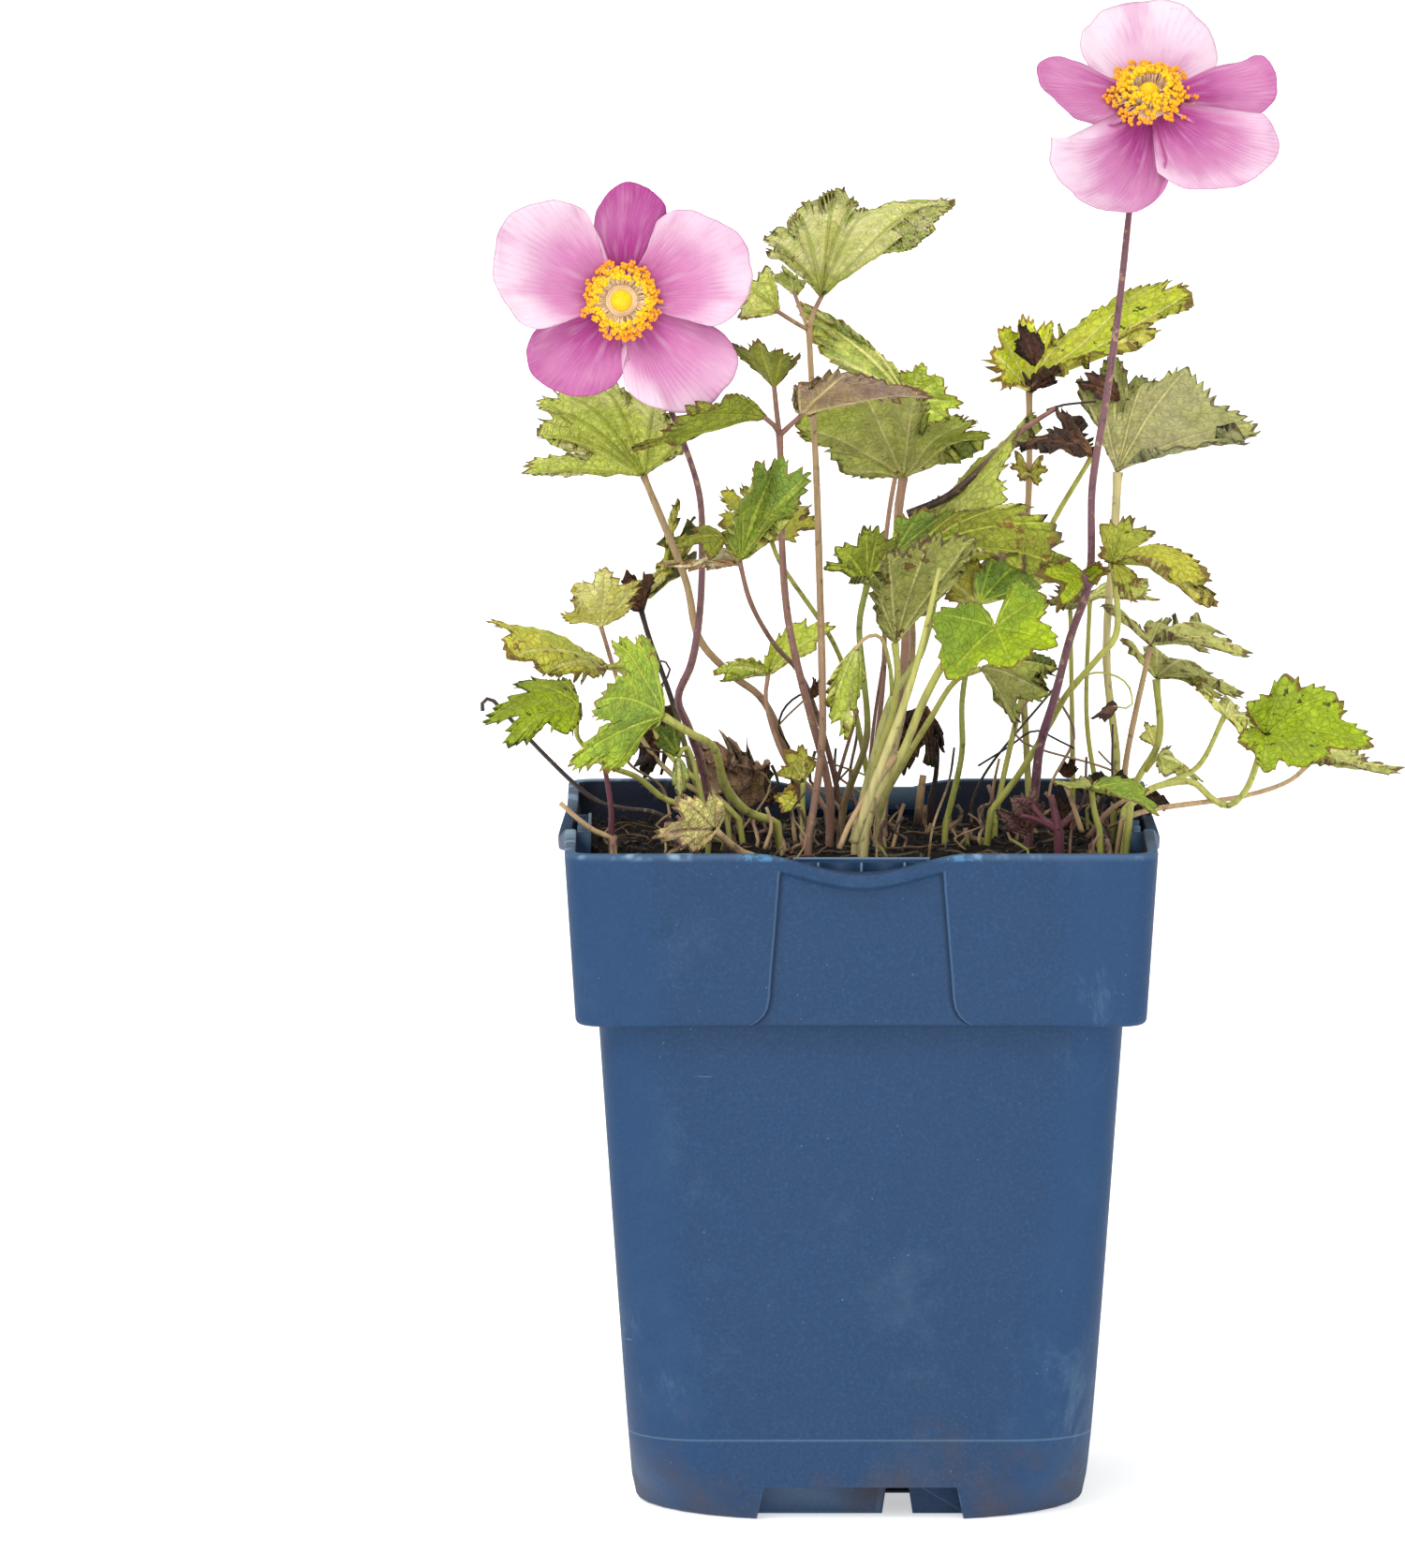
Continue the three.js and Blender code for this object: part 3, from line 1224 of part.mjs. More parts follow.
function stamens(centre, axis) {
  const random = makeRandom(11);
  const across = new THREE.Vector3(1, 0, 0).addScaledVector(axis, -axis.x).normalize();
  const up = axis.clone().cross(across);
  const ring = disc(centre, axis, 3.3, 0.9, 2.6).subtract(disc(centre, axis, 2.5, 3, 2.6));
  const parts = [ring];
  for (let i = 0; i < stamenCount; i += 1) {
    const angle = (i + random() * 0.4) / stamenCount * Math.PI * 2;
    const out = across.clone().multiplyScalar(Math.cos(angle)).addScaledVector(up, Math.sin(angle));
    const reach = stamenReach * (i % 2 ? 1 : 0.74) * (0.92 + random() * 0.12);
    const lift = i % 2 ? 3.6 : 4.9;
    const start = centre.clone().addScaledVector(axis, 2.6).addScaledVector(out, 2.9);
    const tip = centre.clone().addScaledVector(axis, lift).addScaledVector(out, reach);
    parts.push(stamen(start, tip));
  }
  return join(parts);
}

// A three-sided filament with a thick anther at its end
function stamen(from, to) {
  const along = to.clone().sub(from).normalize();
  const side = new THREE.Vector3(along.y, -along.x, 0).normalize();
  const other = along.clone().cross(side);
  const ring = (share, radius) => [0, 1, 2].map((k) => (
    from.clone().lerp(to, share)
      .addScaledVector(side, radius * Math.cos(k * 2.0944))
      .addScaledVector(other, radius * Math.sin(k * 2.0944))
  ));
  return loft([ring(0, 0.3), ring(1, antherRadius)]);
}

function carpels(centre, axis) {
  const geometry = new THREE.IcosahedronGeometry(ballRadius, 1);
  geometry.translate(...centre.clone().addScaledVector(axis, 4.1).toArray());
  return solidFromGeometry(geometry).add(disc(centre, axis, 1.3, 2.0, 2.2));
}

function bloomMeshes({ name, centre, axis, sepals, stalk: stem, leaflets }) {
  const middle = vector(centre);
  const facing = vector(axis).normalize();
  const sepalDisc = disc(middle, facing, 2.6, 1.2, 0);
  const receptacle = disc(middle, facing, 1.6, 0.8, -1.5);
  const top = middle.clone().addScaledVector(facing, -2.1);
  const path = [top.toArray(), ...stem.path];
  const stemSolid = join([
    receptacle,
    stalk({ ...stem, path }, rootOf(path)),
    ...leaflets.map((one) => blade(one, bladeThickness)),
  ]);
  return [
    meshOf(`bloom_${name}_stalk`, stemSolid, looks.flowerStalk),
    meshOf(`bloom_${name}_sepals`, join([sepalDisc, ...sepalSolids(sepals, centre)]), looks.sepal),
    meshOf(`bloom_${name}_stamens`, stamens(middle, facing), looks.stamen),
    meshOf(`bloom_${name}_carpels`, carpels(middle, facing), looks.carpel),
  ];
}

// The whole plant

const plant = new THREE.Group();
plant.add(meshOf('pot', potSolid(), looks.pot));

let soil = soilSolid();
for (const { path, width } of [...leafyStems, ...flowers].map((one) => one.stalk ?? one.stalks[0])) {
  soil = soil.subtract(rootHole(vector(path.at(-1)), rootOf(path), width[1]));
}
plant.add(meshOf('soil', soil, looks.soil));

for (const one of leafyStems) plant.add(meshOf(one.name, leafyStem(one), looks[one.look]));
for (const one of flowers) plant.add(...bloomMeshes(one));

export default plant;
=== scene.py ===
"""A potted Japanese anemone for Blender, dressed over its CAD frame.

A square blue nursery pot of peat holds a clump of toothed leaves on slender stalks, some of
them dried, and two pink blooms on tall stems. Tables give millimetres, pieces are in metres.
"""

import math

import bmesh
import bpy
import numpy as np
from mathutils import Matrix, Vector


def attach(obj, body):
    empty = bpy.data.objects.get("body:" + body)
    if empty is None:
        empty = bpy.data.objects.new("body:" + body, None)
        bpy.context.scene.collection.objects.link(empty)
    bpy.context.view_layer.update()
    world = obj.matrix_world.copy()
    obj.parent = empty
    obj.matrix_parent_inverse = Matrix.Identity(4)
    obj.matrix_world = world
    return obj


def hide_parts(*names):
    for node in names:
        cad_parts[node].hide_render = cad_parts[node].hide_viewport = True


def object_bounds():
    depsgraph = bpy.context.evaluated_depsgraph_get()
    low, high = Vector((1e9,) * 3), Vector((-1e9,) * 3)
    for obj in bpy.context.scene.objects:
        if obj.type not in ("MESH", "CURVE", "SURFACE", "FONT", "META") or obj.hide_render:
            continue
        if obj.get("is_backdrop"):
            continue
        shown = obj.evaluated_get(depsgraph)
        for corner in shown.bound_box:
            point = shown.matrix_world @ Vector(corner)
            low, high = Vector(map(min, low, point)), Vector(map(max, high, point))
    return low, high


bl_info = {
    "name": "Potted Japanese Anemone",
    "version": (1, 0, 0),
    "blender": (4, 5, 0),
    "location": "View3D > Sidebar > Anemone",
    "description": "Makes a potted Japanese anemone piece by piece",
    "category": "Add Mesh",
}

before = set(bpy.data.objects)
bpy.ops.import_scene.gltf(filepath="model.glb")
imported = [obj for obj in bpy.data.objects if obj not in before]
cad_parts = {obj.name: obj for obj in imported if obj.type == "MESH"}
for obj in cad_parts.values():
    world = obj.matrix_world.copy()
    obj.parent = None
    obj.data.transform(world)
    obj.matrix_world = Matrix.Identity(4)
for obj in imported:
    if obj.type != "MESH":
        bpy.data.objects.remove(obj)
CAD_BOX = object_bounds()
MM = 0.001
UP = np.array((0.0, 0.0, 1.0))
GOLDEN_ANGLE = 2.39996  # the turn from one stamen or carpel to the next
VEIN_STEP = 3.1  # millimetres along a rib from one side vein to the next
VEIN_SLANT = 0.85  # how far the side veins run along for each millimetre across


def tone(red, green, blue):
    """A colour given as it is seen on a screen, 0 to 255, as the linear one that Blender uses."""
    return tuple((c / 255 / 12.92) if c <= 10 else ((c / 255 + 0.055) / 1.055) ** 2.4
                 for c in (red, green, blue))


def size_of(name, description, millimetres, low=0.0):
    return bpy.props.FloatProperty(name=name, description=description, default=millimetres * MM,
                                   min=low, unit="LENGTH", precision=4)


def colour_of(name, description, *seen):
    return bpy.props.FloatVectorProperty(name=name, description=description, default=tone(*seen),
                                         size=3, min=0.0, max=1.0, subtype="COLOR")


def count_of(name, description, count, low, high):
    return bpy.props.IntProperty(name=name, description=description, default=count, min=low,
                                 max=high)


def number_of(name, description, number, **kind):
    return bpy.props.FloatProperty(name=name, description=description, default=number, **kind)


# Sizes and colours that a user may change


class PotSettings(bpy.types.PropertyGroup):
    height: size_of("Height", "From the foot to the rim", 127)
    rim_half: size_of("Rim half width", "From the middle to the rim's outside", 55)
    collar_height: size_of("Collar height", "Height of the band under the rim", 32.6)
    collar_half: size_of("Collar half width", "Half its width at its foot", 52.9)
    body_half: size_of("Body half width", "Half its width under the collar", 48.7)
    foot_half: size_of("Foot half width", "Half the width where the pot stands", 42.3)
    floor: size_of("Floor thickness", "Thickness of the pot's floor", 7.5)
    wall: size_of("Wall thickness", "Thickness of the moulded wall", 1.1)
    panel_depth: size_of("Panel depth", "How far the middle panels lie back", 0.9)
    lip_drop: size_of("Lip drop", "How far the rim dips mid-side", 3.6)
    lip_flare: size_of("Lip flare", "How far the lip stands out mid-side", 1.6)
    plastic: colour_of("Plastic", "The outside", 23, 57, 93)
    inside: colour_of("Inside", "The damp inside", 11, 21, 44)
    # Used for real wear and also for the painted highlights on the panels' edges and the pockets'
    # tops
    worn: colour_of("Worn plastic", "Rubbed edges and scuffs", 120, 150, 176)
    # Painted shading: a slightly lighter, bluer tone for the rounded corners, where they turn to
    # the light
    corner: colour_of("Corner", "The rounded corners", 18, 62, 104)
    chipped: colour_of("Chipped plastic", "The chipped rim", 52, 112, 150)
    dirt: colour_of("Dried soil", "The soil dried on the foot", 74, 66, 66)


class SoilSettings(bpy.types.PropertyGroup):
    level: size_of("Level", "Height of the soil above the foot", 119.6)
    rise: size_of("Crown rise", "How much the soil rises in the middle", 1.4)
    crumbs: count_of("Crumbs", "Loose crumbs of peat on the soil", 800, 0, 3000)
    fibres: count_of("Fibres", "Dry fibres lying on the soil", 170, 0, 1000)
    peat: colour_of("Peat", "The soil", 21, 17, 17)
    fibre: colour_of("Fibre", "The dry fibres", 112, 84, 60)


class FoliageSettings(bpy.types.PropertyGroup):
    thickness: size_of("Blade thickness", "Thickness of a leaf blade", 0.36)
    tooth: size_of("Tooth spacing", "From tooth to tooth of a leaf's edge", 2.2)
    row: size_of("Row spacing", "From row to row of a leaf's mesh", 1.9)
    relief: size_of("Relief", "How far a blade swells between its ribs", 0.75)
    ripple: size_of("Ripple", "Height of the slow waves in a blade", 1.1)
    lime: colour_of("Lime green", "The freshest leaves", 158, 178, 14)
    fresh: colour_of("Fresh green", "Healthy leaves", 140, 158, 50)
    light: colour_of("Light green", "Young and lit leaves", 172, 182, 70)
    deep: colour_of("Deep green", "Shaded and old green leaves", 96, 120, 54)
    yellow: colour_of("Yellow green", "Yellowing leaves", 192, 184, 66)
    sunlit: colour_of("Sunlit underside", "Undersides lit from behind", 212, 206, 146)
    olive: colour_of("Olive", "Browning leaves", 130, 138, 44)
    dark_olive: colour_of("Dark olive", "The darkest leaves", 92, 94, 32)
    blue: colour_of("Blue green", "Cool green leaves", 92, 120, 44)
    under: colour_of("Underside", "Pale undersides", 180, 180, 104)
    grey_under: colour_of("Grey underside", "Grey downy undersides", 177, 173, 128)
    cream: colour_of("Cream", "Pale veins and folded margins", 212, 206, 138)
    maroon: colour_of("Maroon", "Thin dark edges", 92, 56, 38)
    brown: colour_of("Brown", "Spots and dried patches", 110, 74, 42)
    purple: colour_of("Purple brown", "Bruised patches", 92, 62, 56)
    mushroom: colour_of("Mushroom", "Withered undersides", 132, 106, 104)
    taupe: colour_of("Taupe", "Dry pale leaves", 160, 134, 96)
    black: colour_of("Black", "Leaves killed by frost", 42, 32, 27)
    plum: colour_of("Plum", "Crumpled young leaves", 90, 66, 66)


class StalkSettings(bpy.types.PropertyGroup):
    sides: count_of("Sides", "Faces round a stalk", 9, 5, 24)
    spacing: size_of("Ring spacing", "From ring to ring of a stalk's mesh", 1.6)
    hairs: number_of("Hairs", "Hairs for each millimetre of stalk", 1.0, min=0.0, max=10.0)
    yellow_green: colour_of("Yellow green", "Fresh leaf stalks", 178, 178, 88)
    green: colour_of("Green", "Green leaf stalks", 150, 158, 76)
    pale: colour_of("Pale", "Bleached feet of the stalks", 204, 190, 132)
    tan: colour_of("Tan", "Dry leaf stalks", 180, 150, 110)
    mauve: colour_of("Mauve brown", "Reddish leaf stalks", 142, 104, 90)
    pink: colour_of("Pinkish tan", "Pinkish leaf stalks", 178, 140, 116)
    dark: colour_of("Dark brown", "Withered stalks", 52, 36, 32)
    red: colour_of("Red", "New shoots", 100, 48, 62)
    stubs: count_of("Stubs", "Broken old stalks round each root", 3, 0, 12)


class BloomSettings(bpy.types.PropertyGroup):
    thickness: size_of("Sepal thickness", "Thickness of a sepal", 0.36)
    stamens: count_of("Stamens", "Stamens in each bloom", 190, 0, 300)
    reach: size_of("Stamen reach", "From the middle to the outer anthers", 7.1)
    ball: size_of("Carpel ball", "Radius of the ball of carpels", 2.1)
    pale: colour_of("Pale sepal", "The sepals' palest tone", 225, 203, 215)
    pink: colour_of("Pink sepal", "The sepals' middle tone", 194, 122, 168)
    deep: colour_of("Deep sepal", "The sepals' deepest tone", 158, 42, 126)
    back: colour_of("Sepal back", "The backs of the sepals", 204, 130, 172)
    anther: colour_of("Anther", "The anthers", 255, 160, 40)
    filament: colour_of("Filament", "The filaments", 250, 222, 182)
    carpel: colour_of("Carpel", "The carpels", 255, 208, 20)
    stalk: colour_of("Flower stalk", "The flower stalks", 104, 64, 80)


class StageSettings(bpy.types.PropertyGroup):
    floor_half: number_of("Floor half width", "Half the pale floor's width", 9.0, unit="LENGTH")
    floor: colour_of("Floor", "The floor", 250, 250, 250)
    sky: number_of("Sky strength", "Strength of the even light", 0.72)
    sun: number_of("Sun strength", "Strength of the soft key light", 1.5)
    azimuth: number_of("Azimuth", "Where the camera stands", 0.0, subtype="ANGLE")
    elevation: number_of("Elevation", "How far it looks down", math.radians(7.4), subtype="ANGLE")
    distance: number_of("Distance", "From the camera to the plant", 3.2, unit="LENGTH")
    lens: number_of("Lens", "Focal length in millimetres", 391.0)


# What each leafy stem is made of: stalks run from the leaf down to the soil, the first one
# rooted, and each blade has the tips of its lobes in order round it. Points are x, y, z, and
# colours are a stalk's top and foot, or one name for both.


def points(*numbers):
    return np.reshape(numbers, (-1, 3)).astype(float)


def unit(vector):
    vector = np.asarray(vector, float)
    return vector / np.linalg.norm(vector)


def leafy_stem(node, colours, stalks, blades=()):
    LEAFY_STEMS.append(dict(node=node, colours=colours, stalks=stalks, blades=blades))


# light scales the blade's colour through its tint: partly the leaf's own tone, partly painted light
# and shade for how brightly the blade is lit.
def blade(finish, base, tips, notch=0.85, arch=0.05, crumple=0.0, light=1.0):
    return dict(finish=finish, base=np.array(base, float), tips=points(*tips), notch=notch,
                arch=arch, crumple=crumple, light=light)


LEAFY_STEMS = []
leafy_stem("leaf_top_trio", ("tan", "mauve"), (
    ((1.3, 1.7), (-9.5, 2, 219, -8, 1, 190, -7.5, -1, 174, -7, -6, 155, -7, -8, 142, -8.5, -9, 130,
        -9.5, -10, 124.5)),
    ((1.2, 1), (-9.5, 2, 218.5, -8.5, 2, 222, -7, 2, 225)),
    ((1.1, 0.9), (-9.5, 2, 218.5, -12, 1, 220, -15, 0, 222)),
    ((1, 0.8), (-9.5, 2, 218.5, -11, 5, 222, -12, 7, 224.5)),
), (
    blade("pale_olive", (-7, 2, 225), (-17.5, -20, 235, -18, -26.5, 239, -12, -40, 244.5,
        -5, -46.5, 249, -1, -48.5, 247.5, 2, -48.5, 246, 17, -51, 248, 12, -24.5, 239),
        notch=(0.9, 0.86, 0.93, 0.98, 0.93, 0.97, 0.9), arch=0.06, light=1.1),
    blade("pale_olive", (-15, 0, 222), (-23, 2, 221, -22.5, 6.5, 227, -17.5, 9, 230), notch=0.95,
        light=1.1),
    blade("light_green", (-12, 7, 224.5), (-17.5, 20, 227.5, -14, 20, 228.5, -10.5, 11.5, 227.5),
        notch=0.9, light=0.7),
))
leafy_stem("leaf_middle_trio", "mauve", (
    ((1.4, 1.8), (-15, -10, 200.5, -13.5, -8, 166, -5.5, -0.5, 131, -5.5, 1, 123)),
    ((1.2, 1), (-15, -10, 200, -16, -12, 202, -17.5, -14, 203.5)),
    ((1.2, 1), (-15, -10, 200, -15.5, -11, 204, -16, -12, 209)),
    ((1.2, 1), (-15, -10, 200, -13, -11, 202, -11, -12, 204)),
), (
    blade("dark_olive", (-17.5, -14, 203.5), (-31.5, -16, 201, -42.5, -21.5, 198.5,
        -34.5, -23.5, 205.5, -25, -21.5, 209), notch=0.96, light=1.2),
    blade("olive_edged", (-16, -12, 209), (-24, -12, 217.5, -19.5, -21.5, 219, -14.5, -21.5, 217.5,
        -11, -10, 215.5), notch=0.93, light=0.9),
    blade("brownish", (-11, -12, 204), (-11.5, -19.5, 211, -2, -27, 214, 13.5, -25.5, 210,
        2.5, -12, 206.5), notch=0.97, light=1.1),
))
leafy_stem("leaf_pale_palmate", ("tan", "mauve"), (
    ((1.5, 1.8), (-40.5, 12, 190, -32.5, 11, 170, -30, 12, 159, -24, 14, 152, -18, 15, 147,
        -11.5, 18, 130, -10.5, 20, 124.5)),
), (
    blade("pale_olive", (-40.5, 12, 190), (-63.5, 4, 191.5, -60.5, -8, 201, -60.5, -12, 207,
        -56, -14, 210, -49, -14, 212, -38, -10, 207.5, -31.5, 4, 198.5),
        notch=(0.64, 0.95, 0.97, 0.97, 0.86, 0.93), light=1.2),
))
leafy_stem("leaf_two_lobed", "pink", (
    ((0.9, 1.2), (-17, 10, 152.5, -17.5, 10, 148, -15.5, 11, 140, -12.5, 12, 134, -8.5, 13, 130,
        -6, 14, 126)),
    ((0.7, 1), (0, 20, 144.5, -4.5, 22, 128, -5, 22, 123), ("mauve", "dark")),
    ((0.7, 0.9), (5, 28, 154, 3, 29, 140, 1.5, 30, 123.5), "mauve"),
), (
    blade("light_green", (-17, 10, 152.5), (-26, 3, 152, -27, -1, 155, -12.5, 15.5, 161.5,
        -4, 12, 161, -8, 6.5, 157.5), notch=(0.95, 0.42, 0.9, 0.9), arch=0.06, light=1.7),
))
leafy_stem("leaf_dark_trio", "mauve", (
    ((1, 1.3), (-22.5, -16, 177, -20.5, -12, 169, -16, -4, 160, -11.5, 4, 154, -8, 14, 145,
        -5, 22, 134, -3, 26, 124.5)),
    ((0.9, 0.8), (-22.5, -16, 176.5, -24, -16, 179, -25, -16, 181.5)),
    ((0.5, 0.6), (-6.5, 8.5, 149.5, -10.5, 9, 149, -14, 10.5, 146, -15, 12, 142, -13, 14, 138,
        -12.5, 16.5, 130.5), "dark"),
), (
    blade("mid_green", (-22.5, -16, 177), (-25.5, -24, 182.5, -23, -30.5, 190, -19.5, -27, 197,
        -14.5, -24, 198, -9, -27, 195, -12.5, -19, 186), notch=0.95, arch=0.06, light=1.1),
    blade("olive_edged", (-25, -16, 181.5), (-28, -22.5, 178, -34, -21, 180.5, -31, -14.5, 183),
        arch=0.08),
    blade("tan_under", (-22.5, -16, 176.5), (-29, -12.5, 175, -37.5, -9.5, 176, -27, -6.5, 179),
        notch=0.95, arch=0.04, light=1.5),
    blade("burnt", (-8.5, 7.5, 148.5), (-10.5, 4, 149.5, -9.5, 4, 153, -7, 6, 153, -6.5, 7.5, 150),
        crumple=0.9, light=1.8),
))
leafy_stem("leaf_brown_edged", "yellow_green", (
    ((1, 1.3), (-16.5, 10, 178, -15, 11, 174, -5, 19, 158, -2, 23, 150, 1, 26, 136, 2.5, 28, 127)),
), (
    blade("brown_edged", (-16.5, 10, 178), (-21.5, 1, 176.5, -26.5, 10, 181, -26, 21, 186,
        -21, 26, 186.5, -9.5, 24.5, 183, -7.5, 13.5, 181.5, -12, 3, 179), notch=0.8, light=0.9),
))
leafy_stem("leaf_blackened_left", ("dark", "yellow_green"), (
    ((1.1, 1.4), (-41, 24, 163, -39.5, 22.5, 158, -35.5, 22, 147, -30, 23.5, 128, -28.5, 23, 124)),
    ((1.2, 0.9), (-41, 24, 162.5, -40.5, 24, 164, -40, 25, 165.5)),
    ((0.5, 0.5), (-40.5, 20, 150, -39, 20.5, 153, -37, 20.5, 154, -35.5, 20, 152,
        -37, 19.5, 149.5), "dark"),
), (
    blade("burnt", (-41, 24, 163), (-46, 16.5, 166, -44, 18, 171, -39, 22.5, 170.5), crumple=1,
        light=1.7),
    blade("burnt_yellow", (-40, 25, 165.5), (-36, 35.5, 172, -34, 40, 181.5, -30, 35.5, 178,
        -30.5, 31, 172.5), notch=0.8, arch=0.03, crumple=0.8, light=0.9),
))
leafy_stem("leaf_yellow_fan", ("pink", "yellow_green"), (
    ((0.9, 1.3), (-48.5, 10, 161.5, -44.5, 16, 148, -40, 17, 138, -34.5, 17, 132, -28, 17, 128,
        -25, 16, 125.5)),
), (
    blade("yellow_fan", (-48.5, 10, 161.5), (-56, 6, 165.5, -53.5, -3.5, 171.5, -47.5, -7, 175,
        -41, 0.5, 171.5, -42.5, 10, 165), notch=0.88, light=1.4),
))
leafy_stem("leaf_green_left", "yellow_green", (
    ((1.6, 2), (-36.5, -30, 149.5, -31.5, -27, 146, -27.5, -22, 143, -25, -12, 134, -21.5, -7, 129,
        -15.5, -2, 126)),
), (
    blade("mid_green", (-36.5, -30, 149.5), (-47, -31, 140.5, -54, -43, 141.5, -50, -47, 154.5,
        -47, -40.5, 165, -41, -30, 165), notch=(0.95, 0.72, 0.8, 0.92), arch=0.09, light=1.7),
))
leafy_stem("leaf_spotted_left", "yellow_green", (
    ((1, 1.3), (-48, 18, 153, -44.5, 17.5, 152, -40, 17.5, 146, -37, 17, 138, -26, 14.5, 128,
        -22.5, 14, 124.5)),
), (
    blade("spotted_yellow", (-48, 18, 153), (-50, 8.5, 151.5, -59.5, 0.5, 153.5, -66, 0.5, 157,
        -70.5, 10, 162, -63, 19.5, 159.5, -56, 24.5, 155.5), notch=0.97, arch=0.07),
))
leafy_stem("leaf_lobed_left", "yellow_green", (
    ((1, 1.4), (-52.5, -10, 149, -53, -8, 144, -52.5, -5.5, 142, -48, -1.5, 137, -41.5, 1.5, 134,
        -37, 3.5, 130, -32.5, 4, 128, -29.5, 5, 125.5)),
), (
    blade("patched_yellow", (-52.5, -10, 149), (-57, 0.5, 153, -64, -5, 152.5, -70.5, -16.5, 147,
        -65.5, -24.5, 143, -54.5, -21.5, 144.5), notch=(0.93, 0.78, 0.8, 0.84), arch=0.1,
        light=0.8),
))
leafy_stem("stem_dark_arching", "dark", (
    ((0.8, 1.2), (-71, 24, 144, -71, 23, 145.5, -69.5, 22, 146.5, -68, 21.5, 145, -50, 16.5, 128,
        -44.5, 14, 126.5, -39, 9, 126.5, -35.5, 6, 125.5)),
))
leafy_stem("stem_red_shoot", "red", (
    ((0.9, 1.3), (-48.5, -12, 142, -46.5, -13, 130, -46.5, -13, 125)),
))
leafy_stem("leaf_hanging_left", "yellow_green", (
    ((1, 1.2), (-34, -14, 140, -32.5, -13.5, 142, -29.5, -12.5, 132, -28.5, -12, 126)),
), (
    blade("blue_green", (-34, -14, 140), (-38.5, -18.5, 143, -38.5, -21.5, 147, -35.5, -20, 148,
        -34, -15.5, 145.5), notch=0.9),
    blade("grey_green", (-34, -14, 140), (-35, -20, 135.5, -33.5, -24.5, 132, -32, -18.5, 136),
        notch=1, arch=0.03, light=1.1),
))
leafy_stem("dried_leaf_left", "dark", (
    ((1, 1.2), (-34.5, 26, 144, -31.5, 28, 131, -31, 29, 125)),
), (
    blade("burnt", (-34.5, 26, 144), (-41.5, 20, 141.5, -43.5, 17.5, 137.5, -41, 16.5, 132.5,
        -37, 20, 132.5, -35.5, 21, 138), notch=0.8, arch=0.1, crumple=1.4, light=0.7),
))
leafy_stem("dried_leaf_curled", ("dark", "mauve"), (
    ((1.2, 1.6), (-20.5, 36, 124, -19.5, 35.5, 122, -18.5, 35, 122.5)),
), (
    blade("dried", (-20.5, 36, 124), (-29.5, 21.5, 129, -30.5, 19, 136.5, -24, 25, 138,
        -16.5, 30, 132, -15, 34.5, 126.5), notch=0.9, arch=0.12, crumple=2, light=1.8),
))
leafy_stem("leaf_front_rim", "tan", (
    ((1.5, 1.8), (-27, -33, 128.5, -22, -30, 124, -19.5, -28, 123)),
    ((0.7, 1), (-17.5, -22, 131.5, -16.5, -22, 128, -17.5, -22, 124.5), "tan"),
), (
    blade("netted", (-27, -33, 128.5), (-31.5, -38.5, 125, -38.5, -43, 128.5, -34.5, -37.5, 135.5,
        -27.5, -29.5, 135, -25, -26.5, 131.5), notch=(0.92, 0.8, 0.78, 0.95), light=1.7),
))
leafy_stem("leaf_small_speckled", "yellow_green", (
    ((0.9, 1.2), (-10.5, 6, 132.5, -10.5, 7, 128, -10.5, 7, 125.5)),
    ((0.8, 0.7), (-10.5, 7, 128, -11.5, 7, 128)),
), (
    blade("speckled", (-10.5, 6, 132.5), (-15.5, 4.5, 134.5, -14, 7.5, 138.5, -10.5, 8.5, 139.5,
        -8, 10, 136), arch=0.06, light=1.2),
    blade("speckled", (-11.5, 7, 128), (-14.5, 4.5, 127, -16, 4.5, 130, -13, 5.5, 132.5),
        notch=0.95, arch=0.04, light=1.8),
))
leafy_stem("leaf_spotted_centre", ("yellow_green", "tan"), (
    ((1.4, 1.7), (6.5, -19, 162, 7, -18.5, 156, 6, -16, 148, 3.5, -14, 140, 1.5, -13.5, 130,
        0.5, -14, 125.5)),
    ((1, 0.8), (6, -16.5, 152, 5.5, -21, 158, 3.5, -25, 164, 1, -27, 164, -0.5, -28, 162.5)),
    ((0.9, 2.3), (14.5, -40, 178.5, 10, -37.5, 159, 2.5, -33.5, 137,
        -1, -32, 127), ("yellow_green", "pale")),
    ((1.2, 1.6), (-4, -36, 125.5, -2, -34, 130, 1.5, -29.5, 135, 6, -23, 140.5), "tan"),
), (
    blade("spotted_olive", (6.5, -19, 162), (3, -24, 166.5, 2, -28, 174, 5, -29.5, 180.5,
        12.5, -25.5, 183, 21.5, -20.5, 182, 18.5, -17.5, 174, 11.5, -14, 166.5), notch=0.96,
        arch=0.06, light=0.8),
    blade("light_green", (-0.5, -28, 162.5), (-6, -26.5, 155, -6.5, -28, 149.5, -3, -32, 145.5,
        0.5, -26.5, 153), notch=0.97, arch=0.04),
))
leafy_stem("leaf_dark_lobed", ("green", "mauve"), (
    ((1.3, 1.6), (1.5, -8, 172, 0, -6, 164, 1.5, 1, 142, -1.5, 7, 132, -3, 10, 127)),
    ((1, 0.9), (1, -8, 171, 3.5, -6, 174, 6.5, -4, 177)),
), (
    blade("spotted_dark", (1.5, -8, 172), (-2, -17.5, 173.5, -7, -19, 176, -5, -17.5, 180,
        0.5, -13, 183.5, 3.5, -9.5, 183, 7, -6.5, 179.5, 6, -5, 174),
        notch=(0.95, 0.86, 0.88, 0.95, 0.93, 0.95), arch=0.07, light=1.7),
    blade("mid_green", (6.5, -4, 177), (7, -5.5, 181, 7, -5.5, 184.5, 12, -4, 186, 18, 1, 185,
        17.5, 4, 181, 14, 2.5, 178), notch=0.95, light=1.4),
))
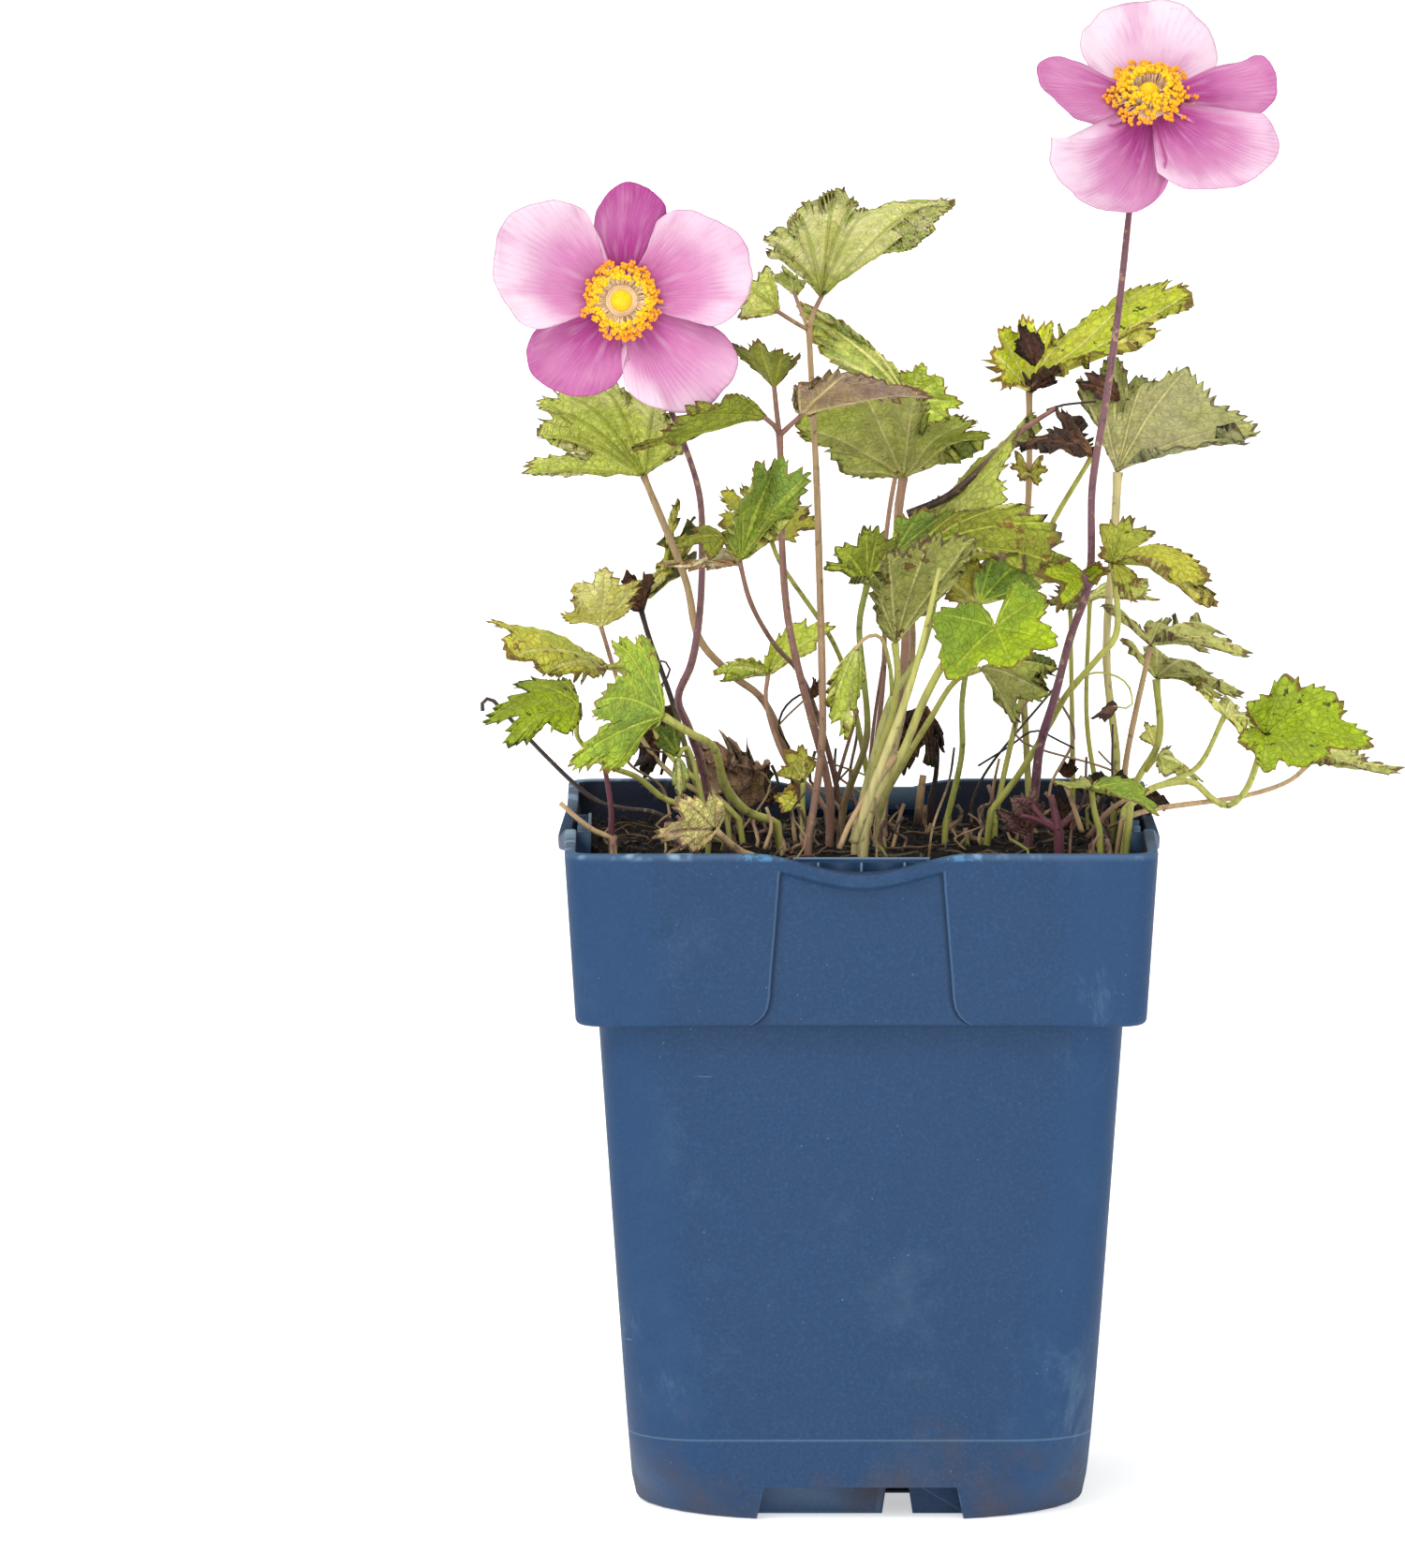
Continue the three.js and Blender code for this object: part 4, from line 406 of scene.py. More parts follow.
leafy_stem("leaf_large_palmate", ("pink", "mauve"), (
    ((2, 1.8), (8.5, 22, 188.5, 7.5, 22.5, 180, 9, 26, 156, 6, 26.5, 131, 5, 26, 125.5)),
), (
    blade("olive_under", (8.5, 22, 188.5), (-3.5, 20, 190, -12, 9.5, 200.5, -2, -3, 209,
        10.5, -1.5, 207, 21.5, 7.5, 201.5, 25, 18.5, 196, 16.5, 22, 191.5),
        notch=(0.93, 0.88, 0.9, 0.62, 0.85, 0.9), arch=0.07, light=0.9),
))
leafy_stem("leaf_long_upper", ("pink", "mauve"), (
    ((1, 1.2), (10, 38, 201, 5.5, 37.5, 176, 5, 37.5, 149, 3.5, 37, 135, 2.5, 36, 127)),
), (
    blade("grey_green", (10, 38, 201), (1, 31, 204.5, -7, 25.5, 211.5, -11.5, 21, 222,
        -0.5, 29.5, 215.5, 6.5, 35, 209), notch=0.97, arch=0.04, light=1.8),
    blade("light_green", (10, 38, 201), (8, 35, 207.5, 12, 32.5, 209, 16, 32.5, 206,
        20, 32.5, 201.5, 17.5, 35, 197.5, 13, 38, 194), notch=0.92, light=1.5),
))
leafy_stem("leaf_long_folded", ("green", "pale"), (
    ((1.4, 1.9), (13, 8, 178, 14.5, 6, 172, 11.5, -2, 158, 6, -7, 150, 2.5, -8, 138,
        -0.5, -8, 126.5)),
    ((1.1, 1.9), (37.5, 16, 202.5, 30.5, 15, 198, 17, 13, 186, 10, 12, 183), ("mauve", "dark")),
), (
    blade("folded", (13, 8, 178), (17.5, 21.5, 186, 34.5, 21.5, 199.5, 29.5, 8, 196, 28, 1, 186.5),
        notch=(1, 0.97, 0.97)),
))
leafy_stem("leaf_arched_olive", ("tan", "pale"), (
    ((1.3, 1.6), (10.5, -8, 178, 10, -0.5, 168, 10, 7, 156, 8.5, 9, 146, 6, 8.5, 135,
        4.5, 8, 126.5)),
), (
    blade("olive", (10.5, -8, 178), (20, -1, 185, 31, 1, 186, 37, 0, 182, 40.5, -4, 173.5,
        25, -11, 178), notch=0.96, arch=0.07, light=1.4),
))
leafy_stem("leaf_lime_front", ("yellow_green", "pale"), (
    ((1.7, 1.9), (25, -33, 166.5, 21.5, -28, 164, 16.5, -25, 160, 12, -23, 152, 8, -22, 142,
        2.5, -22, 132, 1, -22, 127)),
), (
    blade("lime", (25, -33, 166.5), (20, -33, 171.5, 13, -39, 169.5, 16, -43.5, 158.5,
        28, -43.5, 160, 36.5, -40, 164, 34.5, -33, 172.5, 30, -30.5, 175.5),
        notch=(0.96, 0.95, 0.76, 0.95, 0.84, 0.97)),
))
leafy_stem("leaf_olive_drooping", ("yellow_green", "pale"), (
    ((1.2, 1.5), (22.5, -14, 156.5, 18, -11.5, 154, 13, -9, 146, 5, -1.5, 131, 3.5, 1, 126)),
), (
    blade("olive_under", (22.5, -14, 156.5), (26, -22, 152, 29, -28.5, 147.5, 35.5, -23, 152.5,
        37, -16.5, 157.5), notch=0.8, arch=0.07, light=0.6),
))
leafy_stem("leaf_blue_green", ("green", "yellow_green"), (
    ((1.1, 1.4), (22.5, 4, 166.5, 19.5, 8, 148, 19.5, 9, 138, 18, 11, 130, 16.5, 12, 124)),
), (
    blade("blue_green", (22.5, 4, 166.5), (21.5, 6, 172.5, 25.5, 12, 176, 32.5, 14, 174.5,
        34.5, 8, 169), light=1.8),
    blade("speckled", (22.5, 4, 166.5), (16, 4, 167.5, 15.5, 4, 171.5, 20, 8, 174.5, 25, 12, 173),
        notch=0.93, light=0.9),
    blade("grey_green", (32.5, 12, 168.5), (27.5, 12, 173.5, 29.5, 16, 176, 35.5, 16, 175.5,
        37, 12, 171.5), notch=0.9, light=1.8),
    blade("spotted_lime", (20, 10, 173.5), (20, 6, 176.5, 24.5, 4, 178.5, 28.5, 4, 177.5,
        25.5, 6, 175), notch=0.95, light=1.1),
))
leafy_stem("leaf_tall_yellow_green", ("tan", "yellow_green"), (
    ((1.4, 1.5), (32.5, 36, 203.5, 32.5, 35.5, 186, 31, 32, 159, 32, 26.5, 136, 32.5, 25, 125.5)),
), (
    blade("spotted_lime", (32.5, 36, 203.5), (31, 27.5, 205, 26.5, 26, 205.5, 23.5, 22.5, 212,
        25.5, 26, 216.5, 31, 32.5, 218.5, 37, 39.5, 216.5), notch=0.9, arch=0.06, light=1.8),
    blade("burnt", (33.5, 28, 209), (30, 23, 212.5, 29.5, 23, 214.5, 31, 24.5, 217.5,
        34.5, 26.5, 215, 35.5, 28, 213), notch=0.9, arch=0.03, crumple=0.5, light=0.8),
    blade("spotted_lime", (32.5, 36, 203.5), (40, 48, 215, 57.5, 51.5, 222, 64, 44.5, 220,
        56, 39.5, 213.5, 43, 31, 209.5), notch=(0.95, 0.97, 0.8, 0.93), light=1.1),
    blade("speckled", (32.5, 35.5, 187.5), (29.5, 27, 193, 28.5, 25, 190, 30.5, 22, 188,
        34, 22, 187, 36, 25, 189.5, 35, 28.5, 192), notch=0.88, light=1.2),
    blade("burnt", (32.5, 36, 203.5), (32, 25.5, 207, 35.5, 25.5, 209, 38.5, 27.5, 208.5,
        37.5, 29, 205.5), crumple=0.6, light=1.8),
))
leafy_stem("leaf_arched_grey_green", ("pale", "yellow_green"), (
    ((1.9, 1.6), (49, 22, 189.5, 48.5, 21.5, 180, 47, 23, 154, 49, 21.5, 134, 48.5, 21, 128)),
), (
    blade("grey_under", (49, 22, 189.5), (46, 33, 198.5, 54.5, 41.5, 204, 63, 41.5, 206.5,
        75.5, 27.5, 198.5, 72.5, 16.5, 196.5, 60.5, 12, 195), notch=(0.9, 0.95, 0.97, 0.85, 0.93),
        arch=0.07, light=0.9),
    blade("grey_patched", (49, 22, 189.5), (46, 34.5, 195.5, 41.5, 39, 205, 48, 44.5, 208.5,
        54.5, 46, 204), notch=(0.93, 0.8, 0.85), arch=0.03, light=0.9),
    blade("burnt", (49.5, 34, 202), (45, 32.5, 202.5, 41, 31, 205.5, 43, 31, 208, 47.5, 32.5, 207),
        crumple=0.8, light=1.8),
))
leafy_stem("leaf_blackened_right", "yellow_green", (
    ((1.1, 1.3), (44, 14, 193.5, 36.5, 18.5, 180, 33.5, 21, 172, 33, 21, 158, 27.5, 18.5, 132,
        26, 18, 124.5)),
    ((0.6, 0.5), (35.5, 24, 201, 38.5, 24, 202, 44, 25, 202.5), "dark"),
    ((0.5, 0.7), (37, 27.5, 147.5, 24, 22.5, 132, 21.5, 22, 126, 21.5, 22, 122.5), "dark"),
    ((0.45, 0.5), (41, 25.5, 136.5, 38, 25.5, 138, 33.5, 24.5, 140, 28.5, 23.5, 137,
        23.5, 22.5, 134), "dark"),
), (
    blade("burnt", (44, 14, 193.5), (35.5, 3.5, 196, 29.5, 2, 196.5, 33.5, 8, 198, 37, 14, 202.5,
        40.5, 17, 201.5, 43, 18.5, 196.5), notch=(0.97, 0.92, 0.78, 0.97, 0.95), arch=0.06,
        crumple=0.5, light=1.8),
))
leafy_stem("leaf_brown_edged_right", "yellow_green", (
    ((1.4, 1.5), (47.5, -10, 176, 48, -7.5, 162, 45, -6.5, 158, 39, -0.5, 150, 36, 4.5, 144,
        30.5, 9, 134, 25, 10, 126.5)),
    ((0.5, 0.4), (39, -0.5, 150.5, 43, -1.5, 154, 47.5, -2.5, 154, 50.5, -3.5, 152, 51, -3.5, 148,
        48.5, -3.5, 148)),
    ((0.45, 0.6), (47.5, -5.5, 145, 47.5, -4.5, 135, 48, -4, 129.5), "dark"),
), (
    blade("brown_edged", (47.5, -10, 176), (44.5, -14.5, 178, 45, -7, 183, 50.5, -1, 183.5,
        55.5, -4, 181.5), notch=(0.8, 0.9, 0.85), arch=0.04, light=0.8),
    blade("brown_edged", (47.5, -10, 176), (58.5, -10, 179, 64.5, -17.5, 176.5, 66.5, -26.5, 170,
        57.5, -25, 175.5), notch=0.97, arch=0.09, light=0.9),
    blade("brown_edged", (47.5, -10, 176), (52, -17.5, 173.5, 50.5, -23.5, 170, 47.5, -19, 172.5),
        notch=0.95, arch=0.04, light=0.8),
    blade("burnt", (48.5, -3.5, 148), (46.5, -2, 148.5, 43.5, -3.5, 145.5, 46, -6.5, 145.5),
        notch=0.95, arch=0.1, crumple=0.4, light=1.6),
))
leafy_stem("leaf_right_upper", "tan", (
    ((1.2, 1.4), (55, 13, 157.5, 50.5, 15, 135, 50, 15, 127.5)),
), (
    blade("spotted_olive", (55, 13, 157.5), (46, 9.5, 165.5, 58.5, 31.5, 159.5, 68.5, 29.5, 159.5,
        74.5, 16.5, 155.5, 63, -1.5, 159.5), notch=(0.55, 0.8, 0.8, 0.8), arch=0.08, light=1.1),
))
leafy_stem("leaf_right_lower", "yellow_green", (
    ((1.5, 1.6), (56.5, 27, 149.5, 57, 25, 138, 53.5, 22.5, 132, 51, 20, 127.5)),
    ((0.9, 0.8), (54.5, 22.5, 132.5, 55.5, 21.5, 134, 57, 20, 136)),
), (
    blade("spotted_olive", (56.5, 27, 149.5), (49, 27, 156.5, 56, 43.5, 153.5, 65.5, 43.5, 150,
        73.5, 32.5, 146.5, 69, 19.5, 147.5), notch=(0.55, 0.85, 0.85, 0.8), arch=0.09, light=1.1),
    blade("spotted_olive", (57, 20, 136), (60.5, 29.5, 135, 66, 25.5, 130.5, 58, 22, 131.5),
        notch=0.97, light=1.2),
    blade("spotted_olive", (56.5, 25, 137), (53.5, 29.5, 138, 54.5, 30.5, 141, 56.5, 28.5, 140.5),
        notch=0.9, light=1.8),
))
leafy_stem("leaf_far_right_small", "yellow_green", (
    ((1.1, 1.3), (69, 14, 144, 64, 10.5, 135, 56, 3.5, 132, 52, 1.5, 130, 49.5, -8, 129)),
), (
    blade("olive_under", (69, 14, 144), (64, 11.5, 150, 70.5, 32, 144, 76.5, 24.5, 140.5,
        73.5, 11.5, 141), notch=0.6, light=1.6),
))
leafy_stem("leaf_spotted_right", "yellow_green", (
    ((1.4, 1.5), (75.5, -26, 145.5, 72, -18, 134, 69, -16, 131, 66, -14, 132, 62.5, -13, 135,
        59, -13, 135, 54, -16, 134, 50.5, -20, 131.5)),
), (
    blade("spotted_green", (75.5, -26, 145.5), (71.5, -27, 152, 79, -24.5, 157, 88.5, -24.5, 153.5,
        95.5, -32, 144.5, 83, -40, 141, 75, -40, 141, 70, -35, 145.5),
        notch=(0.9, 0.9, 0.88, 0.9, 0.86, 0.93), arch=0.07, light=0.9),
))
leafy_stem("leaf_far_right_tip", "tan", (
    ((1, 1.2), (84.5, 2, 136.5, 81.5, 0, 134, 72.5, -9, 132, 53.5, -16, 130, 49, -18, 128.5)),
), (
    blade("spotted_olive", (84.5, 2, 136.5), (86, 17, 138, 93, 12.5, 138.5, 102.5, -1, 135.5,
        93, -8.5, 137.5), notch=(0.95, 0.9, 0.9), light=1.1),
))
leafy_stem("leaf_rim_right", "yellow_green", (
    ((1.1, 1.4), (43, -32, 136, 43.5, -31, 132, 44.5, -30, 128.5)),
    ((0.9, 1.2), (38, -30, 137, 39.5, -29, 133, 41, -28, 128.5), "tan"),
    ((0.9, 1.3), (50, -24, 133.5, 46.5, -23, 131, 43, -22, 126.5), ("tan", "mauve")),
), (
    blade("olive_under", (43, -32, 136), (40.5, -39, 137, 35, -39, 137.5, 41, -26.5, 138),
        notch=0.95, light=0.7),
    blade("mid_green", (43, -32, 136), (47, -26.5, 137.5, 52.5, -30.5, 136.5, 55.5, -39, 132.5,
        48, -42, 135.5), notch=0.97, arch=0.07, light=1.1),
))
leafy_stem("dried_leaf_right", ("dark", "mauve"), (
    ((1.2, 1.5), (46.5, 7, 130.5, 45.5, 7.5, 128, 45, 8, 126.5)),
), (
    blade("burnt", (46.5, 7, 130.5), (41, 8, 130.5, 43.5, 11, 133.5, 52.5, 10.5, 133, 59.5, 8, 128,
        55.5, 4.5, 127.5, 50, 4, 128), crumple=1.4, light=0.6),
))
leafy_stem("dried_leaf_centre", "dark", (
    ((1, 1.2), (13, 36, 143, 15, 37, 137, 15, 38, 130, 14, 38, 125)),
    ((1.5, 2), (12.5, 32, 130.5, 12, 32, 127, 11.5, 32, 121.5), ("tan", "dark")),
), (
    blade("burnt", (13, 36, 143), (16.5, 31.5, 135.5, 14.5, 30.5, 131.5, 9.5, 29.5, 132,
        6.5, 29.5, 136, 10, 30.5, 141), notch=(0.75, 0.7, 0.75, 0.85), arch=0.08, crumple=1.2,
        light=1.6),
))
leafy_stem("leaf_back_small", "yellow_green", (
    ((0.9, 1.2), (40.5, 40, 161, 41, 39.5, 133, 41, 38, 127)),
), (
    blade("spotted_olive", (40.5, 40, 161), (35.5, 37.5, 163.5, 38.5, 47.5, 166, 43.5, 53, 166,
        46.5, 47.5, 163.5), arch=0.06, light=0.6),
    blade("burnt", (40, 32.5, 130), (37.5, 30, 132, 38.5, 30, 134.5, 41, 30, 134.5, 42, 31.5, 132),
        crumple=0.9, light=1.5),
))
leafy_stem("leaf_back_right", "yellow_green", (
    ((0.9, 1.2), (44, 32, 164, 43.5, 34, 142, 44.5, 33, 133, 46, 32, 126.5)),
    ((0.6, 0.8), (27, 37.5, 133, 26, 38, 128, 25, 38, 120.5), "tan"),
), (
    blade("spotted_olive", (44, 32, 164), (49, 39, 167, 55.5, 41.5, 166.5, 57.5, 34.5, 164.5,
        52, 27, 164.5), notch=0.8, arch=0.07, light=1.6),
))
leafy_stem("twig_left_rim", "tan", (
    ((0.9, 1.4), (-56, -20, 132, -50, -20, 127, -46.5, -20, 125.5)),
))
leafy_stem("young_shoots", "red", (
    ((1.2, 2.2), (35.5, -28, 134.5, 36.5, -28, 130, 37, -28, 127)),
    ((1.1, 1.7), (32, -26, 132.5, 34, -27, 130, 36.5, -28, 128.5)),
    ((1, 1.7), (40.5, -24, 132, 39, -26, 130, 37, -28, 128.5)),
    ((0.9, 1.5), (30, -30, 131, 33, -29, 130, 36.5, -28, 128)),
), (
    blade("plum", (32, -22, 126.5), (26, -25, 128, 25, -26, 131.5, 28.5, -26, 135, 32.5, -25, 135.5,
        34.5, -23, 132), notch=0.9, crumple=0.7, light=1.8),
    blade("burnt", (38.5, -16, 126.5), (35.5, -18, 130, 37, -18, 133.5, 39.5, -18, 133.5,
        40.5, -17, 130.5), notch=0.8, crumple=0.9, light=0.6),
))

# For each sepal: how deep its colour is inside and outside, its tilt, and its tips, and
# for some how far its middle bends
BLOOMS = (dict(
    name="left", centre=np.array((-44.5, -12.5, 225.5)), axis=unit((0, -1, 0.12)),
    spread=1.04, sunk=0,
    sepals=(
        ((0.85, 0.22, 0.05), (-34.5, -16, 224, -27.5, -18.5, 221, -22.5, -19.5, 224.5,
            -20, -20, 232.5, -22.5, -19.5, 238.5, -27.5, -18.5, 241.5, -35.5, -17, 243,
            -38.5, -15, 238)),
        ((0.8, 0.12, 0.18), (-53.5, -16, 223, -60.5, -18.5, 220.5, -66.5, -19.5, 226,
            -68.5, -20, 233.5, -65.5, -20, 242, -57.5, -19, 245, -51, -18, 243, -48.5, -16, 236)),
        ((1, 0.8, 0.25), (-49.5, -13, 237, -49.5, -13.5, 241.5, -47, -14, 246, -44, -14.5, 248,
            -39, -14, 246.5, -36, -13.5, 243, -37.5, -13, 236)),
        ((1, 0.62, 0), (-54.5, -13.5, 223, -60.5, -14.5, 220.5, -62.5, -15, 216.5, -61, -15.5, 212,
            -57, -16, 209, -51, -16, 208, -45.5, -15.5, 210, -43, -14, 215.5)),
        ((0.9, 0.26, 0.48), (-43.5, -15, 215.5, -44.5, -15.5, 212, -43, -16.5, 208.5, -38, -18, 206,
            -32.5, -18.5, 205, -27, -18.5, 207.5, -23.5, -18, 212, -23, -17, 216.5, -26, -15, 220,
            -31, -13.5, 222.5)),
    ),
    stalk=((1, 2), (-44.5, -10, 224.5, -41, -3, 216, -37, 0, 207.5, -33.5, 0, 199, -30, -2, 188,
        -29.5, -3, 176.5, -30, -3, 165, -31.5, -2, 156, -34, -1, 149.5, -32, 2, 143.5,
        -29.5, 8, 135.5, -28, 13, 127)),
    leaflets=(),
), dict(
    name="right", centre=np.array((54, 0, 262.5)), axis=unit((0.05, -0.64, 0.77)),
    spread=1.24, sunk=2.9,
    sepals=(
        ((0.4, 0.05, 0.15), (45.5, 4, 264.5, 41.5, 7, 270, 42, 10, 274, 46, 12.5, 277.5,
            51, 13.5, 279, 57, 14, 279, 62.5, 13, 277, 66.5, 11, 272, 67, 8, 267.5,
            63.5, 4, 264.5)),
        ((0.85, 0.5, 0.1), (47.5, -7.5, 258, 43, -6.5, 257.5, 37, -5.5, 261, 33.5, -4.5, 265,
            33, -3.5, 269.5, 36, -3, 270.5, 41, -1, 268.5)),
        ((0.95, 0.52, 0), (68, 0, 268, 75, -2, 270.5, 77.5, -4, 267.5, 78, -5, 264.5, 75.5, -6, 260,
            69.5, -6, 258, 62.5, -6, 258)),
        ((0.95, 0.33, 0.6), (35.5, -13.5, 256, 35, -14.5, 252, 38, -15, 247, 43, -14.5, 243,
            48.5, -14, 242, 53, -13, 242.5, 56.5, -12, 246, 56.5, -10.5, 251), (2, -1, -3.2)),
        ((0.9, 0.25, 0.1), (55.5, -11, 249, 60, -14, 246.5, 65.5, -15, 246.5, 71.5, -16, 248,
            77.5, -15.5, 252.5, 77.5, -15, 257.5, 75, -12.5, 260.5), (0.5, -1, -1.5)),
    ),
    stalk=((1.3, 2), (53.5, 2, 260.5, 52, 3, 253, 50.5, 0, 241.5, 48.5, -5, 224, 46, -9, 206.5,
        43.5, -9, 190.5, 43, -7, 172.5, 39.5, -4, 161, 36.5, -2, 149, 34, 0, 140, 33, 2, 130.5,
        32, 3, 124.5)),
    leaflets=(
        blade("bract", (42.5, -7, 172.5), (40, -13, 169, 37, -16, 167.5, 33, -15, 174.5,
            34, -13, 176.5, 38, -11, 177), notch=(0.85, 0.8, 0.96, 0.93)),
        blade("bract", (42.5, -7, 172.5), (42.5, -11, 175.5, 44.5, -13, 176.5, 46.5, -14, 175,
            44, -14, 172.5), notch=0.95),
    ),
))


# Shapes


class Form:
    """The mesh of one piece while it is made, in millimetres, with its marks for the materials.
    It is kept in batches of a few shapes, because bmesh is slow to add to a large mesh."""

    def __init__(self):
        self.materials = []
        self.batches = []
        self.open_batch()

    def open_batch(self):
        self.shapes = 0
        self.mesh = bmesh.new()
        self.mark = self.mesh.verts.layers.float_vector.new("mark")
        self.tint = self.mesh.verts.layers.float.new("tint")

    def close_batch(self):
        batch = bpy.data.meshes.new("batch")
        self.mesh.to_mesh(batch)
        self.mesh.free()
        self.batches.append(batch)

    def next_shape(self):
        self.shapes += 1
        if self.shapes > 24:
            self.close_batch()
            self.open_batch()

    def slot(self, material):
        if material not in self.materials:
            self.materials.append(material)
        return self.materials.index(material)

    def skin(self, points, marks, materials, tint=0.5):
        """A grid of faces through points[row, column], with one material for each row of faces.
        Points that meet are merged, which closes seams and poles."""
        self.next_shape()
        rows, columns = points.shape[:2]
        first = len(self.mesh.faces)
        made = bmesh.ops.create_grid(
            self.mesh, x_segments=columns - 1, y_segments=rows - 1, size=1)["verts"]
        tints = np.broadcast_to(tint, (rows, columns)).ravel()
        given = points.reshape(-1, 3), marks.reshape(-1, 3), tints
        for vert, *values in zip(made, *(each.tolist() for each in given)):
            vert.co, vert[self.mark], vert[self.tint] = values
        if len(materials) > 1:
            self.mesh.faces.ensure_lookup_table()
            faces = self.mesh.faces[first:]
        else:
            faces = list({face for vert in made for face in vert.link_faces})
        slots = [self.slot(m) for m in materials]
        for number, face in enumerate(faces):
            face.material_index = slots[min(number // (columns - 1), len(slots) - 1)]
            face.smooth = True
        bmesh.ops.remove_doubles(self.mesh, verts=made, dist=1e-4)
        bmesh.ops.recalc_face_normals(self.mesh, faces=[f for f in faces if f.is_valid])

    def tube(self, path, radii, material, sides=9, tint=0.5):
        """A closed round tube along path. Its marks hold the share of its length from the start,
        the millimetres along it and the turn round it."""
        path = np.asarray(path, float)
        along = np.gradient(path, axis=0)
        along /= np.linalg.norm(along, axis=1, keepdims=True) + 1e-9
        side = np.array((1.0, 0.2, 0.1))
        frames = []
        for ahead in along:
            side = side - ahead * side.dot(ahead)
            side /= np.linalg.norm(side)
            frames.append((side, np.cross(ahead, side)))
        turn = np.linspace(0, 2 * math.pi, sides + 1)
        one, two = (np.array(each)[:, None] for each in zip(*frames))
        radii = np.broadcast_to(radii, len(path)).astype(float)[:, None, None]
        rings = path[:, None] + radii * (one * np.cos(turn)[None, :, None]
                                         + two * np.sin(turn)[None, :, None])
        ends = np.repeat(path[[0, -1], None], sides + 1, axis=1)
        points = np.concatenate((ends[:1], rings, ends[1:]))
        run = run_along(path)
        run = np.concatenate((run[:1], run, run[-1:]))
        run = run[:, None]
        marks = side_by_side(run / max(run[-1, 0], 1e-6), run, np.cos(turn)[None])
        self.skin(points, marks, [material], tint)

    def ball(self, place, scale, material, facing=None, tint=0.5, detail=2):
        """A ball stretched by scale, its length turned to facing."""
        self.next_shape()
        turn = Matrix.Identity(4)
        if facing is not None:
            turn = Vector(facing).to_track_quat("Z", "Y").to_matrix().to_4x4()
        matrix = Matrix.Translation(place) @ turn @ Matrix.Diagonal((*scale, 1))
        made = bmesh.ops.create_icosphere(self.mesh, subdivisions=detail, radius=1,
                                          matrix=matrix)["verts"]
        slot = self.slot(material)
        for vert in made:
            vert[self.tint] = tint
        for face in {face for vert in made for face in vert.link_faces}:
            face.material_index = slot
            face.smooth = True
        return made

    def finish(self, name, slot, nodes, crease=None):
        """Puts the piece in the scene on the plant's body, in place of the CAD's nodes."""
        self.close_batch()
        self.open_batch()
        for batch in self.batches:
            self.mesh.from_mesh(batch)
            bpy.data.meshes.remove(batch)
        bmesh.ops.scale(self.mesh, vec=(MM, MM, MM), verts=self.mesh.verts)
        mesh = bpy.data.meshes.new(name)
        self.mesh.to_mesh(mesh)
        self.mesh.free()
        for material in self.materials:
            mesh.materials.append(material)
        if crease:
            mesh.set_sharp_from_angle(angle=math.radians(crease))
        piece = bpy.data.objects.new(name, mesh)
        bpy.context.scene.collection.objects.link(piece)
        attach(piece, "root")
        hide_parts(*nodes)
        return piece


def side_by_side(*parts):
    """The parts, spread to one shape, along a new last axis."""
    return np.stack(np.broadcast_arrays(*parts), axis=-1)


def run_along(path):
    """The millimetres from the path's start to each of its points."""
    steps = np.linalg.norm(np.diff(path, axis=0), axis=1)
    return np.concatenate(((0,), np.cumsum(steps)))


def smoothstep(value, low, high):
    share = np.clip((value - low) / (high - low), 0, 1)
    return share * share * (3 - 2 * share)


def waves(points, length, random, count=7):
    """Slow, uneven waves over space, about -1 to 1, a length in millimetres from crest to crest."""
    total = 0.0
    for _ in range(count):
        course = unit(random.normal(size=3)) * (2 * math.pi / length * random.uniform(0.6, 1.4))
        total = total + np.sin(points @ course + random.uniform(0, 6.3))
    return total / math.sqrt(count) * 0.8


def smooth_path(knots, spacing):
    """Evenly spaced points along the centripetal curve through the knots."""
    knots = np.array(knots, float)
    ends = np.vstack((2 * knots[0] - knots[1], knots, 2 * knots[-1] - knots[-2]))
    parts = []
    share = np.linspace(0, 1, 16, endpoint=False)[:, None]
    for a, b, c, d in zip(ends, ends[1:], ends[2:], ends[3:]):
        one, two, three = (max(np.linalg.norm(q - p), 1e-6) ** 0.5
                           for p, q in ((a, b), (b, c), (c, d)))
        out = ((b - a) / one - (c - a) / (one + two) + (c - b) / two) * two
        back = ((c - b) / two - (d - b) / (two + three) + (d - c) / three) * two
        parts.append(b + out * share + (-3 * b + 3 * c - 2 * out - back) * share**2
                     + (2 * b - 2 * c + out + back) * share**3)
    path = np.vstack((*parts, knots[-1:]))
    run = run_along(path)
    even = np.linspace(0, run[-1], max(3, round(run[-1] / spacing) + 1))
    return side_by_side(*(np.interp(even, run, each) for each in path.T))


def ribs_at(ribs, stations):
    """The fan's rib at each station, smooth between the given ribs and straight outside them."""
    last = len(ribs) - 1
    spread = np.vstack((2 * ribs[0] - ribs[1], ribs, 2 * ribs[-1] - ribs[-2]))
    step = np.clip(np.floor(stations).astype(int), 0, last - 1)
    share = np.clip(stations - step, 0, 1)[:, None]
    a, b, c, d = (spread[step + k] for k in range(4))
    inside = b + 0.5 * share * (c - a + share * (2 * a - 5 * b + 4 * c - d
                                                 + share * (3 * (b - c) + d - a)))
    low = np.minimum(stations, 0)[:, None] * (ribs[1] - ribs[0])
    high = np.maximum(stations - last, 0)[:, None] * (ribs[-1] - ribs[-2])
    return inside + low + high


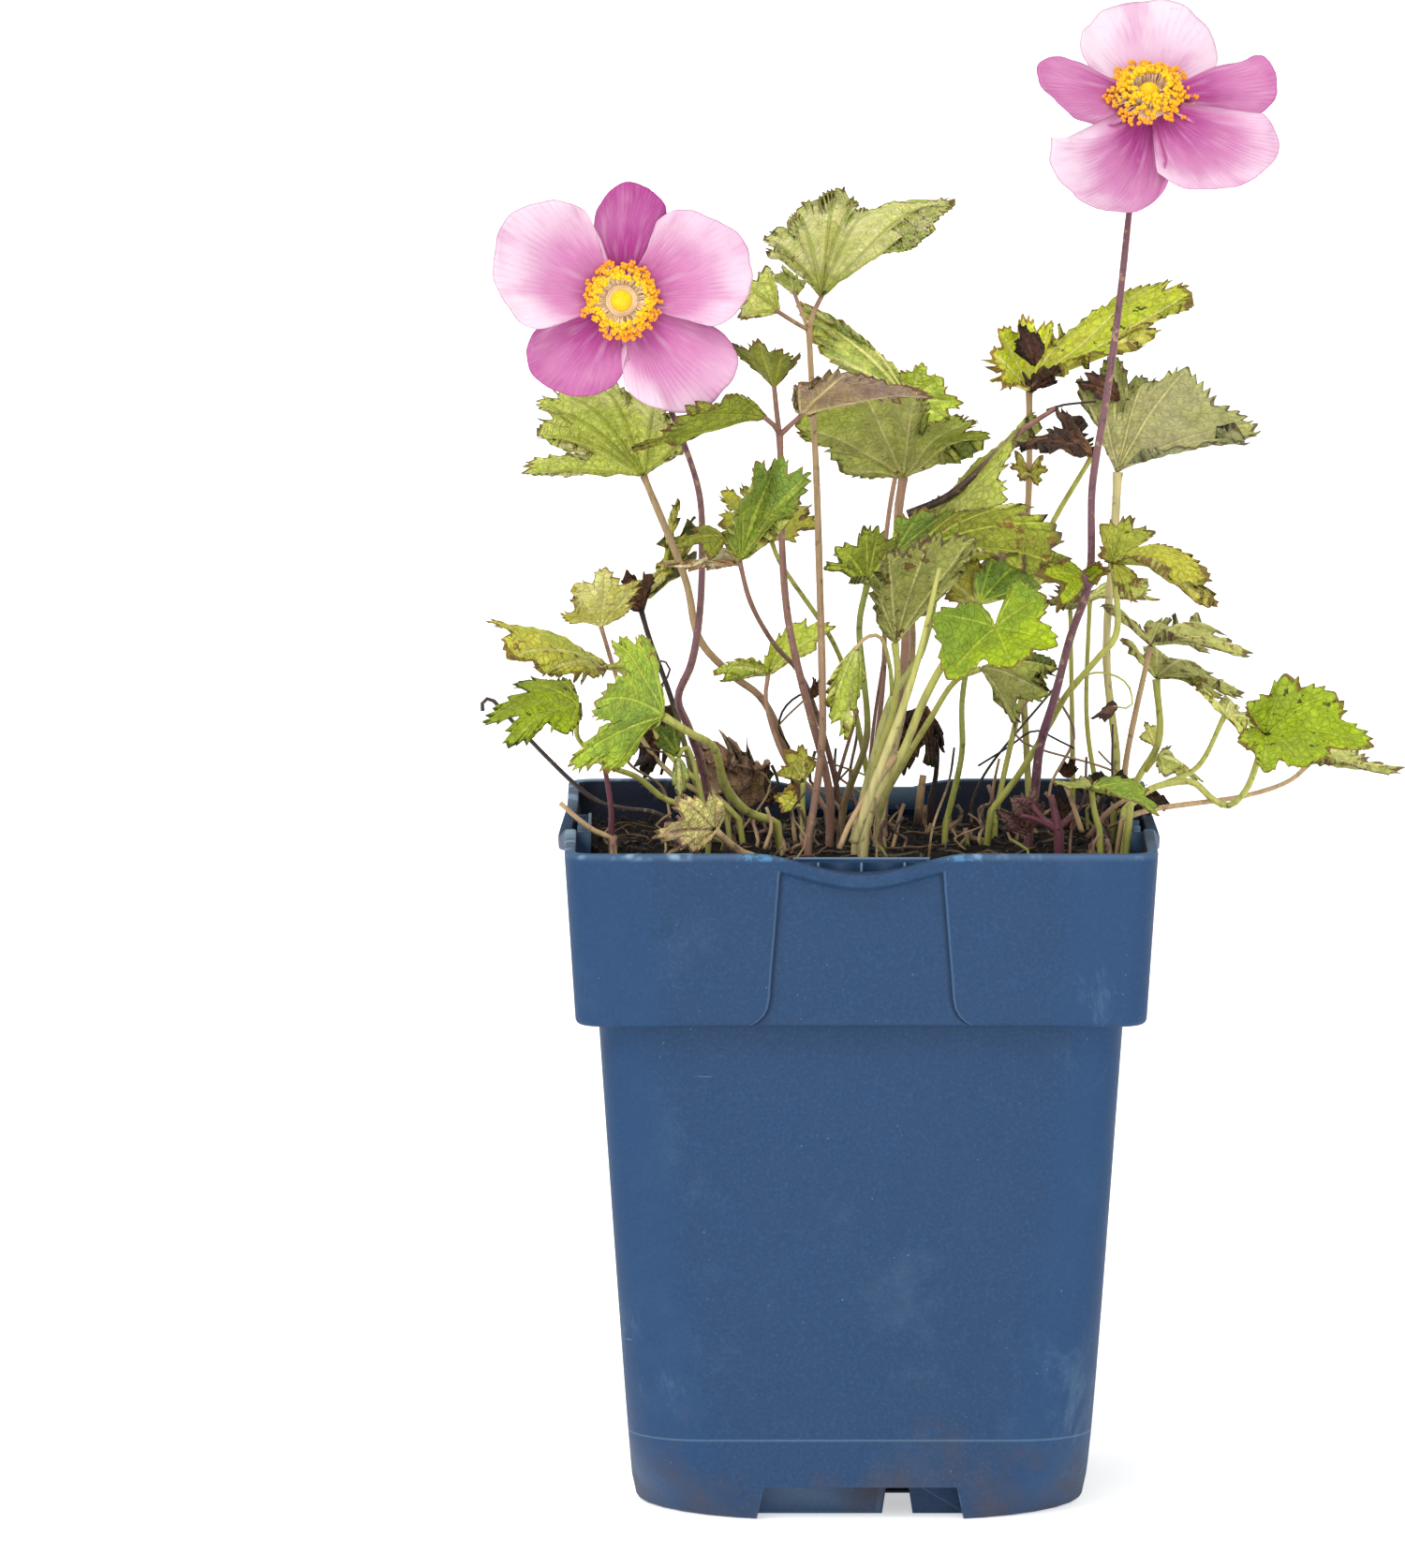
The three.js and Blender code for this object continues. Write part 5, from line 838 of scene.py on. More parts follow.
def reach_at(stations, notches, last, beyond_end):
    """How far the edge reaches along each rib: less in the notches and past the outer ribs."""
    notch = notches[np.clip(np.floor(stations).astype(int), 0, last - 1)]
    share = stations - np.floor(stations)
    wave = np.abs(np.sin(np.pi * share))
    slit = np.exp(-(((share - 0.5) / 0.07) ** 2))
    inside = 1 - (1 - notch) * wave**5 - 0.05 * slit
    beyond = np.clip(np.maximum(-stations, stations - last) / beyond_end, 0, 1)
    return np.where(beyond > 0, (1 - beyond**1.7) ** 0.55, inside)


def toothed_stations(ribs, notches, spacing, beyond_end, most, random):
    """Stations across a leaf's fan and the millimetres that the edge is cut back at each."""
    last = len(ribs) - 1
    found = {}
    spans = [(i + 0.5, i + 0.5 + way * 0.5) for i in range(last) for way in (-1, 1)]
    spans += [(-beyond_end, 0.0), (last + beyond_end, float(last))]
    for low, high in spans:
        side = 0.5 if low < 0 or low > last else 1.0
        line = np.linspace(low, high, 9)
        edge = ribs_at(ribs, line) * reach_at(line, notches, last, beyond_end)[:, None]
        length = np.linalg.norm(np.diff(edge, axis=0), axis=1).sum()
        teeth = int(np.clip(round(length / spacing), 2, 9))
        for tooth in range(teeth):
            depth = min(length / teeth * random.uniform(0.3, 0.75), most) * side
            for share, cut in ((0, 1), (0.3, 0.72), (0.62, 0.34), (0.87, 0)):
                found[round(low + (high - low) * (tooth + share) / teeth, 5)] = depth * cut
        found[round(high, 5)] = 0.0
    stations = np.array(sorted(found))
    cuts = np.array([found[s] for s in stations])
    cuts[[0, -1]] = 0
    return stations, cuts


def fan(form, base, ribs, stations, reach, cuts, radials, shape, materials, tint, thickness,
        seen=(0.0, -1.0, 0.13)):
    """A closed thin blade: its upper and lower skin meet round the edge and at the base.
    shape(middle, normals, marks) moves the middle surface. The first material is for the side
    that faces seen. Marks hold millimetres from the nearest rib, along it, and from the edge."""
    spread = ribs_at(ribs, stations)
    length = np.linalg.norm(spread, axis=1)
    share = radials[:, None] * reach[None]
    middle = spread[None] * share[..., None]
    course = np.gradient(middle[-1], axis=0)
    inward = np.cross(np.cross(course, spread), course)
    inward = inward / (np.linalg.norm(inward, axis=1, keepdims=True) + 1e-9)
    inward = -0.8 * inward - 0.35 * spread / length[:, None].clip(1)
    middle = middle + (smoothstep(radials, 0.62, 1.0)[:, None] * cuts)[..., None] * inward
    directions = ribs / np.linalg.norm(ribs, axis=1, keepdims=True)
    along = middle @ directions.T
    apart = np.linalg.norm(middle[:, :, None] - along[..., None] * directions, axis=-1)
    nearest = apart.argmin(axis=-1)[..., None]
    across, along = (np.take_along_axis(each, nearest, -1)[..., 0] for each in (apart, along))
    marks = side_by_side(across, along, (1 - radials)[:, None] * (reach * length)[None])
    middle = middle + base

    def normals_of(surface):
        down = np.gradient(surface, axis=0)
        over = np.gradient(surface, axis=1)
        normals = np.cross(over, down)
        normals[0] = normals[1]
        return normals / (np.linalg.norm(normals, axis=-1, keepdims=True) + 1e-9)

    normals = normals_of(middle)
    areas = np.linalg.norm(np.cross(np.gradient(middle, axis=1), np.gradient(middle, axis=0)),
                           axis=-1, keepdims=True)
    facing = 1.0 if (normals * areas).sum(axis=(0, 1)) @ seen >= 0 else -1.0
    middle, ridge = shape(middle, normals * facing, marks, share)
    normals = normals_of(middle) * facing
    taper = np.minimum(smoothstep(radials, 0, 0.12)[:, None]
                       * (0.35 + 0.65 * smoothstep(1 - radials, 0, 0.25))[:, None], 1)
    sides = np.ones(len(stations))
    sides[[0, -1]] = 0
    half = (thickness / 2 * taper * sides[None])[..., None]
    front = middle + normals * (half + ridge[0][..., None] * sides[None, :, None])
    back = middle - normals * (half + ridge[1][..., None] * sides[None, :, None])
    back[0] = front[0] = middle[0]
    points = np.concatenate((front, back[::-1]))
    rows = len(radials)
    form.skin(points, np.concatenate((marks, marks[::-1])),
              [materials[0]] * rows + [materials[1]] * (rows - 1), tint=tint)


def leaf_blade(form, one, foliage, random):
    """One toothed blade, with swollen fields between its ribs and ridges under them."""
    materials = leaf_material(one["finish"]), leaf_material(one["finish"], False)
    ribs = one["tips"] - one["base"]
    last = len(ribs) - 1
    notches = np.broadcast_to(one["notch"], last)
    beyond_end = 0.36
    reach_mm = np.linalg.norm(ribs, axis=1).max()
    most = min(1.8, reach_mm * (0.04 if one["finish"] in ("lime", "spotted_green") else 0.07))
    stations, cuts = toothed_stations(ribs, notches, foliage.tooth / MM, beyond_end, most, random)
    reach = reach_at(stations, notches, last, beyond_end)
    rows = int(np.clip(round(reach_mm / (foliage.row / MM)), 6, 18))
    radials = 1 - (1 - np.linspace(0, 1, rows + 1)) ** 1.15
    relief, ripple = foliage.relief / MM, foliage.ripple / MM
    crumple = one["crumple"]
    burnt = one["finish"] in ("burnt", "dried")
    upper = LEAF_FINISHES[one["finish"]]["upper"]

    def shape(middle, normals, marks, share):
        across, along, inward = marks[..., 0], marks[..., 1], marks[..., 2]
        spread = np.linalg.norm(ribs_at(ribs, stations), axis=1)[None]
        lift = spread * (one["arch"] * 4 * share * (1 - share)
                         + crumple * 0.05 * np.sin(stations * 9 + share * 5))
        middle = middle + UP * lift[..., None]
        side = 1.0 if upper else -1.0
        swell = relief * (1 - np.exp(-((across / 1.6) ** 2))) * smoothstep(along, 1, 7) * side
        fields = 0.16 * np.sin((along - VEIN_SLANT * across) * 2 * np.pi / VEIN_STEP)
        fields = fields * smoothstep(across, 0.3, 1.6) * side
        outward = 1 - smoothstep(inward, 0, reach_mm * 0.35)
        small = min(1.0, reach_mm / 22)
        roll = outward * waves(middle, 13, random) * 0.75 * small
        slow = waves(middle, 26, random) * ripple * smoothstep(along, 2, 10) * small
        crushed = waves(middle, 9, random) * 1.6 + waves(middle, 3.6, random) * 0.6
        crushed = crushed * max(crumple, 0.9 * burnt) * smoothstep(along, 1, 6)
        move = swell + fields + roll + slow + crushed
        line = np.exp(-((across / 0.42) ** 2)) * np.clip(1 - along / (reach_mm * 1.1), 0.1, 1)
        rib = 0.34 * line * smoothstep(inward, 0, 3)
        ridges = (rib * 0, rib) if upper else (rib, rib * 0)
        return middle + normals * move[..., None], ridges

    # The blade's light goes in as its tint and is painted into its colour.
    fan(form, one["base"], ribs, stations, reach, cuts, radials, shape, materials,
        one["light"] * random.uniform(1.16, 1.24), foliage.thickness / MM)


def root_of(path):
    """Where a stalk ends in the soil, 9 mm below its top, as in the CAD."""
    lean = unit(path[-1] - path[-2])
    level = bpy.context.scene.soil_settings.level / MM - 9
    return np.append(path[-1, :2] + lean[:2] * 3, level)


def stalk(form, widths, path, material, settings, random, rooted=False, hairy=True):
    """A smooth stalk with slightly uneven sides, a swollen joint at its top and fine hairs."""
    route = smooth_path(path, settings.spacing / MM)
    if not rooted:
        route = np.vstack((route, route[-1] + unit(route[-1] - route[-2]) * 0.9))
    count = len(route)
    share = np.linspace(0, 1, count)
    radii = (widths[0] + (widths[1] - widths[0]) * share) * 0.44
    radii = radii * (1 + 0.05 * waves(route, 7, random))
    if rooted:
        top = np.exp(-((share * len(route) * settings.spacing / MM) / 1.6) ** 2)
        radii = radii * (1 + 0.22 * top)
        route = np.vstack((route, root_of(path)))
        radii = np.append(radii, radii[-1])
    form.tube(route, radii, material, settings.sides, tint=random.uniform(0, 1))
    if hairy and rooted:
        run = count * settings.spacing / MM
        for place in random.uniform(0.01, 0.97, int(run * settings.hairs)):
            centre = np.array([np.interp(place, share, each) for each in route[:count].T])
            ahead = unit(route[min(int(place * count) + 1, count - 1)] - centre + 1e-6)
            out = unit(np.cross(ahead, random.normal(size=3)))
            root = centre + out * np.interp(place, share, radii[:count]) * 0.9
            tip = root + (out + ahead * random.uniform(-0.5, 0.5)) * random.uniform(0.35, 0.8)
            form.tube(np.stack((root, tip)), (0.045, 0.012), material, 3)


# Materials


class Value:
    """A number that a material works out at each point of a surface."""

    def __init__(self, graph, socket):
        self.graph, self.socket = graph, socket

    def math(self, operation, *others):
        return self.graph.value("Math", dict(enumerate((self, *others))), operation=operation)

    def __add__(self, other):
        return self.math("ADD", other)

    def __sub__(self, other):
        return self.math("SUBTRACT", other)

    def __mul__(self, other):
        return self.math("MULTIPLY", other)

    def __abs__(self):
        return self.math("ABSOLUTE")

    def or_more(self, other):
        return self.math("MAXIMUM", other)

    def ramp(self, low, high, start=0.0, end=1.0):
        """Start below low, end above high, and smooth between."""
        inputs = {"Value": self, "From Min": low, "From Max": high, "To Min": start,
                  "To Max": end}
        return self.graph.value("MapRange", inputs, interpolation_type="SMOOTHSTEP")


class Graph:
    """Adds nodes to one material, each from its kind, its inputs and its settings. The skin is
    the material's colour so far, which paint goes over."""

    def __init__(self, name, skin, **shader):
        self.skin = skin
        self.material = bpy.data.materials.new(name)
        self.material.use_nodes = True
        self.tree = self.material.node_tree
        self.tree.nodes.clear()
        self.shader = self.node("BsdfPrincipled", shader)
        self.node("OutputMaterial", {"Surface": self.shader.outputs[0]})
        self.place = self.node("TexCoord").outputs["Object"]

    def node(self, kind, inputs=None, **settings):
        made = self.tree.nodes.new("ShaderNode" + kind)
        for name, value in settings.items():
            setattr(made, name, value)
        for name, value in (inputs or {}).items():
            self.fill(made.inputs[name.replace("_", " ") if isinstance(name, str) else name], value)
        return made

    def value(self, kind, inputs, output=0, **settings):
        return Value(self, self.node(kind, inputs, **settings).outputs[output])

    def fill(self, socket, value):
        if isinstance(value, Value):
            value = value.socket
        if isinstance(value, bpy.types.NodeSocket):
            self.tree.links.new(value, socket)
        elif socket.type == "RGBA":
            socket.default_value = (*tuple(value)[:3], 1.0)
        else:
            socket.default_value = value

    def paint(self, share, colour, blend="MIX"):
        """Lays a colour over the skin where share is 1."""
        self.skin = self.node("Mix", {0: share, 6: self.skin, 7: colour}, data_type="RGBA",
                              blend_type=blend).outputs[2]

    def noise(self, scale, detail=3.0, rough=0.55, vector=None, distortion=0.0):
        return self.value("TexNoise", {
            "Vector": vector or self.place, "Scale": scale, "Detail": detail,
            "Roughness": rough, "Distortion": distortion})

    def cells(self, scale, feature="F1"):
        inputs = {"Vector": self.place, "Scale": scale, "Randomness": 1.0}
        return self.value("TexVoronoi", inputs, feature=feature)

    def stretched(self, *scale):
        return self.value("Mapping", {"Vector": self.place, "Scale": scale})

    def parts(self, vector):
        return [Value(self, one) for one in self.node("SeparateXYZ", {0: vector}).outputs]

    def marks(self):
        return self.parts(self.value("Attribute", {}, "Vector", attribute_name="mark"))

    def tint(self):
        return self.value("Attribute", {}, "Fac", attribute_name="tint")

    def done(self, rough, height=None, strength=1.0, distance=0.001):
        self.fill(self.shader.inputs["Base Color"], self.skin)
        self.fill(self.shader.inputs["Roughness"], rough)
        if height:
            bump = {"Height": height, "Strength": strength, "Distance": distance}
            self.fill(self.shader.inputs["Normal"], self.value("Bump", bump))
        return self.material


def darker(colour, share):
    """The colour with each part times share, which may also be above 1."""
    return tuple(part * share for part in colour)


LEAF_FINISHES = {}


def leaf_finish(name, body, shade, vein, edge=None, edge_width=0.4, other="under", spots=0.0,
                spot="brown", patches=0.0, patch="brown", net=0.25, veins=0.4, upper=True,
                age=0.25, rough=0.55):
    """How one side of a leaf looks. Colours are names of the foliage's colours, and other is
    the far side's. Spots, patches, net, veins and age go from 0 to 1. Upper is False for the
    side with raised veins."""
    LEAF_FINISHES[name] = dict(locals())


leaf_finish("pale_olive", "sunlit", "light", "olive", "maroon", other="fresh", net=0.35, veins=0.5,
    spots=0.1, age=0.12, upper=False)
leaf_finish("olive_under", "light", "under", "cream", "maroon", 0.5, other="deep", net=0.3,
    spots=0.3, patches=0.1, age=0.35, upper=False)
leaf_finish("grey_under", "grey_under", "under", "cream", "purple", 0.6, other="deep", patches=0.12,
    patch="purple", upper=False)
leaf_finish("grey_patched", "grey_under", "olive", "cream", "purple", 1.0, other="olive",
    patch="purple", patches=0.35, upper=False)
leaf_finish("grey_green", "under", "blue", "cream", "brown", other="deep", spots=0.1, upper=False)
leaf_finish("tan_under", "grey_under", "mushroom", "brown", "brown", other="brown", net=0.4,
    veins=0.6, patches=0.2, upper=False)
leaf_finish("light_green", "light", "fresh", "cream", "brown", 0.3, spots=0.2, veins=0.35)
leaf_finish("mid_green", "fresh", "deep", "light", "brown", 0.3, spots=0.15)
leaf_finish("dark_olive", "dark_olive", "olive", "olive", "maroon", 0.6, patch="maroon",
    patches=0.2, age=0.4)
leaf_finish("olive_edged", "olive", "dark_olive", "yellow", "maroon", 0.7, patches=0.2, veins=0.3)
leaf_finish("bract", "lime", "olive", "light", "maroon", 0.9, spots=0.2, veins=0.3)
leaf_finish("brownish", "taupe", "mushroom", "cream", "maroon", 0.8, net=0.35, veins=0.3,
    patch="purple", patches=0.1, age=0.3, upper=False)
leaf_finish("brown_edged", "yellow", "light", "light", "brown", 1.1, spots=0.4, patches=0.15)
leaf_finish("burnt", "black", "purple", "brown", "black", 0.8, other="black", patch="black",
    patches=0.6, net=0.4, rough=0.85)
leaf_finish("burnt_yellow", "yellow", "olive", "cream", "black", 1.4, other="olive", patch="black",
    patches=0.55, rough=0.7)
leaf_finish("yellow_fan", "yellow", "sunlit", "cream", "brown", 0.5, spots=0.2)
leaf_finish("spotted_yellow", "yellow", "light", "cream", "brown", 0.9, spots=0.6, patches=0.3)
leaf_finish("patched_yellow", "lime", "olive", "light", "black", 0.6, spot="black", spots=0.5,
    patch="black", patches=0.25)
leaf_finish("dried", "mushroom", "taupe", "taupe", "black", 0.6, other="brown", patch="black",
    patches=0.35, net=0.5, veins=0.6, rough=0.8)
leaf_finish("netted", "under", "taupe", "purple", "purple", 0.6, net=0.5, veins=0.55,
    patch="mushroom", patches=0.3, age=0.5)
leaf_finish("speckled", "yellow", "olive", "cream", "brown", 0.9, spots=0.6, patches=0.25)
leaf_finish("spotted_olive", "under", "olive", "cream", "purple", 0.7, other="olive", spots=0.75,
    patches=0.3, patch="purple", age=0.35, upper=False)
leaf_finish("spotted_dark", "olive", "dark_olive", "light", "black", 0.6, spots=0.4, spot="black",
    patches=0.2, patch="black")
leaf_finish("folded", "light", "under", "cream", "purple", 0.6, patch="purple", patches=0.3,
    spots=0.2)
leaf_finish("olive", "olive", "dark_olive", "light", "purple", 0.6, patch="purple", patches=0.25,
    spots=0.6, age=0.45, veins=0.35)
leaf_finish("lime", "lime", "blue", "light", "brown", 0.2, other="light", spots=0.05, veins=0.35,
    age=0.08)
leaf_finish("blue_green", "blue", "deep", "light", "brown", spots=0.15)
leaf_finish("spotted_lime", "yellow", "lime", "cream", "brown", 0.7, other="light", spots=0.5,
    spot="black", patch="black", patches=0.15)
leaf_finish("spotted_green", "lime", "fresh", "light", "brown", 0.6, other="light", spot="black",
    spots=0.5, patches=0.15)
leaf_finish("plum", "plum", "purple", "purple", "black", other="plum", patch="black", patches=0.2,
    rough=0.7)


def leaf_material(finish, front=True):
    """The material of one side of the leaves with this finish."""
    name = "leaf_%s_%s" % (finish, "front" if front else "back")
    if name in bpy.data.materials:
        return bpy.data.materials[name]
    look = LEAF_FINISHES[finish]

    def colour(part):
        return tuple(getattr(bpy.context.scene.foliage_settings, look[part]))

    body, shade = colour("body" if front else "other"), colour("shade" if front else "body")
    upper = look["upper"] == front
    graph = Graph(name, body, Specular_IOR_Level=0.25, Subsurface_Weight=0.35,
                  Subsurface_Radius=(0.7, 1.0, 0.25), Subsurface_Scale=0.0008)
    across, along, inward = graph.marks()
    graph.paint(graph.noise(48, 3).ramp(0.36, 0.64, 0, 0.8), shade)
    mottle = graph.noise(300, 4, 0.6)
    graph.paint(mottle.ramp(0.35, 0.75, 0.0, 0.5), shade)
    graph.paint(graph.noise(75, 5, 0.68).ramp(0.5, 0.76, 0, look["age"]), colour("patch"))
    # Painted shade: the skin is darkened in the creases between the small swollen fields, where
    # shade falls; the same creases also sink the bump.
    crease = graph.cells(640, "DISTANCE_TO_EDGE").ramp(0.0, 0.16, 1, 0)
    graph.paint(crease * (0.28 if upper else 0.12), darker(body, 0.45))
    midrib = across.ramp(0.1, 0.5, 1, 0) * inward.ramp(0.3, 6)
    lead = across * -VEIN_SLANT + along + graph.noise(150, 2) * 3.2
    offset = abs(lead.math("DIVIDE", VEIN_STEP).math("FRACT") - 0.5)
    side = offset.ramp(0.01, 0.075, 0.75, 0) * inward.ramp(0.2, 3)
    side = side * graph.noise(110, 2).ramp(0.3, 0.62, 0.25, 1)
    net = graph.cells(900, "DISTANCE_TO_EDGE").ramp(0.02, 0.1, 1, 0)
    veins = midrib.or_more(side).or_more(net * look["net"])
    graph.paint(veins * (look["veins"] * 1.4), colour("vein"))
    if look["spots"]:
        fleck = graph.noise(110, 2) * 0.55 + graph.noise(520, 3, 0.6)
        level = 1.04 - 0.24 * look["spots"]
        graph.paint(fleck.ramp(level, level + 0.05, 0, 0.85), colour("spot"))
    if look["patches"]:
        blot = inward.ramp(0, 9, 0.12, 0) + graph.noise(55, 5, 0.66, distortion=0.5)
        level = 0.8 - 0.3 * look["patches"]
        graph.paint(blot.ramp(level, level + 0.08, 0, 0.85), colour("patch"))
    if look["edge"]:
        wide = look["edge_width"]
        near = inward - graph.noise(130, 3, 0.65).ramp(0.38, 0.72, 0.08, 2.6 * wide)
        graph.paint(near.ramp(-0.1, 0.3 + 0.5 * wide, 0.85, 0), colour("edge"))
    # Painted light and shade: the tint holds the blade's light, which makes the whole blade lighter
    # or darker for how it is lit, with fine random patches over it.
    patchy = graph.noise(340, 4, 0.6).ramp(0.3, 0.7, 0.84, 1.16) * graph.tint()
    graph.paint(1.0, patchy, "MULTIPLY")
    height = veins * (-0.7 if upper else 0.9) + crease * -0.5 + mottle * 0.7
    rough = look["rough"]
    return graph.done(mottle.ramp(0.2, 0.8, rough - 0.1, rough + 0.08), height, 0.9, 0.0005)


def stalk_material(colours):
    """A stalk that changes colour from its top to its foot, with fine lengthwise streaks."""
    top, foot = (colours, colours) if isinstance(colours, str) else colours
    name = "stalk_%s_%s" % (top, foot)
    if name in bpy.data.materials:
        return bpy.data.materials[name]
    stalks = bpy.context.scene.stalk_settings
    graph = Graph(name, getattr(stalks, top), Sheen_Weight=0.1, Specular_IOR_Level=0.4)
    level = graph.noise(60, 2) * 0.5 + graph.marks()[0]
    graph.paint(level.ramp(0.5, 1.15), getattr(stalks, foot))
    streak = graph.noise(900, 2, vector=graph.stretched(1, 1, 0.12))
    graph.paint(streak.ramp(0.42, 0.72, 0, 0.55), darker(getattr(stalks, top), 0.5))
    fleck = graph.noise(500, 3)
    graph.paint(fleck.ramp(0.6, 0.72, 0, 0.6), stalks.dark)
    graph.paint(fleck.ramp(0.4, 0.3, 0, 0.3), stalks.pale)
    return graph.done(fleck.ramp(0.2, 0.8, 0.4, 0.65), graph.noise(1800, 2) * 0.5 + streak, 0.5,
                      0.0002)


def sepal_material(side):
    """Fine lengthwise veins over a colour that deepens with the tint, and a thin darker edge."""
    name = "sepal_" + side
    if name in bpy.data.materials:
        return bpy.data.materials[name]
    bloom = bpy.context.scene.bloom_settings
    graph = Graph(name, bloom.pale, Sheen_Weight=0.1, Sheen_Roughness=0.4, Specular_IOR_Level=0.2)
    across, along, inward = graph.marks()
    deep = graph.noise(90, 3) * 0.3 + graph.tint() - 0.15
    graph.paint(deep.ramp(0.0, 0.55), bloom.pink)
    graph.paint(deep.ramp(0.5, 1.0), bloom.deep)
    if side == "back":
        graph.paint(0.45, bloom.back)

    def streaks(detail, thin, long, start):
        place = {0: across * thin, 1: along * long, 2: start}
        return graph.noise(1.0, detail, vector=graph.value("CombineXYZ", place))

    wander = graph.noise(70, 2) * 1.4 + across
    line = abs((wander * 1.15).math("FRACT") - 0.5)
    fine, broad = streaks(3, 3.2, 0.22, 0.0), streaks(2, 0.32, 0.08, 4.0)
    graph.paint(broad.ramp(0.48, 0.75, 0, 0.5), bloom.pink)
    graph.paint(broad.ramp(0.5, 0.25, 0, 0.22), bloom.pale)
    graph.paint(inward.ramp(0, 4, 0.6, 0) * deep.ramp(0.3, 0.8), bloom.deep)
    vein = line.ramp(0.02, 0.2, 1, 0) * 0.45 * graph.noise(160, 2).ramp(0.35, 0.65)
    vein = vein.or_more(fine.ramp(0.52, 0.8, 0, 0.5))
    graph.paint(vein * deep.ramp(-0.1, 0.7, 0.22, 0.6), darker(bloom.deep, 0.75))
    graph.paint(fine.ramp(0.5, 0.3, 0, 0.1), bloom.pale)
    graph.paint(inward.ramp(0.05, 0.3, 0.4, 0), bloom.deep)
    graph.paint(graph.noise(700, 2).ramp(0.68, 0.75, 0, 0.3), bloom.back)
    return graph.done(0.52, vein * -0.8 + fine, 0.45, 0.0003)


def flower_stalk_material():
    bloom, stalks = bpy.context.scene.bloom_settings, bpy.context.scene.stalk_settings
    graph = Graph("flower_stalk", bloom.stalk, Sheen_Weight=0.1, Specular_IOR_Level=0.4)
    fleck = graph.noise(650, 3)
    graph.paint(graph.noise(50, 2).ramp(0.35, 0.7, 0, 0.45), stalks.mauve)
    graph.paint(graph.marks()[2].ramp(0.2, 0.95, 0, 0.4), stalks.tan)
    graph.paint(fleck.ramp(0.58, 0.66, 0, 0.6), stalks.tan)
    graph.paint(fleck.ramp(0.42, 0.34, 0, 0.5), stalks.dark)
    return graph.done(fleck.ramp(0.3, 0.7, 0.42, 0.6), fleck, 0.4, 0.0003)


def grainy(name, colour, second, scale, rough):
    """A colour in fine grains that turns to the second one with the tint, for small things."""
    if name in bpy.data.materials:
        return bpy.data.materials[name]
    graph = Graph(name, colour, Sheen_Weight=0.1, Specular_IOR_Level=0.3, Subsurface_Weight=0.3,
                  Subsurface_Radius=(1.0, 0.8, 0.3), Subsurface_Scale=0.0006)
    grain = graph.noise(scale, 3)
    graph.paint(grain.ramp(0.35, 0.7, 0, 0.6), darker(colour, 0.72))
    graph.paint(graph.tint() * 0.8, second)
    return graph.done(rough, grain, 0.5, 0.0003)


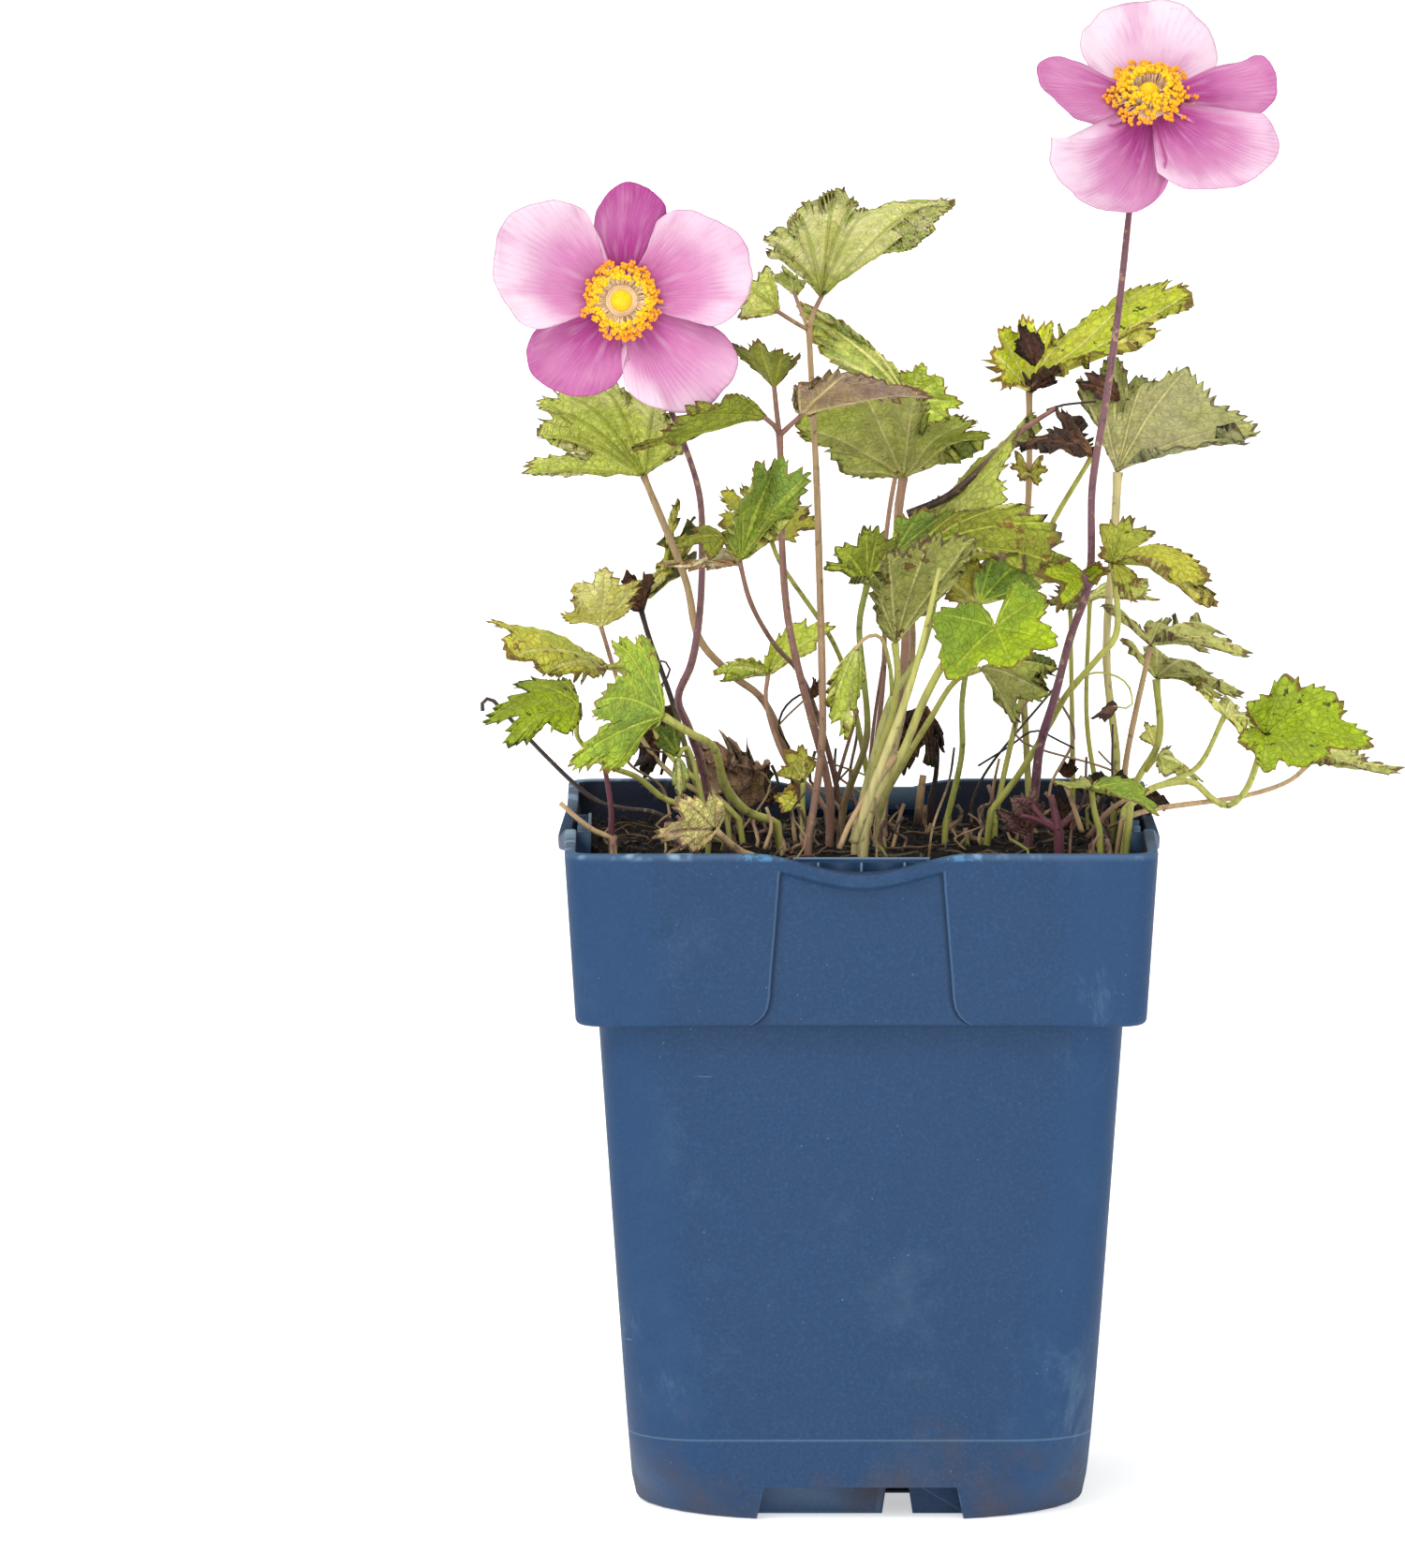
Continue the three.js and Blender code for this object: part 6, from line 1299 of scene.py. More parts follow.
def plastic_material(pot):
    """Matte moulded plastic: a fine grain, worn rims and corners, scuffs, soil dried on the
    foot and a line where the mould met, with painted light: a lighter tone on the rounded
    corners, a highlight along the raised panels' edges and on the pockets' tops, and shade in
    the grooves at the panels' edges. The inside is darker and splashed. Marks hold the
    millimetres from the nearest panel's edge, how worn and lit a point is and how far inside
    it is."""
    graph = Graph("pot_plastic", pot.plastic, Specular_IOR_Level=0.3)
    x, y, z = graph.parts(graph.place)
    edge, rubbed, region = graph.marks()
    graph.paint(graph.noise(16, 3).ramp(0.3, 0.7, 0, 0.3), darker(pot.plastic, 0.8))
    grain = graph.noise(1600, 3, 0.6)
    graph.paint(grain.ramp(0.5, 0.72, 0, 0.5), darker(pot.plastic, 1.6))
    graph.paint(grain.ramp(0.5, 0.32, 0, 0.4), darker(pot.plastic, 0.6))
    haze = graph.noise(34, 5, 0.7)
    graph.paint(haze.ramp(0.5, 0.8, 0, 0.1), pot.worn)
    top = pot.height
    rub = z.ramp(top - 0.0016, top - 0.0003) * graph.noise(44, 4, 0.75).ramp(0.5, 0.57, 0.18, 1)
    corner = (abs(x) * abs(y) - (z * 0.0085 + 0.0009)).ramp(0.0, 0.0004)
    # Painted shading: the rounded corners get a slightly lighter, bluer tone for how light falls on
    # them.
    graph.paint(corner * 0.45, pot.corner)
    front = y.ramp(-0.052, -0.0525) * abs(abs(x) - 0.0187).ramp(0.005, 0.0025)
    chipped = z.ramp(top - 0.0016, top - 0.0009) * graph.noise(420, 4, 0.7).ramp(0.46, 0.54)
    graph.paint(front * chipped, pot.chipped)
    scratch = graph.noise(110, 6, 0.8, vector=graph.stretched(1, 1, 0.4), distortion=0.6)
    scuff = corner * scratch.ramp(0.5, 0.72, 0, 0.16) * graph.noise(24, 2).ramp(0.5, 0.62)
    hair = graph.noise(40, 3, 0.9, vector=graph.stretched(0.5, 0.5, 5), distortion=2.5)
    scuff = scuff.or_more(hair.ramp(0.735, 0.77, 0, 0.3))
    # Painted highlight: a light line along the edge of each raised panel, laid on together with the
    # wear on the rims, the pockets' tops and the scuffs.
    ridge = abs(edge - 0.35).ramp(0.1, 0.3, 0.16, 0)
    graph.paint(rub.or_more(rubbed).or_more(ridge).or_more(scuff), pot.worn)
    # Painted shade: a dark line in the groove at the edge of each raised panel.
    graph.paint(abs(edge + 0.3).ramp(0.1, 0.55, 0.62, 0), darker(pot.plastic, 0.4))
    mud = (graph.noise(48, 5, 0.6) + z.ramp(0.03, 0.0, 0, 0.22)).ramp(0.62, 0.86, 0, 0.62)
    mud = mud * z.ramp(0.034, 0.012)
    graph.paint(mud, pot.dirt)
    speck = graph.cells(520).ramp(0.1, 0.05, 0, 0.55) * graph.noise(90, 2).ramp(0.48, 0.75)
    graph.paint(speck, pot.worn)
    brown = graph.cells(330).ramp(0.1, 0.06, 0, 0.8) * graph.noise(60, 2).ramp(0.52, 0.66)
    graph.paint(brown, darker(pot.dirt, 0.5))
    seam = abs(z - 0.0153).ramp(0.0001, 0.0003, 1, 0)
    graph.paint(seam * 0.22, pot.worn)
    graph.paint(region, pot.inside)
    graph.paint(graph.noise(150, 4).ramp(0.58, 0.66, 0, 0.5) * region, pot.dirt)
    height = seam * -1.2 + grain + mud * 0.9 + scuff * -0.5
    return graph.done(mud * 0.3 + haze.ramp(0.3, 0.7, 0.5, 0.62), height, 0.3, 0.0003)


def peat_material(soil):
    graph = Graph("peat", darker(soil.peat, 0.45), Specular_IOR_Level=0.25)
    grain = graph.noise(420, 6, 0.7)
    graph.paint(grain.ramp(0.35, 0.7), soil.peat)
    graph.paint(graph.noise(900, 2).ramp(0.66, 0.72, 0, 0.8), soil.fibre)
    return graph.done(0.92, grain + graph.cells(260), 1.0, 0.0012)


# Pieces


def make_pot(pot):
    """The whole pot as one closed skin: foot, body, collar, lips, rim, inside and floor."""
    material = plastic_material(pot)
    height, collar_foot = pot.height / MM, (pot.height - pot.collar_height) / MM
    foot, body = pot.foot_half / MM, pot.body_half / MM
    collar, rim = pot.collar_half / MM, pot.rim_half / MM
    wall, floor = pot.wall / MM, pot.floor / MM
    depth, drop, flare = pot.panel_depth / MM, pot.lip_drop / MM, pot.lip_flare / MM
    levels = [[0, 31], [2.5, 27.5], [8, 20], [15, 14], [25, 10], [40, 7], [60, 5.5], [130, 5.5]]

    def body_at(z):
        return foot + (body - foot) * z / collar_foot

    def corner_at(z):
        return np.interp(z, *zip(*levels))

    def collar_at(z):
        return collar + (rim - collar) * (z - collar_foot) / (height - collar_foot)

    lip_half = 20.5
    rows = []  # height, half width, corner radius, panel edge, panel depth, drop, flare, region

    def row(z, half, radius, panel=17.0, depth=0.0, drop=0.0, flare=0.0, region=0.0):
        rows.append((z, half, radius, panel, depth, drop, flare, region))

    row(1.4, 0.0, 0.0, 0)
    row(1.4, 32.5, 24, 12)
    row(1.2, 33.0, 24, 12)
    row(0.0, 33.6, 24.5, 12)
    for z, inset in ((0, 1.0), (0.12, 0.45), (0.5, 0.1), (1.0, 0)):
        row(z, body_at(z) - inset, corner_at(z) - inset, 14)
    for z in (2.5, 4.5, 6.3, 8, 10, 12.5, 15, 15.6, 18, 21, 25, 30, 35, 40, 47, 55, 63, 71, 79,
              86, 90.5, collar_foot - 0.5):
        row(z, body_at(z), corner_at(z), 14 + 4 * z / collar_foot)
    row(collar_foot - 0.02, body_at(collar_foot) + 0.1, 5.4, 19.4)
    row(collar_foot, collar_at(collar_foot) - 0.9, 4.0, 19.6)
    for up, inset, panel in (
        (0.12, 0.6, 21.4), (0.4, 0.25, 20.2), (1, 0, 19.1), (2, 0, 18), (3.5, 0, 17.2),
        (5.5, 0, 16.8), (10, 0, 16.5), (17, 0, 15.9), (23.6, 0, 15.4), (26, 0, 15.2),
        (28, 0, 15.1), *((up, 0, 15) for up in (29.2, 29.7, 30, 30.3, 31.2, 32.1)),
        (32.45, 0.12, 15), (32.6, 0.45, 15),
    ):
        z = collar_foot + up * (height - collar_foot) / 32.6
        share = float(smoothstep(up, 21, 29.5))
        stand = float(smoothstep(up, 29.3, 30.2))
        row(z, collar_at(z) - inset, 4.2 + up * 0.025, panel,
            depth * float(smoothstep(up, 0.3, 1.2)) * (1 - stand), drop * share,
            flare * (0.12 * share + 0.88 * stand))
    back = wall + 0.1 + depth
    row(height, rim - 1.4, 4.0, drop=drop, flare=flare)
    row(height - 0.15, rim - back + 0.12, 3.6, drop=drop, flare=flare, region=0.3)
    row(height - 0.5, rim - back, 3.5, drop=2.8, flare=1.4, region=1)
    row(height - 3.5, rim - back, 3.5, drop=0.8, flare=0.6, region=1)
    for z in (height - 6, 118, 110, 100, collar_foot + 1.9):
        row(z, collar_at(z) - back, 3.4, region=1)
    row(collar_foot + 1.5, body - 1, 3.4, region=1)
    for z in (collar_foot - 2, 80, 60, 40, 25, 15, floor + 0.8):
        row(z, body_at(z) - wall, corner_at(z) - wall, region=1)
    row(floor, body_at(floor) - wall - 0.9, corner_at(floor) - wall, region=1)
    row(floor, 0.0, 0.0, 0, region=1)

    flat = [0, 0.05, 0.1, 0.15, 0.2, 0.25, 0.3, 0.35, 0.38, 0.391, 0.395, 0.4, 0.405, 0.409, 0.42,
            0.45, 0.5, 0.56, 0.62, 0.68, 0.74, 0.8, 0.86, 0.93, 1.0]
    flat = np.array([-q for q in flat[:0:-1]] + flat)
    turns = np.linspace(0, math.pi / 2, 9)[1:-1]
    table = np.array(rows, float)[:, :, None]
    z, half, radius, panel, depth, drop, flare, region = (table[:, k] for k in range(8))
    straight = np.maximum(half - radius, 0)
    panel = np.minimum(panel, straight * 0.75)
    q = flat[None]
    near = np.minimum(np.abs(q) / 0.4, 1) * panel
    far = np.clip((np.abs(q) - 0.4) / 0.6, 0, 1) * (straight - panel)
    x = np.sign(q) * (near + far)
    lip = np.cos(np.minimum(np.abs(x) / lip_half, 1) * math.pi / 2) ** 2
    out = half - depth * (1 - smoothstep(np.abs(q), 0.392, 0.408)) + flare * lip
    side = side_by_side(x, out, z - drop * lip)
    arc_x = straight + radius * np.sin(turns)[None]
    arc_out = straight + radius * np.cos(turns)[None]
    arc = side_by_side(arc_x, arc_out, z)
    quarter = np.concatenate((side, arc), axis=1)
    walls = []
    for turn in range(4):
        angle = turn * math.pi / 2
        c, s = math.cos(angle), math.sin(angle)
        px, po, pz = np.moveaxis(quarter, -1, 0)
        walls.append(side_by_side(px * c + po * s, px * s - po * c, pz))
    points = np.concatenate(walls + [walls[0][:, :1]], axis=1)
    gap = np.where(depth > 0, np.abs(x) - panel, 9.0)
    gap = np.concatenate((gap, np.full((len(rows), len(turns)), 9.0)), axis=1)
    gap = np.concatenate((*[gap] * 4, gap[:, :1]), axis=1)
    marks = side_by_side(gap, gap * 0, region)
    form = Form()
    form.skin(points, marks, [material])
    for turn in range(4):
        pocket(form, turn, rim - back, height)
    cut_foot(form.finish("pot_shell", "pot_plastic", ["pot"], crease=38))


def pocket(form, turn, wall_at, height):
    """The label pocket behind a lip: a low wall on two returns, with three ribs in front of it."""
    back = -wall_at + 2.6
    boxes = [(0, back - 0.3, 25.4, 0.6, 0, 0.75), (0, back - 0.9, 24.8, 0.5, 0.65, 0.55),
             (-12.4, back - 1.8, 0.7, 3.2, 0.35, 0.5), (12.4, back - 1.8, 0.7, 3.2, 0.35, 0.5)]
    boxes += [(x, back - 1.8, 0.5, 1.6, 0.8, 0.75) for x in (-8, 0, 8)]
    for x, y, width, depth, low, rubbed in boxes:
        matrix = Matrix.Rotation(turn * math.pi / 2, 4, "Z") @ Matrix.Translation(
            (x, y, height - 3.35 - low)) @ Matrix.Diagonal((width, depth, 4.5, 1))
        made = bmesh.ops.create_cube(form.mesh, size=1, matrix=matrix)["verts"]
        for vert in made:
            # The second mark is wear and a painted highlight on the tops of the walls and ribs,
            # fading to nothing at their feet.
            vert[form.mark] = (9.0, rubbed if vert.co.z > height - 3.3 else 0.0, 0.25)
        edges = list({e for v in made for e in v.link_edges})
        bmesh.ops.bevel(form.mesh, geom=edges, offset=0.2, segments=2, profile=0.5,
                        affect="EDGES", material=-1)


def cut_foot(piece):
    """Cuts the notches of the foot, the drain channels behind them and the drain holes."""
    mesh = bmesh.new()
    for turn in range(4):
        spin = Matrix.Rotation(turn * math.pi / 2, 4, "Z")
        for x, y, z, low, high, depth, rise in (
            (0, -45.2, 2.65, 39, 36, 22, 7.3), (7, -28, 2.65, 6, 3.8, 16, 7.3),
            (7, -22.5, 7, 6, 6, 7, 10.4),
        ):
            made = bmesh.ops.create_cube(mesh, size=1)["verts"]
            for vert in made:
                width = high if vert.co.z > 0 else low
                vert.co = spin @ Vector(((x + vert.co.x * width) * MM, (y + vert.co.y * depth) * MM,
                                         (z + vert.co.z * rise) * MM))
    data = bpy.data.meshes.new("foot_cutter")
    mesh.to_mesh(data)
    mesh.free()
    cutter = bpy.data.objects.new("foot_cutter", data)
    bpy.context.scene.collection.objects.link(cutter)
    cut = piece.modifiers.new("foot", "BOOLEAN")
    cut.operation, cut.solver, cut.use_self, cut.object = "DIFFERENCE", "EXACT", True, cutter
    made = bpy.data.meshes.new_from_object(
        piece.evaluated_get(bpy.context.evaluated_depsgraph_get()))
    piece.modifiers.clear()
    old = piece.data
    piece.data = made
    made.name = "pot_shell"
    bpy.data.meshes.remove(old)
    bpy.data.objects.remove(cutter)
    bpy.data.meshes.remove(data)


def make_soil(soil, pot):
    """Lumpy peat with crumbs and dry fibres lying on it."""
    random = np.random.default_rng(5)
    fibre = grainy("dry_fibre", soil.fibre, darker(soil.fibre, 0.2), 500, 0.8)
    crumb = grainy("peat_crumb", soil.peat, darker(soil.peat, 1.7), 600, 0.95)
    level, rise = soil.level / MM, soil.rise / MM
    collar_foot = (pot.height - pot.collar_height) / MM
    inset = pot.wall / MM + 0.3
    limit = 50.9
    lumps = ((21, 17, 0.6), (22, 6, 0.5), (23, 2.6, 0.3))  # seed, length, height

    def surface(x, y):
        spot = side_by_side(x, y, 0.0)
        total = level + rise * (1 - np.clip(np.maximum(abs(x), abs(y)) / limit, 0, 1)) - 0.2
        for seed, length, high in lumps:
            total = total + waves(spot, length, np.random.default_rng(seed)) * high
        return total

    turn = np.linspace(0, 2 * math.pi, 161)

    def ring(half, radius, z=None):
        reach = half - radius
        out = np.maximum(np.abs(np.cos(turn)), np.abs(np.sin(turn)))
        square = np.stack((np.cos(turn), np.sin(turn)), axis=-1) / out[:, None] * half
        bound = np.clip(square, -reach, reach)
        away = square - bound
        size = np.linalg.norm(away, axis=1, keepdims=True)
        flat = bound + away * np.minimum(radius / np.maximum(size, 1e-9), 1)
        high = surface(flat[:, 0], flat[:, 1]) if z is None else np.full(len(turn), float(z))
        return np.column_stack((flat, high))

    body = [(z, (pot.foot_half + (pot.body_half - pot.foot_half) * z / collar_foot) / MM - inset, r)
            for z, r in ((7.8, 18.6), (15, 12.6), (25, 8.6), (40, 5.6), (60, 4.1), (96.2, 4.1))]
    rings = [ring(0.01, 0.0, 7.8)] + [ring(half, radius, z) for z, half, radius in body]
    rings += [ring(50.9, 3.9, 96.2), ring(52.2, 3.9, 118.2), ring(limit + 1.1, 3.8)]
    rings += [ring((limit + 1.1) * s, 3.8 * s) for s in np.linspace(0.98, 0.0, 48)]
    points = np.stack(rings)
    form = Form()
    form.skin(points, points * 0, [peat_material(soil)])
    for _ in range(soil.crumbs):
        x, y = random.uniform(-50, 50, 2)
        size = random.uniform(0.35, 1.25) * random.uniform(0.5, 1)
        made = form.ball((x, y, float(surface(x, y)) + size * 0.3),
                         size * random.uniform(0.6, 1.2, 3), crumb, random.normal(size=3),
                         random.uniform(0, 0.6), detail=1)
        for vert in made:
            vert.co += Vector(random.normal(size=3)) * size * 0.14
    for number in range(soil.fibres):
        x, y = random.uniform(-47, 47, 2)
        way = random.uniform(0, 2 * math.pi)
        run = random.uniform(2.5, 11) * (2.2 if number % 7 == 0 else 1)
        share = np.linspace(-0.5, 0.5, 5)
        curl = random.uniform(-0.6, 0.6) * share**2 * 4
        px = np.clip(x + np.cos(way + curl) * share * run, -49, 49)
        py = np.clip(y + np.sin(way + curl) * share * run, -49, 49)
        thick = random.uniform(0.1, 0.34) * (1.6 if number % 9 == 0 else 1)
        pz = surface(px, py) + thick + random.uniform(0, 0.5) + share * random.uniform(-1.5, 1.5)
        form.tube(np.column_stack((px, py, pz)), thick * (1 - np.abs(share)), fibre, 4,
                  random.uniform(0, 1))
    form.finish("peat_body", "peat", ["soil"])


OLD_STALKS = ("mauve", "dark"), ("tan", "dark"), ("tan", "mauve"), ("green", "mauve")


def make_leafy_stem(one, foliage, stalks, random):
    """One leaf or leafy stem, with its stalks and blades."""
    form = Form()
    for number, (widths, path, *colours) in enumerate(one["stalks"]):
        material = stalk_material(*colours or [one["colours"]])
        stalk(form, widths, points(*path), material, stalks, random, rooted=number == 0)
    entry = points(*one["stalks"][0][1])[-1]
    for number in range(stalks.stubs):
        foot = entry + (*random.normal(size=2) * 4.5, 0)
        foot = np.append(np.clip(foot[:2], -47, 47), 119.5)
        old = number == 0 and random.uniform() < 0.4
        rise = random.uniform(12, 30) if old else random.uniform(2, 9)
        lean = random.normal(size=3) * (rise * 0.16, rise * 0.16, 0)
        ends = foot + lean * random.uniform(0.6, 2) + UP * rise
        sway = random.normal(size=3) * (rise * 0.13, rise * 0.13, 0)
        bits = (foot, foot + sway + UP * rise * 0.35, ends - sway - UP * rise * 0.3, ends)
        bits = np.clip(bits, -50, 165)
        colours = OLD_STALKS[random.integers(len(OLD_STALKS))]
        form.tube(smooth_path(bits, 2.0), random.uniform(0.2, 0.34 if old else 0.5),
                  stalk_material(colours), 6)
    for part in one["blades"]:
        leaf_blade(form, part, foliage, random)
    node = one["node"]
    slot = {"leaf": "leaf", "dried": "dried_leaf"}.get(node.split("_")[0], "bare_stem")
    form.finish("grown_" + node, slot, [node])


def finish_part(form, one, part, slot):
    name = one["name"]
    form.finish("%s_%s" % (slot, name), slot, ["bloom_%s_%s" % (name, part)])


def make_bloom_stalk(one, foliage, stalks, random):
    """The flower stalk with its joint, its leaflets and the seat of the bloom."""
    material = flower_stalk_material()
    form = Form()
    centre, axis = one["centre"], one["axis"]
    widths, path = one["stalk"]
    path = np.vstack((centre - axis * 2.1, points(*path)))
    stalk(form, widths, path, material, stalks, random, rooted=True)
    seat = [centre - axis * d for d in (2.6, 2.0, 1.3, 0.95)]
    form.tube(np.array(seat), (0.9, 1.3, 1.75, 1.9), material, 16)
    for leaflet in one["leaflets"]:
        leaf_blade(form, leaflet, foliage, random)
    if one["leaflets"]:
        form.ball(one["leaflets"][0]["base"], (1.55, 1.55, 2.1), material, detail=3)
    finish_part(form, one, "stalk", "flower_stalk")


def make_sepals(one, bloom, random):
    """A whorl of broad cupped sepals on a small disc."""
    front, back = sepal_material("front"), sepal_material("back")
    form = Form()
    centre, axis = one["centre"], one["axis"]
    for (inner, outer, tilt), tips, *bend in one["sepals"]:
        ribs = smooth_path(points(*tips), 1.2) - centre
        for _ in range(4):
            ribs[1:-1] = (ribs[:-2] + 2 * ribs[1:-1] + ribs[2:]) / 4
        last = len(ribs) - 1
        beyond = 1.0
        stations = np.linspace(-beyond, last + beyond, last * 2 + 5)
        past = np.clip(np.maximum(-stations, stations - last) / beyond, 0, 1)
        reach = 1.01 * (1 - past**2.2) ** 0.5
        reach = reach * (1 + 0.006 * np.sin(stations * 0.7 + random.uniform(0, 6))
                         + 0.003 * np.sin(stations * 1.7 + random.uniform(0, 6)))
        radials = np.linspace(0, 1, 25) ** 0.9
        span = stations / last
        cuts = np.zeros(len(stations))
        cuts[1:-1] = np.abs(random.normal(size=len(stations) - 2)) * 0.03
        shade = inner + (outer - inner) * smoothstep(radials, 0.2, 0.95)[:, None]
        shade = shade + tilt * (span[None] - 0.5) * smoothstep(radials, 0.3, 0.95)[:, None]
        long = np.linalg.norm(ribs, axis=1).max()

        def shape(middle, normals, marks, share):
            bell = np.sin(np.pi * np.clip(span, 0, 1))[None]
            size = np.linalg.norm(ribs_at(ribs, stations), axis=1)[None] / long
            cup = (-1.1 * bell * np.sin(np.pi * share.clip(0, 1)) + 0.5 * share) * size
            furrow = 0.08 * np.sin(span[None] * 45) * smoothstep(share, 0.15, 0.6)
            slow = waves(middle, 12, random) * 0.55 * share
            roll = waves(middle, 6, random) * 0.4 * smoothstep(share, 0.75, 1.0)
            # marks along the fan: millimetres round it, along it, and from the edge
            marks[..., 0] = span[None] * long * 1.2
            marks[..., 1] = share * long
            move = (cup + furrow + slow + roll) * smoothstep(share, 0.0, 0.25) * (1 - past**2)
            if bend:
                middle = middle + (4 * share * (1 - share))[..., None] * bend[0]
            return middle + normals * move[..., None], (share * 0, share * 0)

        fan(form, centre, ribs, stations, reach, cuts, radials, shape, (front, back),
            np.concatenate((shade, shade[::-1])).clip(0, 1.15), bloom.thickness / MM, axis)
    disc = [centre + axis * (d - 0.75 * one["sunk"]) for d in (-0.8, -0.5, 0.2, 1.0, 1.5)]
    form.tube(np.array(disc), (1.9, 4.4, 5.2, 5.0, 4.9), back, 24, tint=0.7)
    finish_part(form, one, "sepals", "sepals")


def make_stamens(one, bloom, random):
    """A crowd of thin filaments, each with a pair of anther lobes."""
    anther = grainy("anther", bloom.anther, (1.0, 0.66, 0.0), 900, 0.6)
    thread = grainy("filament", bloom.filament, (1.0, 0.8, 0.56), 700, 0.55)
    form = Form()
    centre, axis, sunk = one["centre"], one["axis"], one["sunk"]
    across = unit(np.array((1.0, 0, 0)) - axis * axis[0])
    up = np.cross(axis, across)
    reach = bloom.reach / MM * one["spread"]
    ring = np.linspace(0, 2 * math.pi, 25)[:, None]
    form.tube(centre + axis * (2.6 - sunk) + (across * np.cos(ring) + up * np.sin(ring)) * 2.8,
              0.3, thread, 8)
    form.ball(centre + axis * (1.4 - sunk * 0.75), (4.9, 4.9, 1.5), thread, axis, 0.9, detail=4)
    for number in range(round(bloom.stamens * one["spread"])):
        angle = number * GOLDEN_ANGLE + random.uniform(-0.12, 0.12)
        out = across * math.cos(angle) + up * math.sin(angle)
        inner = random.uniform(0, 1) ** 0.8
        far = reach * (1 - (0.42 + 0.07 * sunk) * inner) * random.uniform(0.96, 1.04)
        lift = 3.2 - sunk * 0.8 + 4.4 * (1 - far / reach) + random.uniform(-0.5, 0.5)
        start = centre + axis * (2.5 - sunk) + out * 2.8
        tip = centre + axis * lift + out * far
        bow = (start + tip) / 2 + axis * random.uniform(0.25, 0.7)
        side = np.cross(axis, out) * random.uniform(-0.35, 0.35)
        form.tube(np.stack((start, bow + side, tip)), (0.15, 0.12, 0.11), thread, 5,
                  random.uniform(0, 1))
        facing = unit(np.cross(axis, out) * random.uniform(-1, 1) + out * random.uniform(-0.4, 1)
                      + axis * random.uniform(0.1, 0.9))
        beside = unit(np.cross(facing, axis + random.normal(size=3) * 0.2))
        for way in (-1, 1):
            form.ball(tip + beside * 0.26 * way, (0.36, 0.42, 0.6 * random.uniform(0.8, 1.2)),
                      anther, facing, inner, detail=1)
    finish_part(form, one, "stamens", "stamens")


def make_carpels(one, bloom):
    """A ball of closely set pointed carpels on a short foot."""
    material = grainy("carpel", bloom.carpel, (1.0, 0.5, 0.0), 1100, 0.55)
    form = Form()
    centre, axis = one["centre"], one["axis"]
    radius = bloom.ball / MM
    middle = centre + axis * (4.1 - 1.05 * one["sunk"])
    made = form.ball(middle, (radius,) * 3, material, detail=5)
    count = 210
    k = np.arange(count)
    height = 1 - 2 * (k + 0.5) / count
    turn = k * GOLDEN_ANGLE
    width = np.sqrt(1 - height**2)
    seeds = side_by_side(width * np.cos(turn), width * np.sin(turn), height)
    places = np.array([v.co for v in made]) - middle
    ways = places / np.linalg.norm(places, axis=1, keepdims=True)
    nearest = (ways @ seeds.T).max(axis=1)
    bump = 1 - smoothstep(np.arccos(np.clip(nearest, -1, 1)), 0.0, 0.125)
    for vert, way, high in zip(made, ways.tolist(), bump.tolist()):
        vert.co = Vector(middle) + Vector(way) * radius * (0.93 + 0.085 * high)
        vert[form.tint] = high
    form.tube(np.linspace(centre - axis * 0.5, middle - axis * 0.9, 4), 1.25, material, 16)
    finish_part(form, one, "carpels", "carpels")


def make_stage(stage):
    """A wide pale floor, soft even light with a gentle key, and the camera."""
    scene = bpy.context.scene
    mesh = bmesh.new()
    bmesh.ops.create_grid(mesh, x_segments=1, y_segments=1, size=stage.floor_half)
    data = bpy.data.meshes.new("pale_floor")
    mesh.to_mesh(data)
    mesh.free()
    graph = Graph("pale_floor", stage.floor, Specular_IOR_Level=0.1, Emission_Strength=0.5,
                  Emission_Color=(1, 1, 1))
    graph.paint(graph.noise(3, 2).ramp(0.3, 0.7), darker(stage.floor, 0.99))
    data.materials.append(graph.done(0.9))
    ground = bpy.data.objects.new("pale_floor", data)
    scene.collection.objects.link(ground)
    ground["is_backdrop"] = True
    world = bpy.data.worlds.new("soft_sky")
    world.use_nodes = True
    sky = world.node_tree.nodes["Background"]
    sky.inputs[0].default_value = (1, 1, 1, 1)
    sky.inputs[1].default_value = stage.sky
    scene.world = world
    for name, strength, turn, spread in (
        ("key_light", stage.sun, (38, 0, -30), 40),
        ("front_light", stage.sun * 0.62, (80, 0, 8), 50),
    ):
        lamp = bpy.data.lights.new(name, "SUN")
        lamp.energy, lamp.angle = strength, math.radians(spread)
        light = bpy.data.objects.new(name, lamp)
        light.rotation_euler = [math.radians(a) for a in turn]
        scene.collection.objects.link(light)
    camera = bpy.data.cameras.new("photo_camera")
    camera.lens, camera.sensor_width, camera.sensor_fit = stage.lens, 36, "AUTO"
    camera.clip_start, camera.clip_end = 0.05, 60
    holder = bpy.data.objects.new("photo_camera", camera)
    a, e = stage.azimuth, stage.elevation
    back = Vector((math.sin(a) * math.cos(e), -math.cos(a) * math.cos(e), math.sin(e)))
    holder.location = Vector((-0.0294, 0, 0.133)) + back * stage.distance
    holder.rotation_euler = back.to_track_quat("Z", "Y").to_euler()
    scene.collection.objects.link(holder)
    scene.camera = holder
    scene.view_settings.view_transform = "Standard"


# Operators and panel


class ANEMONE_OT_stage(bpy.types.Operator):
    """Make the pale floor, the lights and the camera"""

    bl_idname = "anemone.stage"
    bl_label = "Stage"

    def execute(self, context):
        make_stage(context.scene.stage_settings)
        return {"FINISHED"}


class ANEMONE_OT_pot(bpy.types.Operator):
    """Make the moulded pot with its lips, pockets and drains"""

    bl_idname = "anemone.pot"
    bl_label = "Pot"

    def execute(self, context):
        make_pot(context.scene.pot_settings)
        return {"FINISHED"}


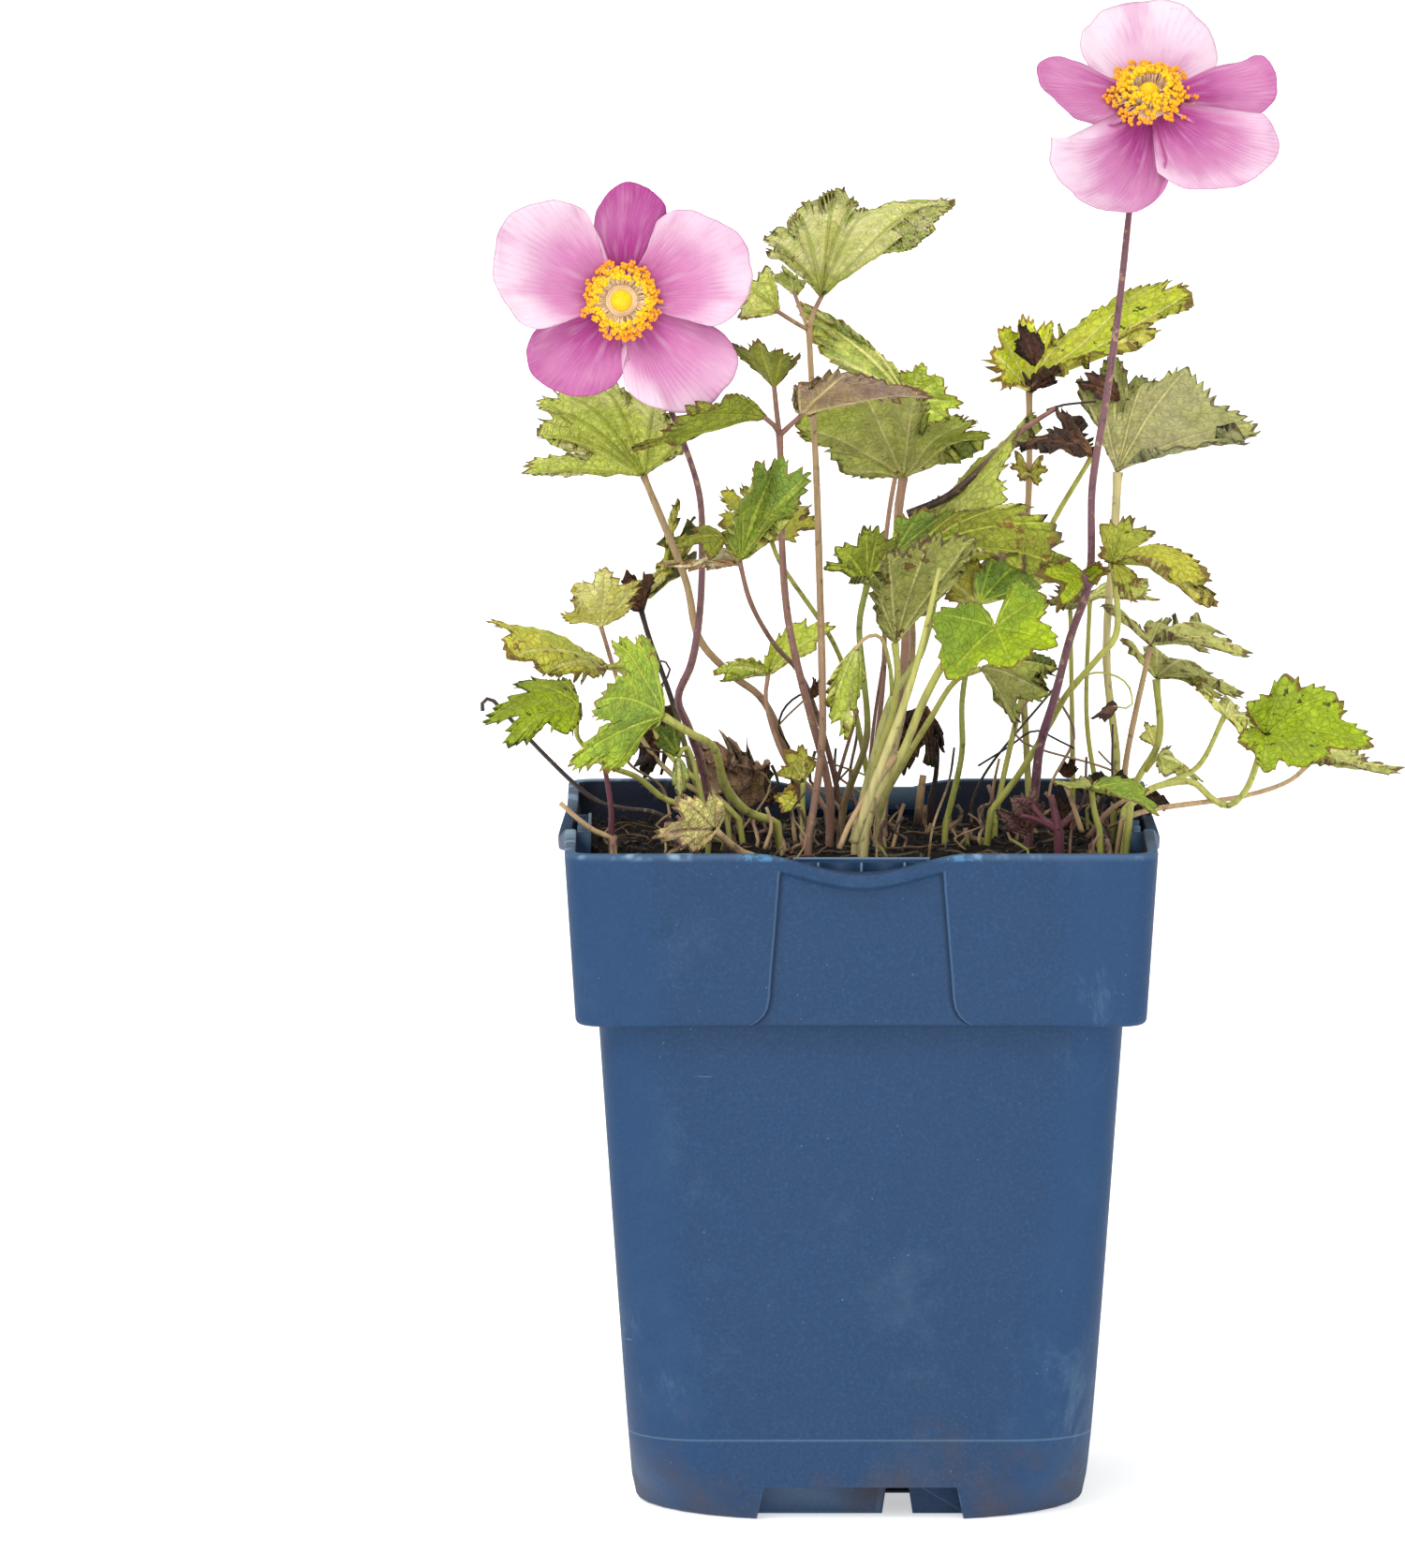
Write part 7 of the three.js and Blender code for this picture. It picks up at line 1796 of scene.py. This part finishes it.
class ANEMONE_OT_soil(bpy.types.Operator):
    """Make the peat with its crumbs and fibres"""

    bl_idname = "anemone.soil"
    bl_label = "Soil"

    def execute(self, context):
        make_soil(context.scene.soil_settings, context.scene.pot_settings)
        return {"FINISHED"}


class ANEMONE_OT_leaves(bpy.types.Operator):
    """Make every leaf and leafy stem"""

    bl_idname = "anemone.leaves"
    bl_label = "Leaves and stems"

    def execute(self, context):
        scene = context.scene
        for number, one in enumerate(LEAFY_STEMS):
            random = np.random.default_rng(100 + number)
            make_leafy_stem(one, scene.foliage_settings, scene.stalk_settings, random)
        return {"FINISHED"}


class ANEMONE_OT_blooms(bpy.types.Operator):
    """Make the blooms: stalks, sepals, stamens and carpels"""

    bl_idname = "anemone.blooms"
    bl_label = "Blooms"

    def execute(self, context):
        scene = context.scene
        for number, one in enumerate(BLOOMS):
            random = np.random.default_rng(500 + number)
            make_bloom_stalk(one, scene.foliage_settings, scene.stalk_settings, random)
            make_sepals(one, scene.bloom_settings, random)
            make_stamens(one, scene.bloom_settings, random)
            make_carpels(one, scene.bloom_settings)
        return {"FINISHED"}


class ANEMONE_PT_panel(bpy.types.Panel):
    bl_idname = "ANEMONE_PT_panel"
    bl_label = "Potted anemone"
    bl_space_type = "VIEW_3D"
    bl_region_type = "UI"
    bl_category = "Anemone"

    def draw(self, context):
        for one in OPERATORS:
            self.layout.operator(one.bl_idname)
        for name, settings in SETTINGS.items():
            box = self.layout.box()
            box.label(text=name.replace("_", " ").capitalize())
            for key in settings.__annotations__:
                box.prop(getattr(context.scene, name), key)


OPERATORS = (ANEMONE_OT_stage, ANEMONE_OT_pot, ANEMONE_OT_soil, ANEMONE_OT_leaves,
             ANEMONE_OT_blooms)
SETTINGS = {
    "pot_settings": PotSettings,
    "soil_settings": SoilSettings,
    "foliage_settings": FoliageSettings,
    "stalk_settings": StalkSettings,
    "bloom_settings": BloomSettings,
    "stage_settings": StageSettings,
}
CLASSES = (*SETTINGS.values(), *OPERATORS, ANEMONE_PT_panel)


def register():
    for one in CLASSES:
        bpy.utils.register_class(one)
    for name, settings in SETTINGS.items():
        setattr(bpy.types.Scene, name, bpy.props.PointerProperty(type=settings))


def unregister():
    for name in SETTINGS:
        delattr(bpy.types.Scene, name)
    for one in reversed(CLASSES):
        bpy.utils.unregister_class(one)


def main():
    register()
    bpy.ops.anemone.stage()
    bpy.ops.anemone.pot()
    bpy.ops.anemone.soil()
    bpy.ops.anemone.leaves()
    bpy.ops.anemone.blooms()
    sizes = {"cad": [list(c) for c in CAD_BOX], "visual": [list(c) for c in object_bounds()]}


if __name__ == "__main__":
    main()
